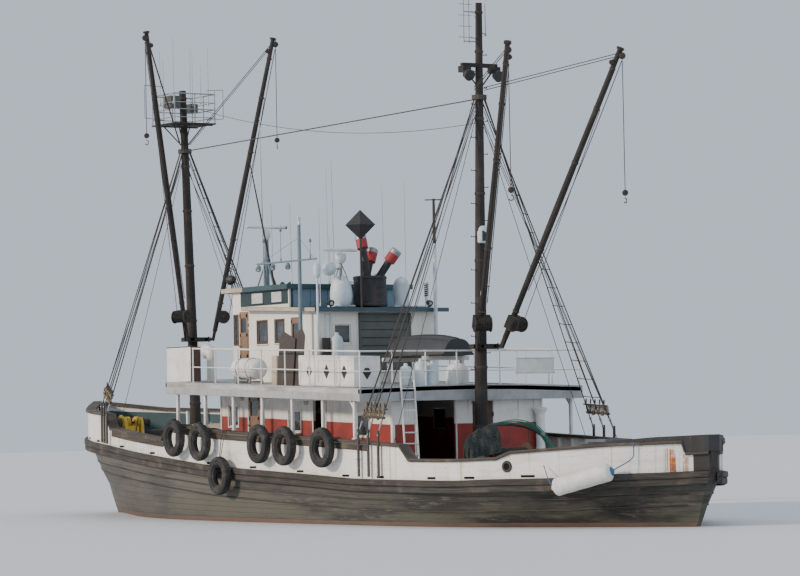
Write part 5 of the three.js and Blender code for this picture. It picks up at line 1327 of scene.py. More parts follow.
@dataclass
class BoatDeck(Assembly):
    """Boat deck with its fascia, posts, pipe rails, boards, boxes, raft and skiff."""

    aft: float = -4.95
    fore: float = 5.0
    half: float = 3.42
    z_aft: float = 3.38
    z_fore: float = 3.74
    camber: float = 0.08
    thick: float = 0.11
    fascia: float = 0.30
    inset: float = 0.06
    rows: tuple = (0.45, 0.95)
    pipe: float = 0.021
    stanchions: int = 8
    # count, first and last station, width
    posts: tuple = (7, -4.55, 4.5, 0.085)

    def edge(self, x: Array | float) -> Array:
        """Height of the deck's side edge."""
        slope = (self.z_fore - self.z_aft) / (self.fore - self.aft)
        return self.z_aft + (np.asarray(x, float) - self.aft) * slope

    def top(self, x: float, y: float) -> float:
        """Height of the deck at a point: the edge plus a camber that falls to the sides."""
        share = abs(y) / self.half
        return float(self.edge(x)) + self.camber * float(along([(0, 1), (0.5, 0.75), (1, 0)], share))

    def build(self) -> None:
        """Makes the deck's pieces."""
        self.floor()
        self.timber()
        self.rails()
        self.boards()
        self.locker()
        self.raft()
        self.skiff()
        self.clutter()
        self.vent()
        self.ladder()

    def floor(self) -> None:
        """Canvas-covered deck, cambered, with a fascia board and moulding round it."""
        paint = self.paint
        y = np.linspace(-self.half, self.half, 25)
        share = np.abs(y) / self.half
        rise = self.camber * along([(0, 1), (0.5, 0.75), (1, 0)], share)
        skin = Skin()
        stations = vec(self.aft, self.fore)
        top = np.stack([np.column_stack([np.full(25, x), y, self.edge(x) + rise + 0.001])
                        for x in stations])
        under = top - vec(0, 0, self.thick)
        skin.sheet(np.concatenate([top, under[:, ::-1]], axis=1), wrap=True, caps=True)
        self.yard.piece("boat_deck_planks", skin, paint.deck, Finish.DECK, replaces=["boat_deck"])
        trim, mould = Skin(), Skin()
        for side in SIDES.values():
            out = side * self.half
            a, b = self.edge(self.aft), self.edge(self.fore)
            mid = (a - self.fascia / 2, b - self.fascia / 2)
            trim.beam((self.aft, out - side * 0.03, mid[0]), (self.fore, out - side * 0.03, mid[1]),
                      0.058, self.fascia, 0.006)
            for lift in (0.012, -self.fascia + 0.03):
                mould.beam((self.aft, out - side * 0.012, a + lift),
                           (self.fore, out - side * 0.012, b + lift), 0.026, 0.045, 0.008)
        for x, turn in ((self.aft + 0.03, -1), (self.fore - 0.03, 1)):
            rows = np.column_stack([np.full(25, x), y, self.edge(x) + rise])
            low = rows * vec(1, 1, 0) + vec(0, 0, float(self.edge(x)) - self.fascia)
            face = np.stack([rows + vec(0.03 * turn, 0, 0), low + vec(0.03 * turn, 0, 0),
                             low - vec(0.03 * turn, 0, 0), rows - vec(0.03 * turn, 0, 0)], axis=1)
            trim.sheet(face, wrap=True, caps=True, flip=turn > 0)
            lip = rows + vec(0.018 * turn, 0, 0.0)
            mould.tube(lip, 0.02, 8)
        self.yard.piece("boat_deck_fascia", trim, paint.fascia, Finish.DECK)
        self.yard.piece("boat_deck_moulding", mould, paint.fascia, Finish.DECK)
        chocks = Skin()
        for x in (-3.7, -1.8):
            chocks.box((x - 0.06, -0.7, 4.12), (x + 0.06, 0.7, 4.229), 0.01)
            for y_foot in (-0.5, 0.5):
                chocks.box((x - 0.05, y_foot - 0.05, self.top(x, y_foot) - 0.01),
                           (x + 0.05, y_foot + 0.05, 4.13), 0.006)
        self.yard.piece("skiff_chocks", chocks, paint.trim, Finish.DECK)

    def timber(self) -> None:
        """Turned posts under a long beam on each side, and deck beams that end behind the fascia."""
        count, first, last, width = self.posts
        spots = np.linspace(first, last, count)
        outer = self.half - 0.061
        for name, side in SIDES.items():
            skin = Skin()
            y = side * (outer - width / 2)
            ends = [(x, y, float(self.edge(x)) - self.thick - 0.05)
                    for x in (self.aft + 0.07, self.fore - 0.07)]
            skin.beam(*ends, width, 0.11, 0.012)
            for x in spots:
                foot = LINES.cap_at(x)
                head = float(self.edge(x)) - self.thick - 0.09
                skin.beam((x, y, foot), (x, y, head), width, width, 0.014, up=(1, 0, 0))
                skin.box((x - 0.07, y - 0.06, foot), (x + 0.07, y + 0.06, foot + 0.03), 0.008)
                if x < self.aft + 0.6:
                    skin.beam((x, y, head - 0.3), (x + 0.3, y, head + 0.03), 0.05, 0.06, 0.008)
            self.yard.piece(f"boat_deck_post_row_{name}", skin, self.paint.white, Finish.BULWARK,
                            replaces=[f"boat_deck_posts_{name}"])
        beams = Skin()
        for x in np.arange(self.aft + 0.5, self.fore - 0.3, 0.78):
            z = float(self.edge(x)) - self.thick - 0.045
            for side in SIDES.values():
                beams.beam((x, side * 2.32, z + 0.05), (x, side * (outer - 0.09), z), 0.07, 0.09, 0.008)
        self.yard.piece("boat_deck_beams", beams, self.paint.white, Finish.BULWARK)

    def rails(self) -> None:
        """Two rows of pipe round the deck with flanged stanchions and ball joints."""
        skin = Skin()
        y = self.half - self.inset
        x0, x1 = self.aft + self.inset, 3.56
        for lift in self.rows:
            r = self.pipe if lift > 0.9 else self.pipe * 0.72
            for side in SIDES.values():
                skin.tube(line((x0 + 0.02, side * y, self.edge(x0) + lift),
                               (x1, side * y, self.edge(x1) + lift), 3), r, 8)
            skin.tube(line((x0, y - 0.02, self.edge(x0) + lift), (x0, 0.02 - y, self.edge(x0) + lift), 3),
                      r, 8)
        spots = [(x, side * y) for x in np.linspace(x0, x1, self.stanchions) for side in SIDES.values()]
        spots += [(x0, across) for across in (-2.4, -1.4, -0.45, 0.45, 1.4, 2.4)]
        for x, at in spots:
            foot = self.top(x, at)
            head = float(self.edge(x)) + self.rows[-1]
            skin.tube(line((x, at, foot - 0.004), (x, at, head), 2), self.pipe * 0.9, 8)
            skin.turned([(0.0, -0.004), (0.045, -0.004), (0.045, 0.01), (0.026, 0.02), (0.0, 0.02)],
                        (x, at, foot), sides=10)
            for lift in self.rows:
                skin.ball((x, at, float(self.edge(x)) + lift), self.pipe * 1.5, 8)
        self.yard.piece("pipe_rail", skin, self.paint.white, Finish.WHITE, replaces=["boat_deck_rail"])

    def boards(self) -> None:
        """Sidelight boards with their edges, and the blank board on the aft rail."""
        paint = self.paint
        white, dark, frames = Skin(), Skin(), Skin()
        for side in SIDES.values():
            y = side * (self.half - 0.045)
            base = float(self.edge(3.65))
            white.box((3.62, y - 0.03, base + 0.06), (4.93, y + 0.04, base + 1.0), 0.012)
            dark.beam((3.6, y - side * 0.13, base + 0.53), (3.63, y - side * 0.13, base + 0.53), 0.3,
                      0.94, 0.01)
            dark.box((3.62, y - 0.045, base + 0.985), (4.93, y + 0.045, base + 1.015), 0.008)
            for x in (3.9, 4.6):
                frames.beam((x, y - side * 0.05, base), (x, y - side * 0.05, base + 0.95), 0.04, 0.04,
                            0.006)
        z = float(self.edge(self.aft))
        white.beam((self.aft + 0.035, -2.55, z + 0.56), (self.aft + 0.035, -1.35, z + 0.56), 0.03, 0.36,
                   0.008)
        for up in (0.75, 0.37):
            frames.beam((self.aft + 0.03, -2.57, z + up), (self.aft + 0.03, -1.33, z + up), 0.045, 0.03,
                        0.006)
        self.yard.piece("sidelight_boards", white, paint.white, Finish.WHITE)
        self.yard.piece("sidelight_edges", dark, paint.brown, Finish.WHITE)
        self.yard.piece("board_battens", frames, paint.trim, Finish.WHITE)

    def locker(self) -> None:
        """Long panelled locker with diamond cut-outs in its sides and a lipped lid; thin black diamonds on
        the sides are painted shade inside the cut-outs.
        """
        x0, x1, y0, y1, high = -4.4, -1.75, 2.45, 3.23, 0.76
        base = self.top(x0, y0) + 0.001
        slope = (self.z_fore - self.z_aft) / (self.fore - self.aft)
        skin, dark = Skin(), Skin()

        def lift(at: float) -> float:
            """Height of the locker's foot at a station."""
            return base + (at - x0) * slope

        skin.beam((x0, (y0 + y1) / 2, base + high / 2), (x1, (y0 + y1) / 2, lift(x1) + high / 2),
                  y1 - y0 - 0.03, high, 0.012)
        skin.beam((x0 - 0.02, (y0 + y1) / 2, base + high), (x1 + 0.02, (y0 + y1) / 2, lift(x1) + high),
                  y1 - y0, 0.045, 0.012)
        for x in np.linspace(x0 + 0.03, x1 - 0.03, 4):
            for y in (y0 + 0.012, y1 - 0.012):
                skin.box((x - 0.045, y - 0.014, lift(x) + 0.02),
                         (x + 0.045, y + 0.014, lift(x) + high - 0.03), 0.005)
        for low in (0.03, high - 0.09):
            skin.beam((x0, y1 - 0.01, base + low + 0.03), (x1, y1 - 0.01, lift(x1) + low + 0.03), 0.022,
                      0.07, 0.005)
        tall, wide = 0.37, 0.27
        # Black diamonds laid on the sides stand for the cut-outs: painted shade inside them.
        diamond = np.array([(wide, 0, 0), (0, 0, tall), (-wide, 0, 0), (0, 0, -tall)])
        for x in (x0 + 0.48, (x0 + x1) / 2, x1 - 0.48):
            rim = diamond * 0.5 + vec(x, y1 - 0.0145, lift(x) + high * 0.5)
            dark.prism(rim, (0, 0.006, 0))
        across = diamond[:, [1, 0, 2]] * 0.5
        dark.prism(across + vec(x0 + 0.002, (y0 + y1) / 2, base + high * 0.5), (-0.006, 0, 0))
        self.yard.piece("locker_panels", skin, self.paint.white, Finish.BULWARK, replaces=["deck_locker"])
        self.yard.piece("locker_cutouts", dark, self.paint.black, Finish.BLACK)

    def raft(self) -> None:
        """Raft canister in two shells with ribs and a joint flange, on cradle feet with straps."""
        x0, x1, y, r = 0.87, 2.13, 2.82, 0.27
        low = self.top(1.5, 2.6) + 0.003
        start, end = vec(x0, y, low + 0.38), vec(x1, y, low + 0.42)
        length = float(np.linalg.norm(end - start))
        t = np.linspace(0.0, 1.0, 61)
        dome = np.clip(np.minimum(t, 1 - t) / 0.13, 0, 1)
        wide = r * np.sqrt(1 - (1 - dome) ** 2) * (1 + 0.022 * (np.cos(t * TAU * 7) > 0.3))
        shell, bands = Skin(), Skin()
        shell.turned(np.column_stack([wide, t * length]), start, end - start, 32)
        shell.beam(start + vec(0.05, 0, 0), end - vec(0.05, 0, 0), 2 * r + 0.045, 0.03, 0.008)
        for share in (0.3, 0.7):
            at = start + (end - start) * share
            bands.tube(upright_ring(at, r + 0.012, 40), 0.012, 6, closed=True, up=(1, 0, 0))
        for x in (1.15, 1.85):
            for side in (-1, 1):
                bands.beam((x, y + side * 0.19, self.top(x, y)), (x, y + side * 0.16, low + 0.2), 0.06,
                           0.04, 0.006)
            bands.box((x - 0.03, y - 0.22, low + 0.02), (x + 0.03, y + 0.22, low + 0.07), 0.006)
        self.yard.piece("raft_canister", shell, self.paint.white, Finish.WHITE, replaces=["liferaft"])
        self.yard.piece("raft_cradle", bands, self.paint.steel, Finish.WHITE)

    def skiff(self) -> None:
        """Upturned round-bilged skiff with keel, rubbing strakes and thwart ends."""
        rows = np.array([(-4.3, 0.47, 0.42), (-3.5, 0.60, 0.52), (-2.6, 0.62, 0.55), (-1.7, 0.45, 0.52),
                         (-1.25, 0.18, 0.40), (-1.1, 0.04, 0.30)])
        keel_z, columns = 4.232, 25
        x = np.linspace(rows[0, 0], rows[-1, 0], 41)
        half = fair(rows[:, [0, 1]], x)[:, None]
        high = fair(rows[:, [0, 2]], x)[:, None]
        part = np.linspace(-1, 1, columns)[None, :]
        y = half * np.sign(part) * np.abs(part) ** 0.8
        z = keel_z + high * (1 - np.abs(part) ** 2.7)
        grid = np.stack(np.broadcast_arrays(x[:, None], y, z), axis=2)
        skin = Skin().sheet(grid)
        skin.fan(grid[0])
        skin.fan(grid[-1][::-1])
        skin.sheet(np.stack([grid[:, -1], grid[:, 0]], axis=1))
        keel = grid[:, columns // 2] + vec(0, 0, 0.012)
        strakes = Skin().tube(keel, 0.022, 6)
        for column in (0, -1):
            strakes.tube(grid[:, column] + vec(0, 0, 0.025), 0.022, 6)
        for column in (columns // 4, columns * 3 // 4):
            strakes.tube(grid[1:-3, column], 0.009, 6)
        self.yard.piece("skiff_shell", skin, self.paint.skiff, Finish.SKIFF, replaces=["skiff"],
                        crease=60)
        self.yard.piece("skiff_strakes", strakes, self.paint.guard, Finish.SKIFF)

    def clutter(self) -> None:
        """Leaning panels, a cream box, bottles, the rounded tank, a board and coils of line."""
        paint = self.paint
        panels, box, drums, tank = Skin(), Skin(), Skin(), Skin()
        for x, y, wide, high, peak, lean in ((-0.92, 3.16, 0.80, 1.32, 0.17, 0.10),
                                             (-1.46, 3.13, 0.50, 1.42, -0.08, 0.12)):
            foot = self.top(x, y) + 0.012
            rim = vec((-wide / 2, 0, 0), (wide / 2, 0, 0), (wide / 2, 0, high - 0.1),
                      (peak, 0, high + 0.08), (-wide / 2, 0, high - 0.12))
            rim[:, 1] = -lean * rim[:, 2] / high
            panels.prism((rim + vec(x, y, foot))[::-1], (0, -0.02, 0))
        foot = self.top(-0.27, 2.95)
        box.box((-0.40, 2.75, foot), (-0.14, 3.1, foot + 0.78), 0.02)
        for x, y, r, high in ((-4.55, 1.32, 0.16, 0.62), (-4.50, 0.94, 0.15, 0.56),
                              (-4.2, 1.55, 0.15, 0.5), (-0.75, 1.45, 0.17, 1.27)):
            foot = self.top(x, y)
            drums.turned([(0, 0), (r, 0), (r * 1.03, high * 0.04), (r, high * 0.08), (r, high * 0.86),
                          (r * 0.8, high * 0.95), (r * 0.35, high), (r * 0.3, high + 0.06),
                          (0, high + 0.07)], (x, y, foot), sides=20)
        foot = self.top(-0.7, 1.76)
        board = Skin().beam((-0.7, 1.62, foot + 0.6), (-0.7, 1.88, foot + 0.6), 0.03, 1.2, 0.008)
        self.yard.piece("aft_board", board, paint.taupe, Finish.CAP)
        foot = self.top(-4.4, 0.2)
        tank.turned([(0, 0), (0.27, 0.0), (0.3, 0.05), (0.3, 0.34), (0.27, 0.44), (0.18, 0.52),
                     (0.07, 0.55), (0.06, 0.6), (0, 0.6)], (-4.45, 0.15, foot), sides=28)
        for x, y, r, turns in ((2.9, -2.6, 0.24, 3), (-1.1, 2.75, 0.22, 3)):
            path = coiled(x, y, self.top(x, y) + 0.004, r, turns, 0.016)
            self.yard.cord(f"line_coil_{'fore' if x > 0 else 'aft'}", path, 0.016, paint.rope, "coiled")
        self.yard.piece("leaning_panels", panels, paint.taupe, Finish.CAP)
        self.yard.piece("vent_box", box, paint.tan, Finish.WHITE)
        self.yard.piece("gas_bottles", drums, paint.ice, Finish.WHITE)
        self.yard.piece("rounded_tank", tank, paint.white, Finish.WHITE)

    def vent(self) -> None:
        """Cowl vent: a pipe that bends into a wide bell with a rolled rim."""
        x, y, top = 4.33, 2.35, 4.56
        foot = self.top(x, y)
        angle = np.linspace(0.0, math.pi / 2, 13)
        bend = np.column_stack([x + 0.16 * (1 - np.cos(angle)), np.full(13, y),
                                top - 0.13 + 0.16 * np.sin(angle)])
        path = np.concatenate([[(x, y, foot), (x, y, foot + 0.05), (x, y, top - 0.3)], bend,
                               [(x + 0.2, y, top + 0.03), (x + 0.24, y, top + 0.03)]])
        wide = np.concatenate([[0.15, 0.13, 0.13], np.linspace(0.13, 0.165, 13), [0.195, 0.207]])
        skin = Skin().tube(path, wide, 28, caps=False, up=(0, 1, 0))
        skin.tube(path[3:], wide[3:] - 0.006, 28, caps=False, up=(0, 1, 0), inward=True)
        rim = upright_ring((x + 0.24, y, top + 0.03), 0.205, 36)
        skin.tube(rim, 0.008, 6, closed=True, up=(1, 0, 0))
        self.yard.piece("cowl", skin, self.paint.white, Finish.WHITE, replaces=["cowl_vent"], crease=60)

    def ladder(self) -> None:
        """Wooden ladder from the after deck to the boat deck."""
        foot, head = vec(-5.15, 2.0, LINES.deck_at(-5.15)), vec(-4.974, 2.0, 3.46)
        reach = foot + (head - foot) * (3.85 - foot[2]) / (head[2] - foot[2])
        skin = Skin()
        for side in (-0.2, 0.2):
            skin.beam(foot + vec(0, side, 0.003), reach + vec(0, side, 0), 0.04, 0.05, 0.01, up=(1, 0, 0))
        for share in np.linspace(0.1, 0.93, 9):
            at = foot + (reach - foot) * share
            skin.tube(line(at - vec(0, 0.2, 0), at + vec(0, 0.2, 0)), 0.017, 8)
        self.yard.piece("ladder", skin, self.paint.white, Finish.WHITE, replaces=["boat_deck_ladder"])


@dataclass
class Houses(Assembly):
    """Deckhouse and pilothouse: painted walls, windows, doors, roofs and what hangs on them."""

    # aft and fore end, half width, thickness of the walls
    house: tuple = (-4.7, 3.95, 2.3, 0.06)
    pilot: tuple = (-0.55, 3.95, 1.87, 0.05)
    # openings: both ends, low and high over the deck edge, or absolute in the pilothouse
    house_lights: tuple = ((-3.6, -3.0, 0.95, 1.5), (-0.25, 0.35, 0.95, 1.5), (3.0, 3.5, 0.95, 1.5))
    house_ways: tuple = ((1.82, 2.43, 0.13, 1.85), (-1.5, -0.9, 0.13, 1.8))
    front_lights: tuple = ((-1.5, -0.9), (-0.25, 0.25), (0.9, 1.5))
    aft_way: tuple = (0.4, 1.6, 0.13, 1.9)
    aft_door: tuple = (-0.76, -0.13, 0.13, 1.85)
    wheel_door: tuple = (3.1, 3.6, 3.79, 5.62)
    cabin_door: tuple = (0.3, 0.88, 3.68, 5.38)
    side_lights: tuple = ((2.13, 2.62, 4.76, 5.32), (1.25, 1.68, 4.76, 5.32), (3.68, 3.86, 4.76, 5.52))
    brow_lights: tuple = ((-1.68, -1.08), (-0.96, -0.36), (-0.24, 0.24), (0.36, 0.96), (1.08, 1.68))
    brow_z: tuple = (4.85, 5.6)
    aft_light: tuple = (0.9, 1.4, 4.65, 5.15)
    # half width, aft and fore end, underside aft and fore, thickness
    roof: tuple = (2.1, -0.75, 3.1, 5.48, 5.64, 0.11)
    # half width, aft and fore end, underside, thickness
    wheel_roof: tuple = (2.0, 0.85, 4.35, 6.15, 0.13)
    sash: float = 0.045
    proud: float = 0.018

    def roof_top(self, x: float) -> float:
        """Height of the pilothouse roof's top."""
        _, aft, fore, low, high, thick = self.roof
        return low + (x - aft) * (high - low) / (fore - aft) + thick

    def build(self) -> None:
        """Dresses the walls and makes the pieces on them."""
        paint = self.paint
        for wall in ("port", "starboard", "front", "aft"):
            self.yard.dress(paint.house, f"deckhouse_{wall}_wall")
            self.yard.dress(paint.cream, f"pilothouse_{wall}_wall")
        self.windows()
        self.doors()
        self.walls_trim()
        self.roofs()
        self.panels()
        self.inside()

    @staticmethod
    def on_wall(at: float, out: float, z: float, end: bool) -> tuple[float, float, float]:
        """A point at a place along a wall and at its distance; end walls run across the vessel."""
        return (out, at, z) if end else (at, out, z)

    def frame(self, skin: Skin, span: tuple, z: tuple, face: float, turn: int, end: bool = False) -> None:
        """Four battens round an opening in a wall whose outside lies at face and looks the way of turn."""
        out = face + turn * self.proud / 2
        half, (a, b), (z0, z1) = self.sash / 2, span, z
        for up in (z0 - half, z1 + half):
            skin.beam(self.on_wall(a - self.sash, out, up, end),
                      self.on_wall(b + self.sash, out, up, end), self.proud, self.sash, 0.005)
        for at in (a - half, b + half):
            skin.beam(self.on_wall(at, out, z0, end), self.on_wall(at, out, z1, end), self.sash,
                      self.proud, 0.005, up=self.on_wall(0, 1, 0, end))

    def pane(self, panes: Skin, sashes: Skin, span: tuple, z: tuple, face: float,
             end: bool = False) -> None:
        """One pane in a wall's thickness with a thin sash round it."""
        (a, b), (z0, z1) = span, z
        panes.box(self.on_wall(a + 0.002, face - 0.004, z0 + 0.002, end),
                  self.on_wall(b - 0.002, face + 0.004, z1 - 0.002, end), 0.001)
        for up in (z0 + 0.014, z1 - 0.014):
            sashes.beam(self.on_wall(a + 0.001, face, up, end), self.on_wall(b - 0.001, face, up, end),
                        0.03, 0.024, 0.003)
        for at in (a + 0.014, b - 0.014):
            sashes.beam(self.on_wall(at, face, z0 + 0.026, end), self.on_wall(at, face, z1 - 0.026, end),
                        0.024, 0.03, 0.003, up=self.on_wall(0, 1, 0, end))

    def windows(self) -> None:
        """Panes in the middle of the walls, their sashes, and battens round every opening."""
        paint = self.paint
        frames, house_frames, panes, sills, aft_frame = Skin(), Skin(), Skin(), Skin(), Skin()
        _, _, half, wall = self.house
        for side in SIDES.values():
            for x0, x1, low, high in (*self.house_lights, *self.house_ways[1:], *self.house_ways[:1]):
                base = LINES.deck_at((x0 + x1) / 2)
                if side < 0 and (x0, x1) == self.house_ways[0][:2]:
                    continue
                self.frame(house_frames, (x0, x1), (base + low, base + high), side * half, side)
            for x0, x1, low, high in self.house_lights:
                base = LINES.deck_at((x0 + x1) / 2)
                self.pane(panes, house_frames, (x0, x1), (base + low, base + high),
                          side * (half - wall / 2))
        fore = self.house[1]
        base = max(LINES.deck_at(fore), LINES.deck_at(fore - wall))
        for y in self.front_lights:
            self.frame(house_frames, y, (base + 0.9, base + 1.45), fore, 1, end=True)
            self.pane(panes, house_frames, y, (base + 0.9, base + 1.45), fore - wall / 2, end=True)
        aft = self.house[0]
        base = LINES.deck_at(aft + wall)
        self.frame(house_frames, self.aft_way[:2], (base + self.aft_way[2], base + self.aft_way[3]), aft,
                   -1, end=True)
        _, _, half, wall = self.pilot
        for side in SIDES.values():
            for x0, x1, z0, z1 in self.side_lights:
                self.frame(frames, (x0, x1), (z0, z1), side * half, side)
                self.pane(panes, frames, (x0, x1), (z0, z1), side * (half - wall / 2))
                if x1 < 3:
                    sills.beam((x0 - 0.08, side * (half + 0.03), z0 - 0.06),
                               (x1 + 0.08, side * (half + 0.03), z0 - 0.06), 0.055, 0.025, 0.006)
        for y in self.brow_lights:
            self.frame(frames, y, self.brow_z, self.pilot[1], 1, end=True)
            self.pane(panes, frames, y, self.brow_z, self.pilot[1] - wall / 2, end=True)
        y0, y1, z0, z1 = self.aft_light
        self.frame(aft_frame, (y0, y1), (z0, z1), self.pilot[0], -1, end=True)
        self.pane(panes, aft_frame, (y0, y1), (z0, z1), self.pilot[0] + wall / 2, end=True)
        self.yard.piece("aft_window_frame", aft_frame, paint.cream, Finish.CREAM)
        self.yard.piece("pilothouse_battens", frames, paint.brown, Finish.DOOR)
        self.yard.piece("deckhouse_battens", house_frames, paint.white, Finish.WHITE)
        self.yard.piece("window_glass", panes, paint.glass, Finish.BLACK)
        self.yard.piece("window_sills", sills, paint.cream, Finish.CREAM)

    def doors(self) -> None:
        """Door leaves keep their solids; rails, a panel, a pane and a handle ride on each one's body."""
        paint = self.paint
        leaves = [("deckhouse_port_door", self.house_ways[0], self.house[2], 1, True),
                  *((f"wheelhouse_door_{name}", self.wheel_door, self.pilot[2], side, False) for name,
                    side in SIDES.items()), *((f"cabin_door_{name}", self.cabin_door, self.pilot[2], side,
                                               False) for name, side in SIDES.items())]
        for name, (x0, x1, low, high), face, side, on_deck in leaves:
            self.yard.dress(paint.door, name)
            base = LINES.deck_at((x0 + x1) / 2) if on_deck else 0.0
            z0, z1 = base + low + 0.008, base + high - 0.008
            y = side * (face + 0.009)
            skin, pane, knob = Skin(), Skin(), Skin()
            for at in (z0 + 0.07, z0 + 0.62, z1 - 0.62, z1 - 0.1):
                skin.beam((x0 + 0.05, y, at), (x1 - 0.02, y, at), 0.012, 0.09, 0.003)
            for at in (x0 + 0.085, x1 - 0.055):
                skin.beam((at, y, z0 + 0.03), (at, y, z1 - 0.03), 0.075, 0.012, 0.003, up=(0, 1, 0))
            skin.box((x0 + 0.17, y - 0.005, z0 + 0.16), (x1 - 0.14, y + 0.005, z0 + 0.53), 0.004)
            pane.box((x0 + 0.093, side * (face - 0.017) - 0.004, z1 - 0.557),
                     (x1 - 0.093, side * (face - 0.017) + 0.004, z1 - 0.157), 0.001)
            at = vec(x1 - 0.055, y, z0 + 0.9)
            knob.turned([(0, 0), (0.028, 0), (0.028, 0.005), (0.01, 0.008), (0.01, 0.03), (0.026, 0.042),
                         (0.02, 0.058), (0, 0.06)], at, (0, side, 0), 14)
            knob.box(at + vec(-0.018, -0.004, -0.16), at + vec(0.018, 0.004, -0.06), 0.002)
            self.yard.piece(f"{name}_rails", skin, paint.door, Finish.DOOR, body=name)
            self.yard.piece(f"{name}_pane", pane, paint.glass, Finish.DOOR, body=name)
            self.yard.piece(f"{name}_handle", knob, paint.bronze, Finish.DOOR, body=name)
        self.aft_leaf()

    def aft_leaf(self) -> None:
        """Ledged door in the aft wall, with boards and a bar handle."""
        paint = self.paint
        self.yard.dress(paint.brown, "deckhouse_aft_door")
        y0, y1, low, high = self.aft_door
        base = LINES.deck_at(self.house[0] + self.house[3])
        x = self.house[0] - 0.009
        skin, bar = Skin(), Skin()
        for y in np.linspace(y0 + 0.06, y1 - 0.06, 6):
            skin.beam((x, y, base + low + 0.03), (x, y, base + high - 0.03), 0.088, 0.01, 0.003,
                      up=(1, 0, 0))
        for z in (0.35, 1.45):
            skin.beam((x - 0.012, y0 + 0.06, base + low + z), (x - 0.012, y1 - 0.02, base + low + z),
                      0.016, 0.1, 0.004)
        at = vec(x - 0.02, y1 - 0.08, base + 1.0)
        bar.tube([at, at + vec(-0.05, 0, 0.02), at + vec(-0.05, 0, 0.16), at + vec(0, 0, 0.18)], 0.008, 8)
        self.yard.piece("deckhouse_aft_door_boards", skin, paint.brown, Finish.DOOR,
                        body="deckhouse_aft_door")
        self.yard.piece("deckhouse_aft_door_bar", bar, paint.steel, Finish.DOOR,
                        body="deckhouse_aft_door")

    def walls_trim(self) -> None:
        """Corner strips, sill logs, a row of lamps and the banded post by the aft door."""
        paint = self.paint
        log_skin, white, lamps, post = Skin(), Skin(), Skin(), Skin()
        aft, fore, half, _ = self.house
        x = np.linspace(aft + 0.02, fore - 0.02, 14)
        for side in SIDES.values():
            foot = np.column_stack([x, np.full(14, side * (half + 0.02)), LINES.deck_z(x) + 0.07])
            for start, end in zip(foot[:-1], foot[1:]):
                log_skin.beam(start, end + (end - start) * 0.004, 0.04, 0.14, 0.004)
            for at in (aft + 0.03, fore - 0.03):
                z0 = LINES.deck_at(at)
                white.beam((at, side * (half + 0.006), z0 + 0.14), (at, side * (half + 0.006), z0 + 1.86),
                           0.07, 0.02, 0.004, up=(0, 1, 0))
            for at in (-4.0, -0.6, 2.75):
                lamps.turned([(0, 0), (0.06, 0), (0.06, 0.02), (0.05, 0.03), (0.05, 0.09), (0.03, 0.12),
                              (0, 0.125)], (at, side * (half + 0.001), LINES.deck_at(at) + 1.72),
                             (0, side, 0), 16)
        z0 = LINES.deck_at(aft)
        for y in (-half + 0.03, half - 0.03):
            white.beam((aft - 0.006, y, z0 + 0.02), (aft - 0.006, y, z0 + 1.95), 0.07, 0.02, 0.004,
                       up=(1, 0, 0))
        x_post, y_post = aft - 0.16, -2.12
        post.turned([(0, 0), (0.14, 0), (0.14, 0.03), (0.115, 0.04), (0.115, 0.55), (0.13, 0.56),
                     (0.13, 0.63), (0.115, 0.64), (0.115, 1.05), (0.13, 1.06), (0.13, 1.13),
                     (0.115, 1.14), (0.115, 1.45), (0.13, 1.52), (0.19, 1.60), (0.19, 1.65), (0.0, 1.68)],
                    (x_post, y_post, z0 + 0.004), sides=24)
        self.yard.piece("deckhouse_sill_logs", log_skin, paint.guard, Finish.GUARD)
        self.yard.piece("deckhouse_corner_strips", white, paint.white, Finish.WHITE)
        self.yard.piece("deckhouse_lamps", lamps, paint.lamp, Finish.WHITE)
        self.yard.piece("banded_vent_post", post, paint.white, Finish.WHITE)

    def roofs(self) -> None:
        """Half-round mouldings and edge boards of both roofs, and the clerestory band with its panes."""
        paint = self.paint
        half, aft, fore, low, high, thick = self.roof
        self.yard.dress(paint.roof, "pilothouse_roof")
        self.yard.dress(paint.teal, "wheelhouse_roof")
        edge, band, tan, dark, panes = Skin(), Skin(), Skin(), Skin(), Skin()
        for side in SIDES.values():
            y = side * (half - 0.012)
            for lift in (0.025, thick - 0.018):
                edge.tube([(aft + 0.02, y, low + lift), (fore - 0.02, y, high + lift)], 0.012, 8)
            # Tan boards go only on the lit side and front edges; the aft edges keep the roofs' dark slate and
            # teal as painted shade.
            strip = side * (half + 0.002)
            tan.beam((aft + 0.02, strip, low + thick / 2), (fore - 0.02, strip, high + thick / 2), 0.012,
                     thick - 0.012, 0.003)
        for lift in (0.025, thick - 0.018):
            edge.tube([(aft + 0.012, -half + 0.02, low + lift), (aft + 0.012, half - 0.02, low + lift)],
                      0.012, 8)
        w_half, w_aft, w_fore, w_z, w_thick = self.wheel_roof
        for z in (w_z + 0.02, w_z + w_thick - 0.016):
            loop = [(w_aft + 0.01, -w_half + 0.01, z), (w_fore - 0.01, -w_half + 0.01, z),
                    (w_fore - 0.01, w_half - 0.01, z), (w_aft + 0.01, w_half - 0.01, z)]
            for start, end in zip(loop, loop[1:] + loop[:1]):
                band.tube([start, end], 0.01, 8)
        tan.beam((w_fore - 0.012, -w_half + 0.02, w_z + w_thick / 2),
                 (w_fore - 0.012, w_half - 0.02, w_z + w_thick / 2), 0.02, w_thick - 0.01, 0.003)
        for side in SIDES.values():
            y = side * (w_half + 0.001)
            tan.beam((3.2, y, w_z + w_thick / 2), (w_fore - 0.012, y, w_z + w_thick / 2), 0.014,
                     w_thick - 0.01, 0.003)
            low_z, high_z = self.roof_top(3.05) + 0.012, w_z - 0.006
            band_y, pane_y, bar_y = side * 1.876, side * 1.884, side * 1.888
            # The band's near-black teal is a shaded copy of the roof's teal, painted as shade on the raised
            # part's walls.
            dark.box((1.0, band_y - 0.005, low_z), (3.5, band_y + 0.005, high_z), 0.003)
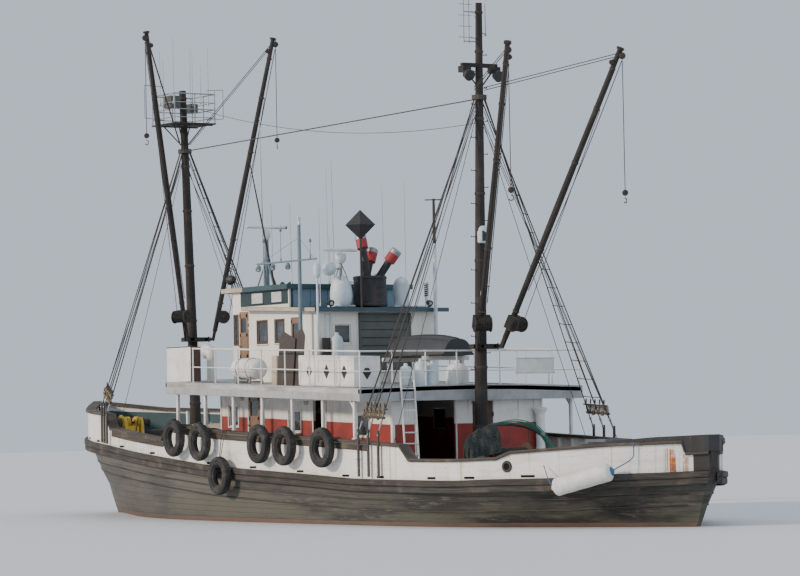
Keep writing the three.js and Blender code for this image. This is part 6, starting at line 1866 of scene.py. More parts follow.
            # The panes take the pale lamp glass as painted daylight seen through them.
            for x0, x1 in ((2.32, 2.89), (1.33, 1.84)):
                panes.box((x0, pane_y - 0.004, low_z + 0.06), (x1, pane_y + 0.004, high_z - 0.05), 0.002)
                for at in (low_z + 0.05, high_z - 0.04):
                    dark.beam((x0 - 0.03, bar_y, at), (x1 + 0.03, bar_y, at), 0.014, 0.02, 0.003)
        self.yard.piece("roof_mouldings", edge, paint.roof, Finish.ROOF)
        self.yard.piece("wheelhouse_roof_mouldings", band, paint.teal, Finish.ROOF)
        self.yard.piece("roof_edge_boards", tan, paint.tan, Finish.ROOF)
        self.yard.piece("clerestory_bands", dark, paint.night, Finish.ROOF)
        self.yard.piece("clerestory_panes", panes, paint.lamp, Finish.ROOF)

    def panels(self) -> None:
        """Slatted panel on the aft wall, boards behind the raised part in pale blue as painted shade, and
        battens.
        """
        paint = self.paint
        slats, box, strips = Skin(), Skin(), Skin()
        x = self.pilot[0]
        y0, y1, z0, z1 = -0.95, 0.62, 3.95, 5.43
        for z in np.arange(z0 + 0.11, z1 - 0.03, 0.212):
            slats.beam((x - 0.03, y0 + 0.03, z), (x - 0.03, y1 - 0.03, z), 0.014, 0.205, 0.003,
                       up=(0.12, 0, 1))
        for y in (y0, y1):
            slats.box((x - 0.055, y - 0.03, z0 - 0.02), (x - 0.001, y + 0.03, z1 + 0.02), 0.005)
        for z in (z0 - 0.02, z1):
            slats.box((x - 0.055, y0 - 0.03, z - 0.025), (x - 0.001, y1 + 0.03, z + 0.025), 0.005)
        slats.box((x - 0.012, y0, z0), (x - 0.002, y1, z1), 0.002)
        z0 = self.roof_top(0.9) + 0.004
        # The raised part's aft boards take a pale blue-grey that is painted shade on this aft face.
        for y in np.linspace(-1.62, 1.62, 13):
            box.box((0.93, y - 0.13, z0), (0.949, y + 0.13, self.wheel_roof[3] - 0.004), 0.004)
        for y in (1.52, 1.66):
            strips.box((x - 0.02, y - 0.035, 3.75), (x - 0.001, y + 0.035, 5.42), 0.004)
        self.yard.piece("slatted_panel", slats, paint.louvre, Finish.CREAM)
        self.yard.piece("raised_aft_boards", box, paint.shade_blue, Finish.ROOF)
        self.yard.piece("aft_wall_strips", strips, paint.ice, Finish.CREAM)

    def inside(self) -> None:
        """Helm stand with its wheel, a chart shelf and a bench, as seen through the panes."""
        paint = self.paint
        skin, wheel = Skin(), Skin()
        foot = 3.78
        skin.box((3.42, -1.5, foot + 0.85), (3.86, 1.5, foot + 0.92), 0.01)
        skin.box((3.6, -0.3, foot), (3.85, 0.3, foot + 0.86), 0.01)
        skin.box((0.9, -1.55, foot - 0.02), (1.6, -0.6, foot + 0.45), 0.02)
        centre = vec(3.3, 0.0, foot + 1.05)
        wheel.tube(upright_ring(centre, 0.36, 32), 0.018, 8, closed=True, up=(1, 0, 0))
        for turn in range(8):
            way = vec(0, math.cos(turn * TAU / 8), math.sin(turn * TAU / 8))
            wheel.tube([centre + way * 0.03, centre + way * 0.5], 0.012, 6)
        wheel.tube([centre - vec(0.03, 0, 0), centre + vec(0.32, 0, 0)], 0.035, 12)
        self.yard.piece("helm_shelves", skin, paint.board, Finish.DOOR)
        self.yard.piece("helm_wheel", wheel, paint.door, Finish.DOOR)


@dataclass
class Spars(Assembly):
    """Masts and booms: bands, drums, goosenecks, blocks, spans, falls, nest, crosstree and antennas."""

    # foot, head, radius at each
    foremast: tuple = ((9.4, 0.0, 2.08), (9.9, 0.0, 12.32), 0.16, 0.10)
    mainmast: tuple = ((-5.25, 0.0, 1.19), (-5.54, 0.0, 13.14), 0.18, 0.085)
    # heel, head, radius of the boom and of its drum
    fore_boom: tuple = ((9.17, 0.33, 5.05), (8.2, 2.1, 13.8), 0.08, 0.15)
    main_boom: tuple = ((-5.64, 0.31, 4.42), (-9.25, 1.7, 11.7), 0.085, 0.16)
    pivot: float = 0.125
    drum_at: float = 0.69
    below: float = 0.09
    # floor, half width, height of the rail
    nest: tuple = (11.28, 0.7, 0.9)
    # heights of the shroud bands, fore and main
    bands: tuple = (10.55, 10.74)
    # height, half length, place of the lamps
    tree: tuple = (11.55, 0.53, 0.45)

    @staticmethod
    def on(mast: tuple, z: float) -> Array:
        """Point of a mast's axis at a height."""
        foot, top = vec(*mast[0]), vec(*mast[1])
        return foot + (top - foot) * (z - foot[2]) / (top[2] - foot[2])

    @staticmethod
    def thick(mast: tuple, z: float) -> float:
        """Radius of a mast at a height."""
        return float(along([(mast[0][2], mast[2]), (mast[1][2], mast[3])], z))

    def build(self) -> None:
        """Dresses the spars and makes their fittings."""
        paint = self.paint
        self.yard.dress(paint.spar, "foremast", "mainmast")
        self.hoops()
        self.nest_gear()
        self.crosstree()
        self.antennas()
        for mast_name, mast, boom in (("fore", self.foremast, self.fore_boom),
                                      ("main", self.mainmast, self.main_boom)):
            for name, side in SIDES.items():
                self.boom(mast_name, mast, boom, name, side)

    def hoops(self) -> None:
        """Iron bands with eyes up both masts, cleats low down, and a canvas boot at each foot."""
        irons, rungs = Skin(), Skin()
        for mast, heights in ((self.foremast, (3.2, 4.0, 5.6, 7.2, 8.8, 10.1, 12.1)),
                              (self.mainmast, (2.4, 3.9, 5.0, 6.6, 8.3, 10.2, 11.9, 12.9))):
            axis = self.on(mast, 9.0) - self.on(mast, 8.0)
            for z in heights:
                r = self.thick(mast, z)
                irons.turned([(r * 0.97, -0.04), (r + 0.012, -0.035), (r + 0.012, 0.035),
                              (r * 0.97, 0.04)], self.on(mast, z), axis, 20)
                for side in (-1, 1):
                    irons.ball(self.on(mast, z) + vec(0, side * (r + 0.02), 0), 0.022, 8)
            r = self.thick(mast, mast[0][2] + 0.2)
            irons.turned([(r * 1.3, 0.0), (r * 1.28, 0.06), (r * 1.12, 0.14), (r * 1.02, 0.2),
                          (r * 0.98, 0.2)], self.on(mast, mast[0][2] + 0.03), axis, 24)
        for z in np.arange(3.0, 12.6, 0.42):
            at = self.on(self.mainmast, z)
            r = self.thick(self.mainmast, z)
            turn = 1 if int(round(z / 0.42)) % 2 else -1
            rungs.tube([at + vec(0, turn * (r - 0.01), 0), at + vec(0, turn * (r + 0.13), 0)], 0.011, 6)
            rungs.tube([at + vec(0, turn * (r + 0.13), -0.012), at + vec(0, turn * (r + 0.13), 0.03)],
                       0.011, 6)
        self.yard.piece("mast_bands", irons, self.paint.rust_dark, Finish.SPAR)
        self.yard.piece("mast_steps", rungs, self.paint.rust_dark, Finish.SPAR)

    def nest_gear(self) -> None:
        """Slatted floor on four struts, with a pipe rail in four rows and two boxes."""
        paint = self.paint
        z, half, high = self.nest
        x = float(self.on(self.foremast, z)[0])
        floor, rail, box = Skin(), Skin(), Skin()
        for y in np.linspace(-half + 0.06, half - 0.06, 11):
            if abs(y) > 0.18:
                floor.box((x - half, y - 0.05, z + 0.02), (x + half, y + 0.05, z + 0.058), 0.005)
            else:
                floor.box((x - half, y - 0.05, z + 0.02), (x - 0.16, y + 0.05, z + 0.058), 0.005)
                floor.box((x + 0.16, y - 0.05, z + 0.02), (x + half, y + 0.05, z + 0.058), 0.005)
        for at in (-0.45, 0.45):
            floor.box((x + at - 0.05, -half, z), (x + at + 0.05, half, z + 0.03), 0.006)
        for turn in range(4):
            way = ring(1.0, 4, math.pi / 4)[turn]
            floor.tube([self.on(self.foremast, z - 0.55) + vec(*(way * 0.1), 0),
                        vec(x, 0, z) + vec(*(way * 0.6), 0.01)], 0.018, 8)
        edge = half - 0.035
        corners = [(-edge, -edge), (edge, -edge), (edge, edge), (-edge, edge)]
        for lift, r in ((high, 0.019), (high * 0.72, 0.012), (high / 2, 0.015), (high * 0.24, 0.012)):
            for (ax, ay), (bx, by) in zip(corners, corners[1:] + corners[:1]):
                rail.tube([(x + ax, ay, z + lift), (x + bx, by, z + lift)], r, 8)
        for ax in (-edge, 0, edge):
            for ay in (-edge, 0, edge):
                if ax or ay:
                    rail.tube([(x + ax, ay, z + 0.02), (x + ax, ay, z + high)], 0.016, 8)
        box.box((x - 0.35, 0.30, z + 0.5), (x + 0.05, 0.62, z + 0.86), 0.015)
        box.box((x + 0.2, -0.6, z + 0.45), (x + 0.5, -0.34, z + 0.7), 0.015)
        self.yard.piece("nest_floor", floor, paint.spar, Finish.SPAR, replaces=["crows_nest"])
        self.yard.piece("nest_rail", rail, paint.steel, Finish.SPAR)
        self.yard.piece("nest_boxes", box, paint.louvre, Finish.SPAR)

    def crosstree(self) -> None:
        """Floodlights under the crosstree with brackets and lenses, and two lamps aft of the mainmast."""
        z, half, lamp_y = self.tree
        at = self.on(self.mainmast, z)
        skin, lens = Skin(), Skin()
        look = (-0.7, 0, -0.35)
        for side in (-1, 1):
            y = side * lamp_y
            skin.turned([(0.0, 0.0), (0.11, 0.0), (0.13, 0.02), (0.145, 0.16), (0.15, 0.17),
                         (0.14, 0.175)], (at[0] - 0.1, y, z - 0.22), look, 20)
            lens.turned(disc(0.13, 0.01, 0.03), (at[0] - 0.21, y, z - 0.275), look, 20)
            skin.beam((at[0], y, z - 0.05), (at[0], y, z - 0.2), 0.05, 0.03, 0.004, up=(1, 0, 0))
            skin.rod((at[0], side * 0.1, z - 0.5), (at[0], side * (half - 0.06), z - 0.06), 0.02)
        hoods, faces = Skin(), Skin()
        spot = self.on(self.mainmast, 7.25) + vec(-0.25, 0.075, 0)
        hoods.box(spot + vec(-0.1, -0.13, -0.22), spot + vec(0.1, 0.13, 0.1), 0.03)
        hoods.ball(spot + vec(0, 0, 0.1), 0.125, 16)
        faces.box(spot + vec(-0.112, -0.1, -0.17), spot + vec(-0.098, 0.1, 0.08), 0.004)
        hoods.tube([spot, self.on(self.mainmast, 7.25)], 0.025, 8)
        spot = self.on(self.mainmast, 5.42) + vec(-0.25, 0.07, 0)
        hoods.turned([(0, 0), (0.07, 0), (0.08, 0.03), (0.08, 0.34), (0.07, 0.4), (0.035, 0.44),
                      (0, 0.45)], spot, sides=20)
        hoods.tube([spot + vec(0, 0, 0.2), self.on(self.mainmast, 5.62)], 0.02, 8)
        self.yard.piece("mast_lamps", hoods, self.paint.ice, Finish.SPAR)
        self.yard.piece("mast_lamp_faces", faces, self.paint.night, Finish.SPAR)
        self.yard.piece("crosstree_lamps", skin, self.paint.black, Finish.SPAR)
        self.yard.piece("crosstree_lenses", lens, self.paint.lamp, Finish.SPAR)

    def whip(self, skin: Skin, foot: Point, top: Point, r: float = 0.012) -> None:
        """One whip aerial: a base insulator, a thick lower half and a thin upper half."""
        foot, top = vec(*foot), vec(*top)
        axis = top - foot
        length = float(np.linalg.norm(axis))
        skin.turned([(0, 0), (r * 2.2, 0), (r * 2.2, 0.05), (r * 1.5, 0.09), (r, 0.1),
                     (r * 0.8, length * 0.5), (r * 0.45, length), (0, length)], foot, axis, 8)

    def antennas(self) -> None:
        """Whips and loop frames round the nest and a ladder aerial at the head of the mainmast."""
        skin = Skin()
        z, half, high = self.nest
        x = float(self.on(self.foremast, z)[0])
        top = 13.8
        for dx, dy, head in ((-0.6, 0.66, 0.0), (0.2, 0.66, -0.35), (0.66, 0.3, -0.5), (0.66, -0.6, -0.1),
                             (-0.3, -0.66, -0.2), (-0.66, -0.2, -0.7), (0.0, -0.3, -0.25)):
            self.whip(skin, (x + dx, dy, z + high - 0.3), (x + dx, dy, top + head))
        for side, wide, low, tall in ((1, 0.62, 0.15, 1.15), (-1, 0.55, 0.2, 1.1)):
            y = side * (half + 0.02)
            rows = [(x - 0.1, y, z + low), (x - 0.1, y + side * wide, z + low + 0.05),
                    (x - 0.1, y + side * wide, z + tall), (x - 0.1, y, z + tall - 0.03)]
            for start, end in zip(rows, rows[1:]):
                skin.tube([start, end], 0.012, 6)
            skin.tube([(x - 0.1, y + side * wide * 0.5, z + low),
                       (x - 0.1, y + side * wide * 0.5, z + tall)], 0.009, 6)
        head = self.on(self.mainmast, 12.55)
        for dy in (0.30, 0.46):
            skin.tube([(head[0], dy, 12.1), (head[0], dy, 13.75)], 0.011, 6)
        for z_rung in np.arange(12.25, 13.75, 0.28):
            skin.tube([(head[0], 0.22, z_rung), (head[0], 0.62, z_rung)], 0.009, 6)
        for z_arm in (12.15, 12.9):
            skin.tube([self.on(self.mainmast, z_arm), (head[0], 0.46, z_arm)], 0.016, 6)
        self.whip(skin, (head[0], -0.2, 12.3), (head[0], -0.2, 13.8))
        skin.tube([self.on(self.mainmast, 12.4), (head[0], -0.22, 12.35)], 0.014, 6)
        self.yard.piece("mast_aerials", skin, self.paint.steel, Finish.SPAR)

    def boom(self, mast_name: str, mast: tuple, spec: tuple, name: str, side: int) -> None:
        """One boom: its solid keeps its form, and bands, drum, blocks, span and falls go on it.

        Args:
            mast_name: fore or main.
            mast: The mast's row.
            spec: Heel, head, radius of the boom and of its drum.
            name: port or starboard.
            side: 1 or -1.
        """
        paint = self.paint
        flip = vec(1, side, 1)
        heel, head = vec(*spec[0]) * flip, vec(*spec[1]) * flip
        r, drum = spec[2], spec[3]
        flat = unit((head - heel) * vec(1, 1, 0))
        start = heel + flat * self.pivot
        way = unit(head - start)
        across = unit(np.cross(vec(0, 0, 1), way))
        down = np.cross(way, across) * (1 if np.cross(way, across)[2] < 0 else -1)
        length = float(np.linalg.norm(head - start))
        body = f"{mast_name}_boom_{name}"
        neck = f"{mast_name}_gooseneck_{name}"
        self.yard.dress(paint.spar, body)
        self.yard.dress(paint.rust_dark, neck)
        irons, rope, wires = Skin(), Skin(), Skin()
        for share in (0.12, 0.33, 0.62, 0.80, 0.93):
            size = r * float(along([(0.0, 0.86), (0.45, 1.0), (1.0, 0.75)], share)) + 0.01
            irons.turned([(size * 0.9, -0.03), (size, -0.028), (size, 0.028), (size * 0.9, 0.03)],
                         start + way * length * share, way, 16)
            irons.ball(start + way * length * share + down * size, 0.022, 8)
        centre = start + way * self.drum_at + down * (r + self.below)
        half = drum + 0.06
        for sign in (-1, 1):
            irons.turned([(drum * 0.6, -0.012), (drum * 1.22, -0.012), (drum * 1.24, 0.0),
                          (drum * 1.22, 0.012), (drum * 0.6, 0.012)],
                         centre + across * sign * (half - 0.014), across, 28)
            irons.turned([(0, 0), (drum * 0.3, 0), (drum * 0.26, 0.03), (drum * 0.12, 0.04), (0, 0.045)],
                         centre + across * sign * half, across * sign, 16)
        turns = 9
        t = np.linspace(0, TAU * turns, 20 * turns)
        wide = (t / t[-1] - 0.5) * (half * 2 - 0.07)
        spot = (centre + wide[:, None] * across + (drum + 0.006)
                * (np.cos(t)[:, None] * way + np.sin(t)[:, None] * down))
        wires.tube(spot, 0.012, 6)
        tip = start + way * (length - 0.1)
        under = tip + down * (r * 0.8 + 0.02)
        self.block(irons, under, vec(0, 0, -1), 0.085)
        self.block(irons, tip + unit(vec(0, -side, 0.1)) * 0.1 - way * 0.25, -way, 0.065)
        fall_top = under - vec(0, 0, 0.2)
        reach = 3.2 if mast_name == "main" else 2.6
        anchor = start + way * 1.6 + down * (r + 0.03)
        wires.tube(sagging(fall_top + vec(0.02, 0, 0), anchor, 0.10, 20), 0.011, 6)
        hang = fall_top - vec(0.0, 0.0, reach)
        wires.tube(line(fall_top, hang, 6), 0.010, 6)
        self.block(irons, hang, vec(0, 0, -1), 0.075)
        hook_at = hang - vec(0, 0, 0.2)
        angle = np.linspace(math.pi / 2, -math.pi * 0.85, 14)
        hook = hook_at + vec(0, 0, -0.07) + 0.06 * (np.cos(angle)[:, None] * across
                                                    + np.sin(angle)[:, None] * vec(0, 0, 1))
        irons.tube(np.concatenate([[hook_at + vec(0, 0, 0.03)], hook]), 0.013, 8)
        wires.tube(line(start + way * (self.drum_at + 0.02) + down * (r + self.below + drum),
                        start + way * (length * 0.8) + down * (r + 0.02), 3), 0.009, 6)
        fan = self.on(mast, self.bands[0 if mast_name == "fore" else 1])
        rope.tube(line(start + way * length * 0.93 + down * 0.03 + across * 0.08,
                       start + way * 1.2 + across * (r + 0.03), 3), 0.011, 6)
        self.yard.piece(f"{body}_irons", irons, paint.rust_dark, Finish.SPAR, body=body)
        self.yard.piece(f"{body}_wires", wires, paint.wire, Finish.WIRE, body=body)
        self.yard.piece(f"{body}_guy", rope, paint.dark_rope, Finish.WIRE, body=body)
        self.span(mast, fan, start, way, length, neck, body, side)

    def block(self, skin: Skin, at: Array, way: Array, size: float) -> None:
        """A wooden block: two oval cheeks, a sheave between them and a strap with its eye."""
        axis = unit(way)
        side = unit(np.cross(axis, vec(0.3, 1.0, 0.1)))
        middle = at + axis * size
        for sign in (-1, 1):
            skin.turned([(0, 0), (size * 0.9, 0), (size, size * 0.12), (size * 0.8, size * 0.3),
                         (0, size * 0.36)], middle + side * sign * size * 0.16, side * sign, 14)
        skin.turned([(0, -size * 0.15), (size * 0.85, -size * 0.15), (size * 0.7, 0),
                     (size * 0.85, size * 0.15), (0, size * 0.15)], middle, side, 14)
        skin.tube([at - axis * size * 0.5, middle + axis * size * 1.1], size * 0.14, 6)

    def span(self, mast: tuple, fan: Array, start: Array, way: Array, length: float, neck: str, body: str,
             side: int) -> None:
        """Topping lift of two wires from the boom's head to the mast, baked in place on no body.

        Each wire is a straight tube with many rings.
        """
        paint = self.paint
        top = fan + vec(0, side * (self.thick(mast, fan[2]) + 0.05), 0.22)
        tip = start + way * (length - 0.2)
        skin = Skin()
        for shift in (-0.035, 0.035):
            skin.tube(line(top + vec(0, 0, shift), tip + vec(0, 0, shift), 30), 0.011, 6)
        item = self.yard.piece(f"{body}_topping_lift", skin, paint.wire, Finish.WIRE, body=None)
        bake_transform(item)


@dataclass
class Rigging(Assembly):
    """Standing rigging: shrouds, ratlines, turnbuckles, pin rails with their ropes, stays and guys."""

    spars: Spars
    fore_feet: tuple = (9.15, 9.42, 9.69)
    main_feet: tuple = (-5.15, -5.60, -6.05)
    over: float = 0.18

    def feet(self, name: str, side: int) -> list:
        """Points where the wires of one fan meet their plates."""
        xs = self.fore_feet if name == "fore" else self.main_feet
        found = []
        for x in xs:
            y = float(max(LINES.edge(vec(x - 0.035, x + 0.035), LINES.cap_out)[:, 1])) + 0.0195
            found.append(vec(x, side * y, LINES.cap_at(x) + self.over))
        return found

    def build(self) -> None:
        """Dresses the fans and makes what is on them."""
        paint = self.paint
        self.yard.dress(paint.wire, "fore_shrouds", "main_shrouds")
        turnbuckles, ratlines, pins, ropes, coils = Skin(), Skin(), Skin(), Skin(), Skin()
        spots = (("fore", self.spars.foremast, self.spars.bands[0]),
                 ("main", self.spars.mainmast, self.spars.bands[1]))
        for name, mast, z in spots:
            top = self.spars.on(mast, z)
            r = self.spars.thick(mast, z)
            for side in SIDES.values():
                feet = self.feet(name, side)
                heads = [top + vec((i - 1) * 0.075, side * (r + 0.02), 0.02 * (1 - i)) for i in range(3)]
                for foot, head in zip(feet, heads):
                    way = unit(head - foot)
                    turnbuckles.turned([(0, 0), (0.03, 0.0), (0.034, 0.03), (0.02, 0.05), (0.02, 0.2),
                                        (0.034, 0.22), (0.028, 0.26), (0.0, 0.3)], foot + way * 0.06, way,
                                       10)
                    turnbuckles.ball(foot, 0.029, 8)
                rows = 16 if side < 0 else 0
                for k in range(rows):
                    share = 0.10 + 0.83 * k / (rows - 1)
                    a = feet[0] + (heads[0] - feet[0]) * share
                    b = feet[-1] + (heads[-1] - feet[-1]) * share
                    ratlines.tube(sagging(a, b, 0.012, 5), 0.012, 6)
                self.pin_rail(pins, ropes, coils, feet, heads, side)
        self.yard.piece("turnbuckles", turnbuckles, paint.steel, Finish.WIRE)
        self.yard.piece("ratlines", ratlines, paint.dark_rope, Finish.WIRE)
        self.yard.piece("belaying_pins", pins, paint.cap, Finish.WIRE)
        self.yard.piece("running_ropes", ropes, paint.dark_rope, Finish.WIRE)
        self.yard.piece("hung_coils", coils, paint.rope, Finish.WIRE)
        self.stays()

    def pin_rail(self, pins: Skin, ropes: Skin, coils: Skin, feet: list, heads: list, side: int) -> None:
        """A board across the fan with belaying pins, the ropes that lead to it and their coils."""
        low = [foot + (head - foot) * 0.075 for foot, head in zip(feet, heads)]
        a, b = low[0] + (low[0] - low[2]) * 0.1, low[2] + (low[2] - low[0]) * 0.1
        pins.beam(a, b, 0.07, 0.035, 0.008)
        for k, share in enumerate(np.linspace(0.1, 0.9, 5)):
            at = a + (b - a) * share
            pins.turned([(0, -0.14), (0.012, -0.14), (0.012, 0.02), (0.02, 0.03), (0.02, 0.1),
                         (0.014, 0.13), (0, 0.135)], at + vec(0, 0, 0.02), sides=8)
            head = heads[1] + vec(0.04 * (k - 2), side * 0.02, -0.15 - 0.1 * k)
            if k in (0, 2, 4):
                ropes.tube(line(at + vec(0, -side * 0.03, 0.04), head, 4), 0.0095, 6)
            angle = np.linspace(0, TAU * 3, 54)
            high = 0.24 + 0.03 * (k % 2)
            loop = np.column_stack([at[0] + 0.055 * np.cos(angle) + 0.012 * np.sin(angle * 0.33),
                                    at[1] + side * (0.045 + 0.018 * angle / TAU),
                                    at[2] - high / 2 + high / 2 * np.sin(angle)])
            coils.tube(loop, 0.011, 6)

    def stays(self) -> None:
        """Light lines between the masts and from them to the rails, and a thin pole on the raised roof."""
        paint = self.paint
        lines, pole = Skin(), Skin()
        fx = self.spars.on(self.spars.foremast, 11.9)
        mx = self.spars.on(self.spars.mainmast, 12.6)
        lines.tube(sagging(fx + vec(-0.12, 0, 0), self.spars.on(self.spars.mainmast, 10.1)
                           + vec(0.12, 0, 0), 0.5, 30), 0.008, 6)
        lines.tube(sagging(mx, (-5.2, 0.0, 13.0), 0.0, 3), 0.006, 4)
        for name, mast, z in (("fore", self.spars.foremast, 10.2), ("main", self.spars.mainmast, 10.3)):
            top = self.spars.on(mast, z)
            feet = self.feet(name, 1)
            for k, (dx, side) in enumerate(((0.55, 1), (-0.9, 1), (0.6, -1), (-0.8, -1))):
                x = feet[1][0] + dx
                y = side * (LINES.half_at(x) - 0.08)
                lines.tube(line(top + vec(0, side * 0.12, -0.1 * k), (x, y, LINES.cap_at(x)), 4), 0.008,
                           6)
        foot = vec(1.9, 1.75, 6.285)
        pole.tube(line(foot, foot + vec(0.62, 0.35, 3.4), 3), np.array([0.028, 0.024, 0.012]), 8)
        pole.turned([(0, 0), (0.06, 0), (0.06, 0.02), (0.035, 0.04), (0.03, 0.12), (0, 0.12)],
                    foot - vec(0, 0, 0.003), sides=12)
        self.yard.piece("light_lines", lines, paint.wire, Finish.WIRE)
        self.yard.piece("slim_pole", pole, paint.spar, Finish.SPAR)


@dataclass
class RoofGear(Assembly):
    """Funnel and pipes, radars, pedestal, vents, lamps, signal pole and whips on the roofs."""

    houses: Houses
    spars: Spars
    # x, y, radius, top
    funnel: tuple = (-0.13, 0.0, 0.44, 6.45)
    # x and y from the funnel, radius, top, lean ahead, lean aside
    pipes: tuple = ((-0.06, 0.17, 0.1, 7.16, 0.3, 0.0), (0.15, 0.0, 0.105, 6.82, 0.35, -0.42),
                    (-0.12, -0.24, 0.105, 6.80, -0.1, -0.62))
    # x, y, radius, top of the tank, top of the gearbox
    pedestal: tuple = (-0.12, 0.9, 0.30, 6.48, 7.05)
    # x, y, top of the gearbox
    fore_radar: tuple = (3.3, 1.15, 7.85)
    # x, y, top
    pole: tuple = (-0.15, 2.19, 8.05)
    # the photograph's right, level
    right: tuple = (-0.56, -0.83, 0.0)

    def build(self) -> None:
        """Makes the gear."""
        self.yard.dress(self.paint.black, "day_shape")
        self.stack()
        self.radars()
        self.vents()
        self.signal()
        self.lamps()
        self.whips()

    def stack(self) -> None:
        """Casing with rolled rims and a door, and pipes that end in leaning red heads with grey caps."""
        paint = self.paint
        x, y, r, high = self.funnel
        base = self.houses.roof_top(x + r)
        body, pipes, heads, caps = Skin(), Skin(), Skin(), Skin()
        body.turned([(r - 0.02, base), (r, base), (r + 0.012, base + 0.02), (r + 0.012, base + 0.06),
                     (r, base + 0.08), (r, high - 0.09), (r + 0.014, high - 0.08),
                     (r + 0.014, high - 0.03), (r, high - 0.015), (r - 0.02, high), (r - 0.06, high),
                     (r - 0.08, high - 0.05), (0, high - 0.06)], (x, y, 0), sides=48)
        body.beam((x - r * 0.87, y + r * 0.55, base + 0.38), (x - r * 0.55, y + r * 0.87, base + 0.38),
                  0.02, 0.5, 0.006)
        for z in np.linspace(base + 0.12, high - 0.12, 4):
            body.tube([(x - r - 0.07, y - 0.12, z), (x - r - 0.07, y + 0.12, z)], 0.01, 6)
        for y_rail in (-0.12, 0.12):
            body.tube([(x - r - 0.07, y + y_rail, base + 0.02), (x - r - 0.07, y + y_rail, high + 0.02),
                       (x - r + 0.02, y + y_rail, high + 0.03)], 0.011, 6)
        for dx, dy, pr, top, ahead, lean in self.pipes:
            foot = vec(x + dx, y + dy, high - 0.08)
            side = vec(*self.right) * (-lean) + vec(ahead, 0, 0)
            knee = vec(x + dx, y + dy, top - 0.35)
            tip = knee + (vec(0, 0, 1) + side) * 0.42
            pipes.tube([foot, knee], pr * 0.98, 20)
            pipes.tube([knee, tip], pr * 0.98, 20)
            pipes.ball(knee, pr * 0.98, 20)
            way = unit(vec(0, 0, 1) + side * 1.1)
            pipes.turned([(pr * 0.9, -0.02), (pr * 1.15, -0.015), (pr * 1.15, 0.025), (pr * 0.9, 0.03)],
                         foot + vec(0, 0, 0.1), (0, 0, 1), 20)
            start = tip - way * 0.08
            wide = pr + 0.05
            heads.turned([(0, 0), (pr * 0.8, 0.0), (wide, 0.03), (wide, 0.275), (pr * 0.8, 0.28),
                          (0, 0.28)], start, way, 24)
            caps.turned([(0, 0.276), (wide * 1.01, 0.276), (wide * 1.02, 0.29), (wide * 1.0, 0.375),
                         (wide * 0.8, 0.41), (0, 0.42)], start, way, 24)
        self.yard.piece("funnel_casing", body, paint.black, Finish.BLACK, replaces=["funnel"])
        self.yard.piece("exhaust_pipes", pipes, paint.black, Finish.BLACK)
        self.yard.piece("exhaust_heads", heads, paint.red, Finish.BLACK)
        self.yard.piece("exhaust_caps", caps, paint.steel, Finish.BLACK)

    def gearbox(self, skin: Skin, at: Array, high: float, r: float) -> None:
        """Turning unit of a radar: a round housing with a stepped foot and a lip under its top."""
        skin.turned([(0, 0), (r * 0.62, 0.0), (r * 0.7, high * 0.1), (r * 0.95, high * 0.3),
                     (r, high * 0.55), (r, high * 0.86), (r * 0.9, high * 0.97), (r * 0.5, high),
                     (0, high)], at, sides=28)

    def bar(self, skin: Skin, x: float, y: float, z: float, half: float) -> None:
        """Scanner: a hub and a bar whose section is fuller at its middle, with rounded ends."""
        skin.turned(disc(0.058, 0.045, 0.05), (x, y, z), sides=20)
        t = np.linspace(-1, 1, 33)
        taper = np.sqrt(np.clip(1 - np.abs(t) ** 14, 0.02, 1))
        part = np.linspace(0, TAU, 17)[:-1]
        wide = 0.062 * (1 - 0.12 * t ** 2) * taper
        tall = 0.044 * (1 - 0.1 * t ** 2) * taper
        grid = np.stack([x + wide[:, None] * np.cos(part)[None, :],
                         y + np.broadcast_to((t * half)[:, None], (33, 16)),
                         z + 0.085 + tall[:, None] * np.sin(part)[None, :]], axis=2)
        skin.sheet(grid, wrap=True, caps=True)

    def radars(self) -> None:
        """Pedestal with its egg-shaped tank and round lamp, the fore post on its legs, both scanners."""
        paint = self.paint
        x, y, r, top, z = self.pedestal
        base = self.houses.roof_top(x + r * 0.75)
        egg, neck, box = Skin(), Skin(), Skin()
        t = np.linspace(0, 1, 21)
        wide = fair([(0.0, 0.72), (0.12, 0.9), (0.35, 1.0), (0.7, 0.88), (0.93, 0.48), (1.0, 0.05)],
                    t) * r
        profile = np.concatenate([[(0, base)], np.column_stack([wide, base + (top - base) * t])])
        egg.turned(profile, (x, y, 0), sides=36)
        egg.box((x - 0.2, y - 0.32, base), (x + 0.2, y + 0.32, base + 0.045), 0.01)
        neck.tube([(x, y, top - 0.05), (x, y, z - 0.25)], 0.042, 16)
        for k in range(3):
            way = ring(1.0, 3, 0.4)[k]
            neck.tube([(x + way[0] * 0.22, y + way[1] * 0.22, top - 0.16),
                       (x + way[0] * 0.03, y + way[1] * 0.03, z - 0.3)], 0.014, 8)
        neck.tube([(x, y, z - 0.42), (x - 0.12, y + 0.26, z - 0.42)], 0.02, 8)
        self.gearbox(box, vec(x, y, z - 0.26), 0.257, 0.152)
        box.ball((x - 0.1, y + 0.42, z - 0.42), 0.19, 20)
        self.yard.piece("pedestal_tank", egg, paint.ice, Finish.WHITE, replaces=["aft_radar_mast"])
        self.yard.piece("pedestal_neck", neck, paint.steel, Finish.WHITE)
        self.yard.piece("aft_radar_gearbox", box, paint.ice, Finish.WHITE)
        scan = Skin()
        self.bar(scan, x, y, z, 0.55)
        self.yard.piece("aft_scanner_bar", scan, paint.white, Finish.BLACK, body="aft_radar_scanner",
                        replaces=["aft_radar_scanner"])
        x, y, z = self.fore_radar
        deck = RAISED_ROOF + 0.002
        post, gear = Skin(), Skin()
        post.tube([(x, y, deck + 0.003), (x, y, z - 0.25)], np.array([0.074, 0.062]), 20)
        post.box((x - 0.42, y - 0.34, deck), (x + 0.08, y + 0.34, deck + 0.025), 0.006)
        for dx, dy in ((-0.35, 0), (0, 0.3), (0, -0.3)):
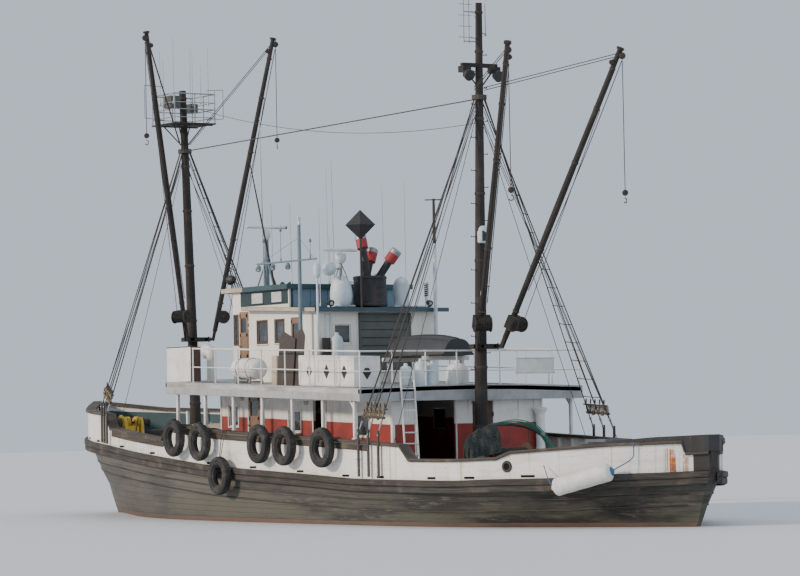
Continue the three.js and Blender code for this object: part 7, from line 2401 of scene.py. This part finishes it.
            post.tube([(x + dx, y + dy, deck + 0.02), (x, y, deck + 0.8)], 0.022, 10)
            post.turned(disc(0.05, 0.012, 0.014), (x + dx, y + dy, deck + 0.024), sides=12)
        post.turned([(0.06, 0.76), (0.09, 0.765), (0.09, 0.83), (0.06, 0.835)], (x, y, deck), sides=20)
        self.gearbox(gear, vec(x, y, z - 0.26), 0.257, 0.118)
        self.yard.piece("fore_radar_post", post, paint.pole_blue, Finish.BLACK,
                        replaces=["fore_radar_mast"])
        self.yard.piece("fore_radar_gearbox", gear, paint.ice, Finish.BLACK)
        scan = Skin()
        self.bar(scan, x, y, z, 0.65)
        self.yard.piece("fore_scanner_bar", scan, paint.white, Finish.BLACK, body="fore_radar_scanner",
                        replaces=["fore_radar_scanner"])
        tips = Skin()
        tips.box((x - 0.05, y - 0.652 + 0.01, z + 0.045), (x + 0.05, y - 0.6, z + 0.125), 0.012)
        self.yard.piece("fore_scanner_end", tips, paint.teal, Finish.BLACK, body="fore_radar_scanner")

    def vents(self) -> None:
        """Plank with the big domed vent and the ringed one, and a mushroom vent on the raised roof."""
        paint = self.paint
        deck = self.houses.roof_top(0.0) + 0.001
        white, dark = Skin(), Skin()
        x, dome_y, ringed_y, dome_top = -0.12, -1.0, -1.8, 6.45
        white.box((-0.25, -1.92, deck), (0.0, -0.7, deck + 0.04), 0.008)
        t = np.linspace(0, 1, 17)
        wide = fair([(0.0, 0.86), (0.2, 0.9), (0.55, 1.0), (0.78, 0.92), (0.95, 0.5), (1.0, 0.03)],
                    t) * 0.222
        low = deck + 0.035
        white.turned(np.concatenate([[(0, low)], np.column_stack([wide, low + (dome_top - low) * t])]),
                     (x, dome_y, 0), sides=32)
        white.tube([(x, ringed_y, low), (x, ringed_y, 6.3)], 0.045, 16)
        turn = np.linspace(0, TAU * 7, 7 * 22)
        helix = np.column_stack([x + 0.052 * np.cos(turn), ringed_y + 0.052 * np.sin(turn),
                                 5.92 + 0.055 * turn / TAU])
        dark.tube(helix, 0.016, 8)
        white.turned([(0, 6.26), (0.07, 6.26), (0.074, 6.28), (0.05, 6.32), (0, 6.328)], (x, ringed_y, 0),
                     sides=20)
        roof = RAISED_ROOF
        white.turned([(0, 0), (0.06, 0), (0.06, 0.1), (0.13, 0.1), (0.14, 0.12), (0.1, 0.17), (0, 0.19)],
                     (2.4, -0.9, roof), sides=24)
        self.yard.piece("domed_vents", white, paint.ice, Finish.WHITE, replaces=["roof_vents"])
        self.yard.piece("vent_rings", dark, paint.black, Finish.WHITE)

    def signal(self) -> None:
        """Pale pole with a lamp at its head, its cross bar with lamps and aerials, and two poles aft."""
        paint = self.paint
        x, y, top = self.pole
        foot = float(BoatDeck(self.yard).top(x, y)) + 0.004
        pole, bits, glass = Skin(), Skin(), Skin()
        pole.tube([(x, y, foot), (x, y, top - 0.28)], np.array([0.058, 0.046]), 20)
        pole.turned([(0, 0), (0.12, 0.0), (0.12, 0.012), (0.065, 0.03), (0.06, 0.12), (0, 0.12)],
                    (x, y, foot), sides=20)
        bar_z = 6.85
        bits.tube([(-1.0, y, bar_z), (2.05, y, bar_z)], 0.024, 12)
        glass.turned([(0.04, 0), (0.055, 0.01), (0.06, 0.03), (0.045, 0.05), (0.045, 0.17), (0.06, 0.19),
                      (0.05, 0.22), (0.0, 0.25)], (x, y, top - 0.28), sides=18)
        for at, turn in ((1.2, 1.0), (0.45, 0.6), (1.95, 1.0)):
            look = vec(-0.5, 0.5 * turn, -0.6)
            low = vec(at, y, bar_z - 0.07)
            bits.turned([(0, 0), (0.05, 0), (0.07, 0.05), (0.075, 0.14), (0.06, 0.15)], low, look, 18)
            glass.turned(disc(0.062, 0.01, 0.02), low + unit(look) * 0.135, look, 18)
        for at, high in ((0.8, 1.0), (-0.7, 0.55), (1.7, 0.7)):
            self.spars.whip(bits, (at, y, bar_z + 0.02), (at, y, bar_z + high), 0.011)
            bits.turned([(0, 0), (0.03, 0), (0.04, 0.05), (0.02, 0.1), (0, 0.1)],
                        (at, y, bar_z + high * 0.8), sides=10)
        for dx in (-0.9, 1.9):
            bits.tube([(dx, y, bar_z), (x, y, top - 0.6)], 0.006, 6)
        corner, mast, head = Skin(), Skin(), Skin()
        post_x, post_y = -0.84, 2.08
        mast_x, mast_y = -0.86, -1.6
        corner.tube([(post_x, post_y, 3.58), (post_x, post_y, 6.42)], 0.03, 12)
        corner.turned([(0.03, -0.1), (0.06, -0.08), (0.1, 0.02), (0.105, 0.2), (0.07, 0.26), (0.035, 0.3),
                       (0.0, 0.31)], (post_x, post_y, 6.45), sides=20)
        mast.tube([(mast_x, mast_y, 4.72), (mast_x, mast_y, 7.3)], 0.052, 16)
        head.tube([(mast_x, mast_y, 7.28), (mast_x, mast_y, 8.5)], np.array([0.046, 0.034]), 14)
        head.tube([(-0.73, -1.4, 8.47), (-0.99, -1.8, 8.47)], 0.016, 8)
        self.yard.piece("corner_post", corner, paint.ice, Finish.WHITE)
        self.yard.piece("aft_pole", mast, paint.ice, Finish.WHITE)
        self.yard.piece("aft_pole_top", head, paint.black, Finish.BLACK)
        self.yard.piece("light_pole", pole, paint.pole_blue, Finish.WHITE, replaces=["signal_pole"])
        self.yard.piece("light_pole_gear", bits, paint.pole_blue, Finish.WHITE)
        self.yard.piece("light_pole_lamps", glass, paint.lamp, Finish.WHITE)

    def lamps(self) -> None:
        """Two searchlights on the raised roof, a horn pair and two floodlights aft."""
        paint = self.paint
        body, glass = Skin(), Skin()
        roof = RAISED_ROOF
        x, size = 4.1, 0.13
        ahead, aft = (1, 0, -0.1), (-1, 0, -0.4)
        for y in (1.8, -1.8):
            body.tube([(x, y, roof), (x, y, roof + 0.14)], 0.02, 10)
            body.turned([(0, -0.12), (size * 0.5, -0.12), (size * 0.9, -0.05), (size, 0.05),
                         (size * 1.03, 0.1), (size * 0.95, 0.11)], (x, y, roof + 0.25), ahead, 24)
            glass.turned([(0, 0), (size * 0.93, 0), (size * 0.9, 0.012), (0, 0.03)],
                         (x + 0.092, y, roof + 0.241), ahead, 24)
        for y in (-0.12, 0.12):
            body.turned([(0.0, 0), (0.02, 0), (0.018, 0.25), (0.035, 0.36), (0.09, 0.46), (0.085, 0.462)],
                        (3.75, y, roof + 0.1), (1, 0, 0.05), 16)
            body.tube([(3.85, y, roof), (3.85, y, roof + 0.1)], 0.012, 8)
        for y in (1.55, -1.55):
            at = vec(-0.62, y, self.houses.roof_top(-0.62) + 0.13)
            body.tube([at - vec(0, 0, 0.13), at], 0.016, 8)
            body.turned([(0, -0.07), (0.06, -0.06), (0.085, 0.06), (0.09, 0.07), (0.08, 0.072)], at, aft,
                        20)
            glass.turned(disc(0.08, 0.008, 0.02), at + vec(-0.055, 0, -0.022), aft, 20)
        self.yard.piece("roof_lamps", body, paint.black, Finish.BLACK)
        self.yard.piece("roof_lamp_glass", glass, paint.lamp, Finish.BLACK)

    def whips(self) -> None:
        """Whip aerials and thin poles on the raised roof and round the pedestal."""
        skin = Skin()
        roof = RAISED_ROOF
        for x, y, high, r in ((2.7, 1.6, 4.6, 0.02), (1.9, 1.2, 2.2, 0.012), (1.3, 0.4, 3.1, 0.010),
                              (3.9, 0.6, 2.4, 0.012), (3.6, -1.2, 3.6, 0.014), (1.5, -1.5, 2.7, 0.012),
                              (2.2, -0.2, 1.4, 0.012)):
            self.spars.whip(skin, (x, y, roof), (x + 0.02 * high, y, roof + high), r)
        roof = self.houses.roof_top(0.3)
        for x, y, high in ((0.35, -1.45, 3.4), (-0.45, 1.75, 2.6)):
            self.spars.whip(skin, (x, y, roof - 0.004), (x, y, roof + high), 0.012)
        self.yard.piece("roof_whips", skin, self.paint.steel, Finish.WHITE)


@dataclass
class DeckGear(Assembly):
    """Windlass, hatch, winch with its net, companion, stern plates, steering gear and coils of line."""

    # x and axle over the deck
    windlass: tuple = (13.35, 0.40)
    # x, axle over deck, barrel's radius, half width to the cheeks, half width of the hoop
    winch: tuple = (-6.35, 0.48, 0.23, 0.74, 1.25)
    hoop_spring: float = 0.7
    hoop_rise: float = 0.56
    # aft and fore end, half width, height over the deck
    hatch: tuple = (5.5, 7.9, 1.15, 0.56)
    cover_thick: float = 0.07
    # x, half length, half width, height
    companion: tuple = (-10.7, 0.34, 0.33, 0.8)
    # centre and radius
    screw: tuple = (-11.96, 0.0, -2.06, 0.52)
    blades: int = 4

    def build(self) -> None:
        """Makes the gear."""
        paint = self.paint
        self.yard.dress(paint.white, "hatch_coaming")
        self.yard.dress(paint.canvas, "hatch_cover")
        self.yard.dress(paint.slate, "after_companion")
        self.yard.dress(paint.tarred, "stern_plates")
        self.yard.dress(paint.guard, "rudder")
        self.anchor_gear()
        self.hatch_gear()
        self.cargo_winch()
        self.net_and_hose()
        self.companion_gear()
        self.plates()
        self.stern_gear()
        self.foredeck()

    def anchor_gear(self) -> None:
        """Windlass casing, heads, gear wheel, two levers and the chain that leads to the stem."""
        paint = self.paint
        x, up = self.windlass
        z = LINES.deck_at(x + 0.32) + 0.002
        gold, iron, chain = Skin(), Skin(), Skin()
        axle = z + up
        gold.box((x - 0.38, -0.42, z - 0.03), (x + 0.32, 0.42, z + 0.052), 0.01)
        for sign in (-1, 1):
            rim = np.array([(-0.215, 0.04), (0.215, 0.04), (0.18, 0.40), (0.10, 0.555), (-0.10, 0.555),
                            (-0.18, 0.40)])
            gold.prism(np.column_stack([x + rim[:, 0], np.full(6, sign * 0.27 - 0.05), z + rim[:, 1]]),
                       (0, 0.1, 0))
            iron.turned([(0.0, 0.375), (0.125, 0.375), (0.12, 0.40), (0.095, 0.45), (0.095, 0.49),
                         (0.135, 0.545), (0.154, 0.558), (0.0, 0.56)], (x, 0, axle), (0, sign, 0), 32)
            gold.turned([(0.0, 0.10), (0.17, 0.10), (0.17, 0.12), (0.13, 0.135), (0.13, 0.165),
                         (0.17, 0.18), (0.17, 0.20), (0.0, 0.20)], (x, 0, axle), (0, sign, 0), 32)
        gold.box((x - 0.15, -0.2, z + 0.03), (x + 0.17, 0.2, z + 0.3), 0.03)
        gold.prism(toothed((x, 0.335, axle), 0.215, 0.012, 36), (0, 0.03, 0))
        iron.tube([(x - 0.05, 0.07, z + 0.5), (x - 0.26, 0.07, z + 0.55)], 0.015, 8)
        iron.tube([(x - 0.12, -0.07, z + 0.05), (x - 0.29, -0.07, z + 0.55)], 0.013, 8)
        iron.tube([(x, -0.55, axle), (x, 0.55, axle)], 0.03, 12)
        for side in (-1, 1):
            for dx in (-0.28, 0.24):
                iron.turned(disc(0.024, 0.016, 0.018), (x + dx, side * 0.36, z + 0.05), sides=6)
        path = [(x + 0.14, -0.12, axle + 0.05), (x + 0.4, -0.11, z + 0.2), (x + 0.75, -0.08, z + 0.09),
                (x + 1.1, -0.05, LINES.deck_at(14.45) + 0.07),
                (x + 1.5, -0.02, LINES.deck_at(14.85) + 0.09)]
        links = smoothed(path, 30)
        for k in range(len(links) - 1):
            a, b = links[k], links[k + 1]
            way = unit(b - a)
            side = unit(np.cross(way, vec(0, 0, 1)))
            flat = side if k % 2 else np.cross(way, side)
            turn = np.linspace(0, TAU, 11)[:-1]
            loop = (a
                    + b) / 2 + np.cos(turn)[:, None] * way * 0.043 + np.sin(turn)[:, None] * flat * 0.024
            chain.tube(loop, 0.0095, 5, closed=True, up=tuple(np.cross(way, flat)))
        self.yard.piece("windlass_casing", gold, paint.yellow, Finish.YELLOW, replaces=["windlass"])
        self.yard.piece("windlass_irons", iron, paint.rust_dark, Finish.YELLOW)
        self.yard.piece("anchor_chain", chain, paint.rust_dark, Finish.YELLOW)

    def hatch_gear(self) -> None:
        """Coaming rails and stays, and the cover's seams and lashing bars on its own body."""
        paint = self.paint
        x0, x1, half, high = self.hatch
        top = LINES.deck_at(x1) + high
        rails, bars, boards = Skin(), Skin(), Skin()
        for side in (-1, 1):
            for x in np.linspace(x0 + 0.2, x1 - 0.2, 7):
                z = LINES.deck_at(x)
                rails.box((x - 0.02, side * half - 0.035, z + 0.02),
                          (x + 0.02, side * half + 0.035, top - 0.13), 0.005)
            rails.beam((x0, side * (half + 0.02), top - 0.17), (x1, side * (half + 0.02), top - 0.17),
                       0.035, 0.05, 0.006)
        rails.beam((x1 + 0.02, -half, top - 0.17), (x1 + 0.02, half, top - 0.17), 0.035, 0.05, 0.006)
        lid = top + self.cover_thick
        for y in (-1.0, -0.35, 0.35, 1.0):
            boards.box((x0 - 0.03, y - 0.012, lid), (x1 + 0.04, y + 0.012, lid + 0.006), 0.002)
        for x in (x0 + 0.5, (x0 + x1) / 2, x1 - 0.5):
            bars.beam((x, -half - 0.03, lid + 0.03), (x, half + 0.03, lid + 0.03), 0.05, 0.012, 0.003)
            for y in (-half + 0.1, half - 0.1):
                bars.turned(disc(0.03, 0.025, 0.03), (x, y, lid + 0.034), sides=6)
        self.yard.piece("coaming_rails", rails, paint.white, Finish.WHITE)
        self.yard.piece("cover_seams", boards, paint.canvas, Finish.SLATE_STEEL, body="hatch_cover")
        self.yard.piece("cover_bars", bars, paint.steel, Finish.SLATE_STEEL, body="hatch_cover")

    def cargo_winch(self) -> None:
        """Winch under its hoop: cheeks, a gear, a barrel wound with wire, warping heads and a lever."""
        paint = self.paint
        x, up, r, cheek, hoop = self.winch
        z = LINES.deck_at(x) + 0.001
        axle = z + up
        frame_skin, drum, wire, arch = Skin(), Skin(), Skin(), Skin()
        frame_skin.box((x - 0.33, -1.3, z), (x + 0.33, 1.3, z + 0.07), 0.01)
        for sign in (-1, 1):
            y = sign * (cheek + 0.02)
            rim = np.array([(-0.2, 0.06), (0.2, 0.06), (0.16, 0.55), (0.08, 0.72), (-0.08, 0.72),
                            (-0.16, 0.55)])
            points = np.column_stack([x + rim[:, 0], np.full(6, y - 0.03), z + rim[:, 1]])
            frame_skin.prism(points, (0, 0.06, 0))
            drum.turned([(0, 0.56), (r, 0.57), (0.33, 0.60), (0.33, 0.63), (0, 0.64)], (x, 0, axle),
                        (0, sign, 0), 36)
            drum.turned([(0, 0.80), (0.13, 0.80), (0.1, 0.86), (0.1, 0.9), (0.155, 0.96), (0, 0.965)],
                        (x, 0, axle), (0, sign, 0), 28)
        drum.prism(toothed((x, 0.655, axle), 0.29, 0.013, 44), (0, 0.04, 0))
        drum.tube([(x, -0.9, axle), (x, 0.9, axle)], 0.045, 16)
        barrel, turns = r * 0.82, 26
        drum.tube([(x, -0.58, axle), (x, 0.58, axle)], barrel, 32)
        t = np.linspace(0, TAU * turns, 18 * turns)
        wire.tube(np.column_stack([x + (barrel + 0.014) * np.cos(t), -0.55 + 1.1 * t / t[-1],
                                   axle + (barrel + 0.014) * np.sin(t)]), 0.0195, 6)
        frame_skin.tube([(x + 0.1, 0.9, z + 0.1), (x + 0.3, 0.9, z + 0.95)], 0.016, 8)
        frame_skin.box((x - 0.3, -1.15, z + 0.07), (x + 0.05, -0.95, z + 0.5), 0.02)
        frame_skin.box((x - 0.22, 0.98, z + 0.07), (x + 0.2, 1.15, z + 0.34), 0.02)
        spring = z + self.hoop_spring
        turn = np.linspace(0, math.pi, 25)
        bow = np.column_stack([np.full(25, x), hoop * np.cos(turn),
                               spring + self.hoop_rise * np.sin(turn)])
        path = np.concatenate([[(x, hoop, z + 0.03), (x, hoop, z + 0.36)], bow,
                               [(x, -hoop, z + 0.36), (x, -hoop, z + 0.03)]])
        arch.tube(path, 0.031, 16, up=(1, 0, 0))
        for y in (-hoop, hoop):
            arch.turned([(0, 0), (0.09, 0), (0.09, 0.02), (0.045, 0.04), (0, 0.04)], (x, y, z), sides=16)
        for y in (-0.7, 0.7):
            arch.tube([(x, y, z + 0.7), (x, y, spring + self.hoop_rise * math.sqrt(1 - (y / hoop) ** 2))],
                      0.016, 8)
        self.yard.piece("winch_frame", frame_skin, paint.iron_brown, Finish.RUST,
                        replaces=["cargo_winch"])
        self.yard.piece("winch_drum", drum, paint.iron_brown, Finish.RUST)
        self.yard.piece("winch_wire", wire, paint.wire, Finish.WIRE)
        self.yard.piece("winch_hoop", arch, paint.guard, Finish.RUST)

    def net_and_hose(self) -> None:
        """Net hung over the hoop's port shoulder, heaps at its foot, and green lines over the other.

        The net is a sheet whose height falls from the hoop to a heap at its foot. Its folds are sums of
        sines.
        """
        paint = self.paint
        x, _, _, _, hoop = self.winch
        z = LINES.deck_at(x)
        net, heap = Skin(), Skin()
        u = np.linspace(0, 1, 61)[:, None]
        v = np.linspace(0, 1, 41)[None, :]
        turn = math.pi * (0.02 + 0.40 * u)
        y = (hoop + 0.05 + 0.10 * v) * np.cos(turn)
        drop = v ** 1.3
        fold = 0.045 * np.sin(u * 38 + v * 3) * v + 0.03 * np.sin(u * 17 - v * 6)
        height = (z + self.hoop_spring + self.hoop_rise * np.sin(turn) + 0.045
                  - drop * (0.62 + 0.42 * np.sin(turn) - 0.35 * u) + 0.02 * np.sin(u * 23 + v * 9))
        reach = x - 0.06 - 0.30 * v - fold
        grid = np.stack(np.broadcast_arrays(reach, y, np.maximum(height, z + 0.1)), axis=2)
        net.sheet(np.concatenate([grid, grid[:, ::-1] + vec(0.008, 0, 0)], axis=1), wrap=True, caps=True,
                  flip=True)
        angle = np.linspace(0, TAU, 49)[:-1]
        rings_at = np.linspace(0, 1, 12)
        for cy, wide, high in ((0.62, 0.30, 0.24), (1.12, 0.36, 0.5)):
            lump = []
            for s in rings_at:
                bulge = math.sqrt(1 - s ** 2) if s < 1 else 0.02
                wave = 1 + 0.10 * np.sin(angle * 5 + cy * 7 + s * 4) + 0.05 * np.sin(angle * 11 + s * 9)
                lump.append(np.column_stack([x - 0.62 + wide * bulge * wave * np.cos(angle),
                                             cy + wide * bulge * wave * np.sin(angle),
                                             np.full(48, z + 0.004 + high * s)]))
            heap.sheet(np.array(lump), wrap=True, caps=True, flip=True)
        start, crown = (x - 0.06, -0.25, z + 1.3), (x - 0.15, -0.75, z + 1.18)
        for k in range(7):
            spread = 0.05 * (k % 3 - 1)
            lift = 0.04 * (k // 3)
            path = [(x + 0.1, 0.35 + spread, z + 1.26 + lift * 0.5),
                    (start[0] + spread, start[1], start[2] + lift),
                    (crown[0] + spread, crown[1], crown[2] + lift),
                    (x - 0.25 + spread * 1.6, -1.14, z + 0.72 + lift * 1.5),
                    (x - 0.32 + spread * 2, -1.3 - lift, z + 0.3),
                    (x - 0.4 + spread * 2, -1.4 - lift, z + 0.03 + 0.03 * (k % 2))]
            self.yard.cord(f"green_line_{k + 1}", smoothed(path, 30), 0.012, paint.green_rope, "hanging")
        item = self.yard.piece("draped_net", net, paint.net, Finish.RUST, crease=80)
        self.yard.piece("net_heap", heap, paint.net, Finish.RUST, crease=80)

    def companion_gear(self) -> None:
        """Corner posts and two plank doors with ledges on the after companion."""
        paint = self.paint
        x, half, wide, high = self.companion
        z = max(LINES.deck_at(x - half), LINES.deck_at(x + half)) + 0.001
        trim, dark, face = Skin(), Skin(), x - half
        for corner_x in (-half, half):
            for corner_y in (-wide, wide):
                trim.box((x + corner_x - 0.025, corner_y - 0.025, z + 0.01),
                         (x + corner_x + 0.025, corner_y + 0.025, z + high - 0.02), 0.006)
        for y in (-0.16, 0.16):
            dark.box((face - 0.016, y - 0.145, z + 0.1), (face + 0.002, y + 0.145, z + high - 0.1), 0.005)
            for level in (0.22, 0.6):
                dark.box((face - 0.024, y - 0.12, z + level), (face - 0.01, y + 0.12, z + level + 0.035),
                         0.004)
        self.yard.piece("companion_corners", trim, paint.slate, Finish.SKIFF)
        self.yard.piece("companion_doors", dark, paint.brown, Finish.SKIFF)

    def plates(self) -> None:
        """Bolt heads along the steel plates round the stern rail."""
        skin = Skin()
        x = np.linspace(-14.45, -12.6, 12)
        for side in SIDES.values():
            plan = LINES.edge(x, 0.052)
            top = along([(-15.4, 0.80), (-13.9, 0.80), (-13.7, 0.79), (-12.3, 0.70)], x) + LINES.deck_z(x)
            for (px, py), high in zip(plan, top):
                skin.ball((px, side * py, high - 0.05), 0.014, 6)
        self.yard.piece("stern_plate_bolts", skin, self.paint.slate, Finish.SLATE_STEEL)

    def stern_gear(self) -> None:
        """Propeller with twisted blades and a boss cap, and the rudder's straps."""
        paint = self.paint
        x, _, z, r = self.screw
        skin, iron = Skin(), Skin()
        skin.turned([(0, -0.17), (0.045, -0.165), (0.07, -0.12), (0.085, 0.0), (0.1, 0.12), (0.1, 0.19),
                     (0, 0.19)], (x, 0, z), (1, 0, 0), 32)
        s = np.linspace(0, 1, 17)[:, None]
        c = np.linspace(-1, 1, 11)[None, :]
        reach = 0.07 + (r - 0.075) * s
        chord = 0.17 * np.sqrt(np.clip(1 - (2 * s - 0.95) ** 2 * 0.93, 0.02, 1)) * 0.92
        pitch = 0.95 - 0.55 * s
        bow = 0.02 * (1 - c ** 2)
        for k in range(self.blades):
            turn = k * TAU / self.blades
            faces = []
            for face in (1, -1):
                thick = face * 0.013 * (1 - c ** 2) * (1.3 - s)
                fore = chord * c * np.sin(pitch) * 0.9 + bow + thick * np.cos(pitch)
                aside = chord * c * np.cos(pitch) - thick * np.sin(pitch)
                y = reach * math.cos(turn) - aside * math.sin(turn)
                up = reach * math.sin(turn) + aside * math.cos(turn)
                faces.append(np.stack(np.broadcast_arrays(x + fore, y, z + up), axis=2))
            skin.sheet(np.concatenate([faces[0], faces[1][:, -2:0:-1]], axis=1), wrap=True, caps=True)
        self.yard.piece("screw_blades", skin, paint.bronze, Finish.BRONZE, body="propeller",
                        replaces=["propeller"], crease=60)
        for height in (-2.3, -1.75, -1.2):
            iron.box((-13.35, -0.062, height - 0.04), (-12.66, 0.062, height + 0.04), 0.01)
        self.yard.piece("rudder_straps", iron, paint.rust_dark, Finish.SLATE_STEEL, body="rudder")

    def foredeck(self) -> None:
        """Coils of line on both decks and the painted lining inside the bow bulwark."""
        paint = self.paint
        lining = Skin()
        spots = ((12.1, 0.9, 0.27, 4), (12.5, -0.35, 0.24, 5), (11.2, -0.8, 0.25, 3),
                 (-9.3, 2.3, 0.26, 4))
        for number, (x, y, r, turns) in enumerate(spots):
            path = coiled(x, y, LINES.deck_at(x) + 0.008, r, turns, 0.018)
            self.yard.cord(f"deck_coil_{number + 1}", path, 0.018, paint.dark_rope, "coiled")
        x = np.linspace(9.45, 15.2, 36)
        for side in SIDES.values():
            plan = LINES.edge(x, -LINES.wall - 0.006)
            rows = [np.column_stack([plan[:, 0], side * np.maximum(plan[:, 1], 0.0),
                                     LINES.deck_z(x) + lift]) for lift in (0.02, 0.38, 0.68)]
            lining.sheet(np.array(rows), flip=side > 0)
        self.yard.piece("bow_lining", lining, paint.teal, Finish.BULWARK)


@dataclass
class Studio:
    """Pale floor on the water's level, soft light and the camera at the photograph's angle."""

    eye: tuple = (-76.6, 48.4, 2.55)
    heading: float = 56.0
    turn: float = -1.163
    pitch: float = 2.257
    roll: float = 1.1
    view: float = 13.42
    floor: float = 260.0
    sensor: float = 36.0

    def build(self) -> None:
        """Makes the floor, the lights, the world and the camera."""
        self.ground()
        self.lamps()
        self.sky()
        self.camera()

    def ground(self) -> None:
        """A plain pale floor round the waterline."""
        half = self.floor
        corners = [(x, y, 0.0) for x in (-half, half) for y in (-half, half)]
        skin = Skin().sheet(np.array(corners).reshape(2, 2, 3))
        g = Graph("studio_floor")
        cloud = g.noise(0.05, 2.0)
        material = g.finish(g.mix(cloud, (0.70, 0.71, 0.72), (0.74, 0.75, 0.76)), 0.6)
        item = bpy.data.objects.new("studio_floor", skin.mesh("studio_floor"))
        bpy.context.scene.collection.objects.link(item)
        item.data.materials.append(material)

    def lamps(self) -> None:
        """A broad key from low over the port quarter, and a weak fill from ahead."""
        for name, energy, angle, turned, color in (("key", 3.0, 7.0, (70.0, 0.0, 165.0),
                                                    (1.0, 0.84, 0.68)),
                                                   ("fill", 0.55, 80.0, (55.0, 0.0, -80.0),
                                                    (0.78, 0.88, 1.0))):
            light = bpy.data.lights.new(name, "SUN")
            light.energy = energy
            light.angle = math.radians(angle)
            light.color = color
            item = bpy.data.objects.new(name, light)
            item.rotation_euler = [math.radians(a) for a in turned]
            bpy.context.scene.collection.objects.link(item)

    def sky(self) -> None:
        """An even pale world."""
        world = bpy.data.worlds.new("studio_world")
        world.use_nodes = True
        back = world.node_tree.nodes["Background"]
        back.inputs[0].default_value = (0.74, 0.83, 0.96, 1.0)
        back.inputs[1].default_value = 0.8
        bpy.context.scene.world = world

    def camera(self) -> None:
        """Long lens from the port quarter at eye height, rolled a little to meet the vessel's heel."""
        heading = math.radians(self.heading - self.turn)
        pitch = math.radians(self.pitch)
        forward = vec(math.sin(heading) * math.cos(pitch), -math.cos(heading) * math.cos(pitch),
                      math.sin(pitch))
        right = unit(np.cross(forward, vec(0, 0, 1)))
        up = np.cross(right, forward)
        roll = math.radians(self.roll)
        side = right * math.cos(roll) - up * math.sin(roll)
        top = up * math.cos(roll) + right * math.sin(roll)
        lens = bpy.data.cameras.new("view")
        lens.sensor_width = self.sensor
        lens.lens = self.sensor / 2.0 / math.tan(math.radians(self.view / 2.0))
        lens.clip_end = 1000.0
        item = bpy.data.objects.new("view", lens)
        rows = [[side[i], top[i], -forward[i], self.eye[i]] for i in range(3)]
        item.matrix_world = Matrix([*rows, [0.0, 0.0, 0.0, 1.0]])
        bpy.context.scene.collection.objects.link(item)
        bpy.context.scene.camera = item


def main() -> None:
    """Builds the studio and every sub-assembly, in order."""
    logging.basicConfig(level=logging.INFO, format="%(name)s %(message)s")
    Studio().build()
    yard = Yard(Finishes())
    spars = Spars(yard)
    houses = Houses(yard)
    sub_assemblies = (Hull(yard), Fenders(yard), BoatDeck(yard), houses, spars, Rigging(yard, spars),
                      RoofGear(yard, houses, spars), DeckGear(yard))
    for part in sub_assemblies:
        part.build()
        log.info("%s is built", type(part).__name__)
    log.info("%d pieces", yard.count)


if __name__ == "__main__":
    main()
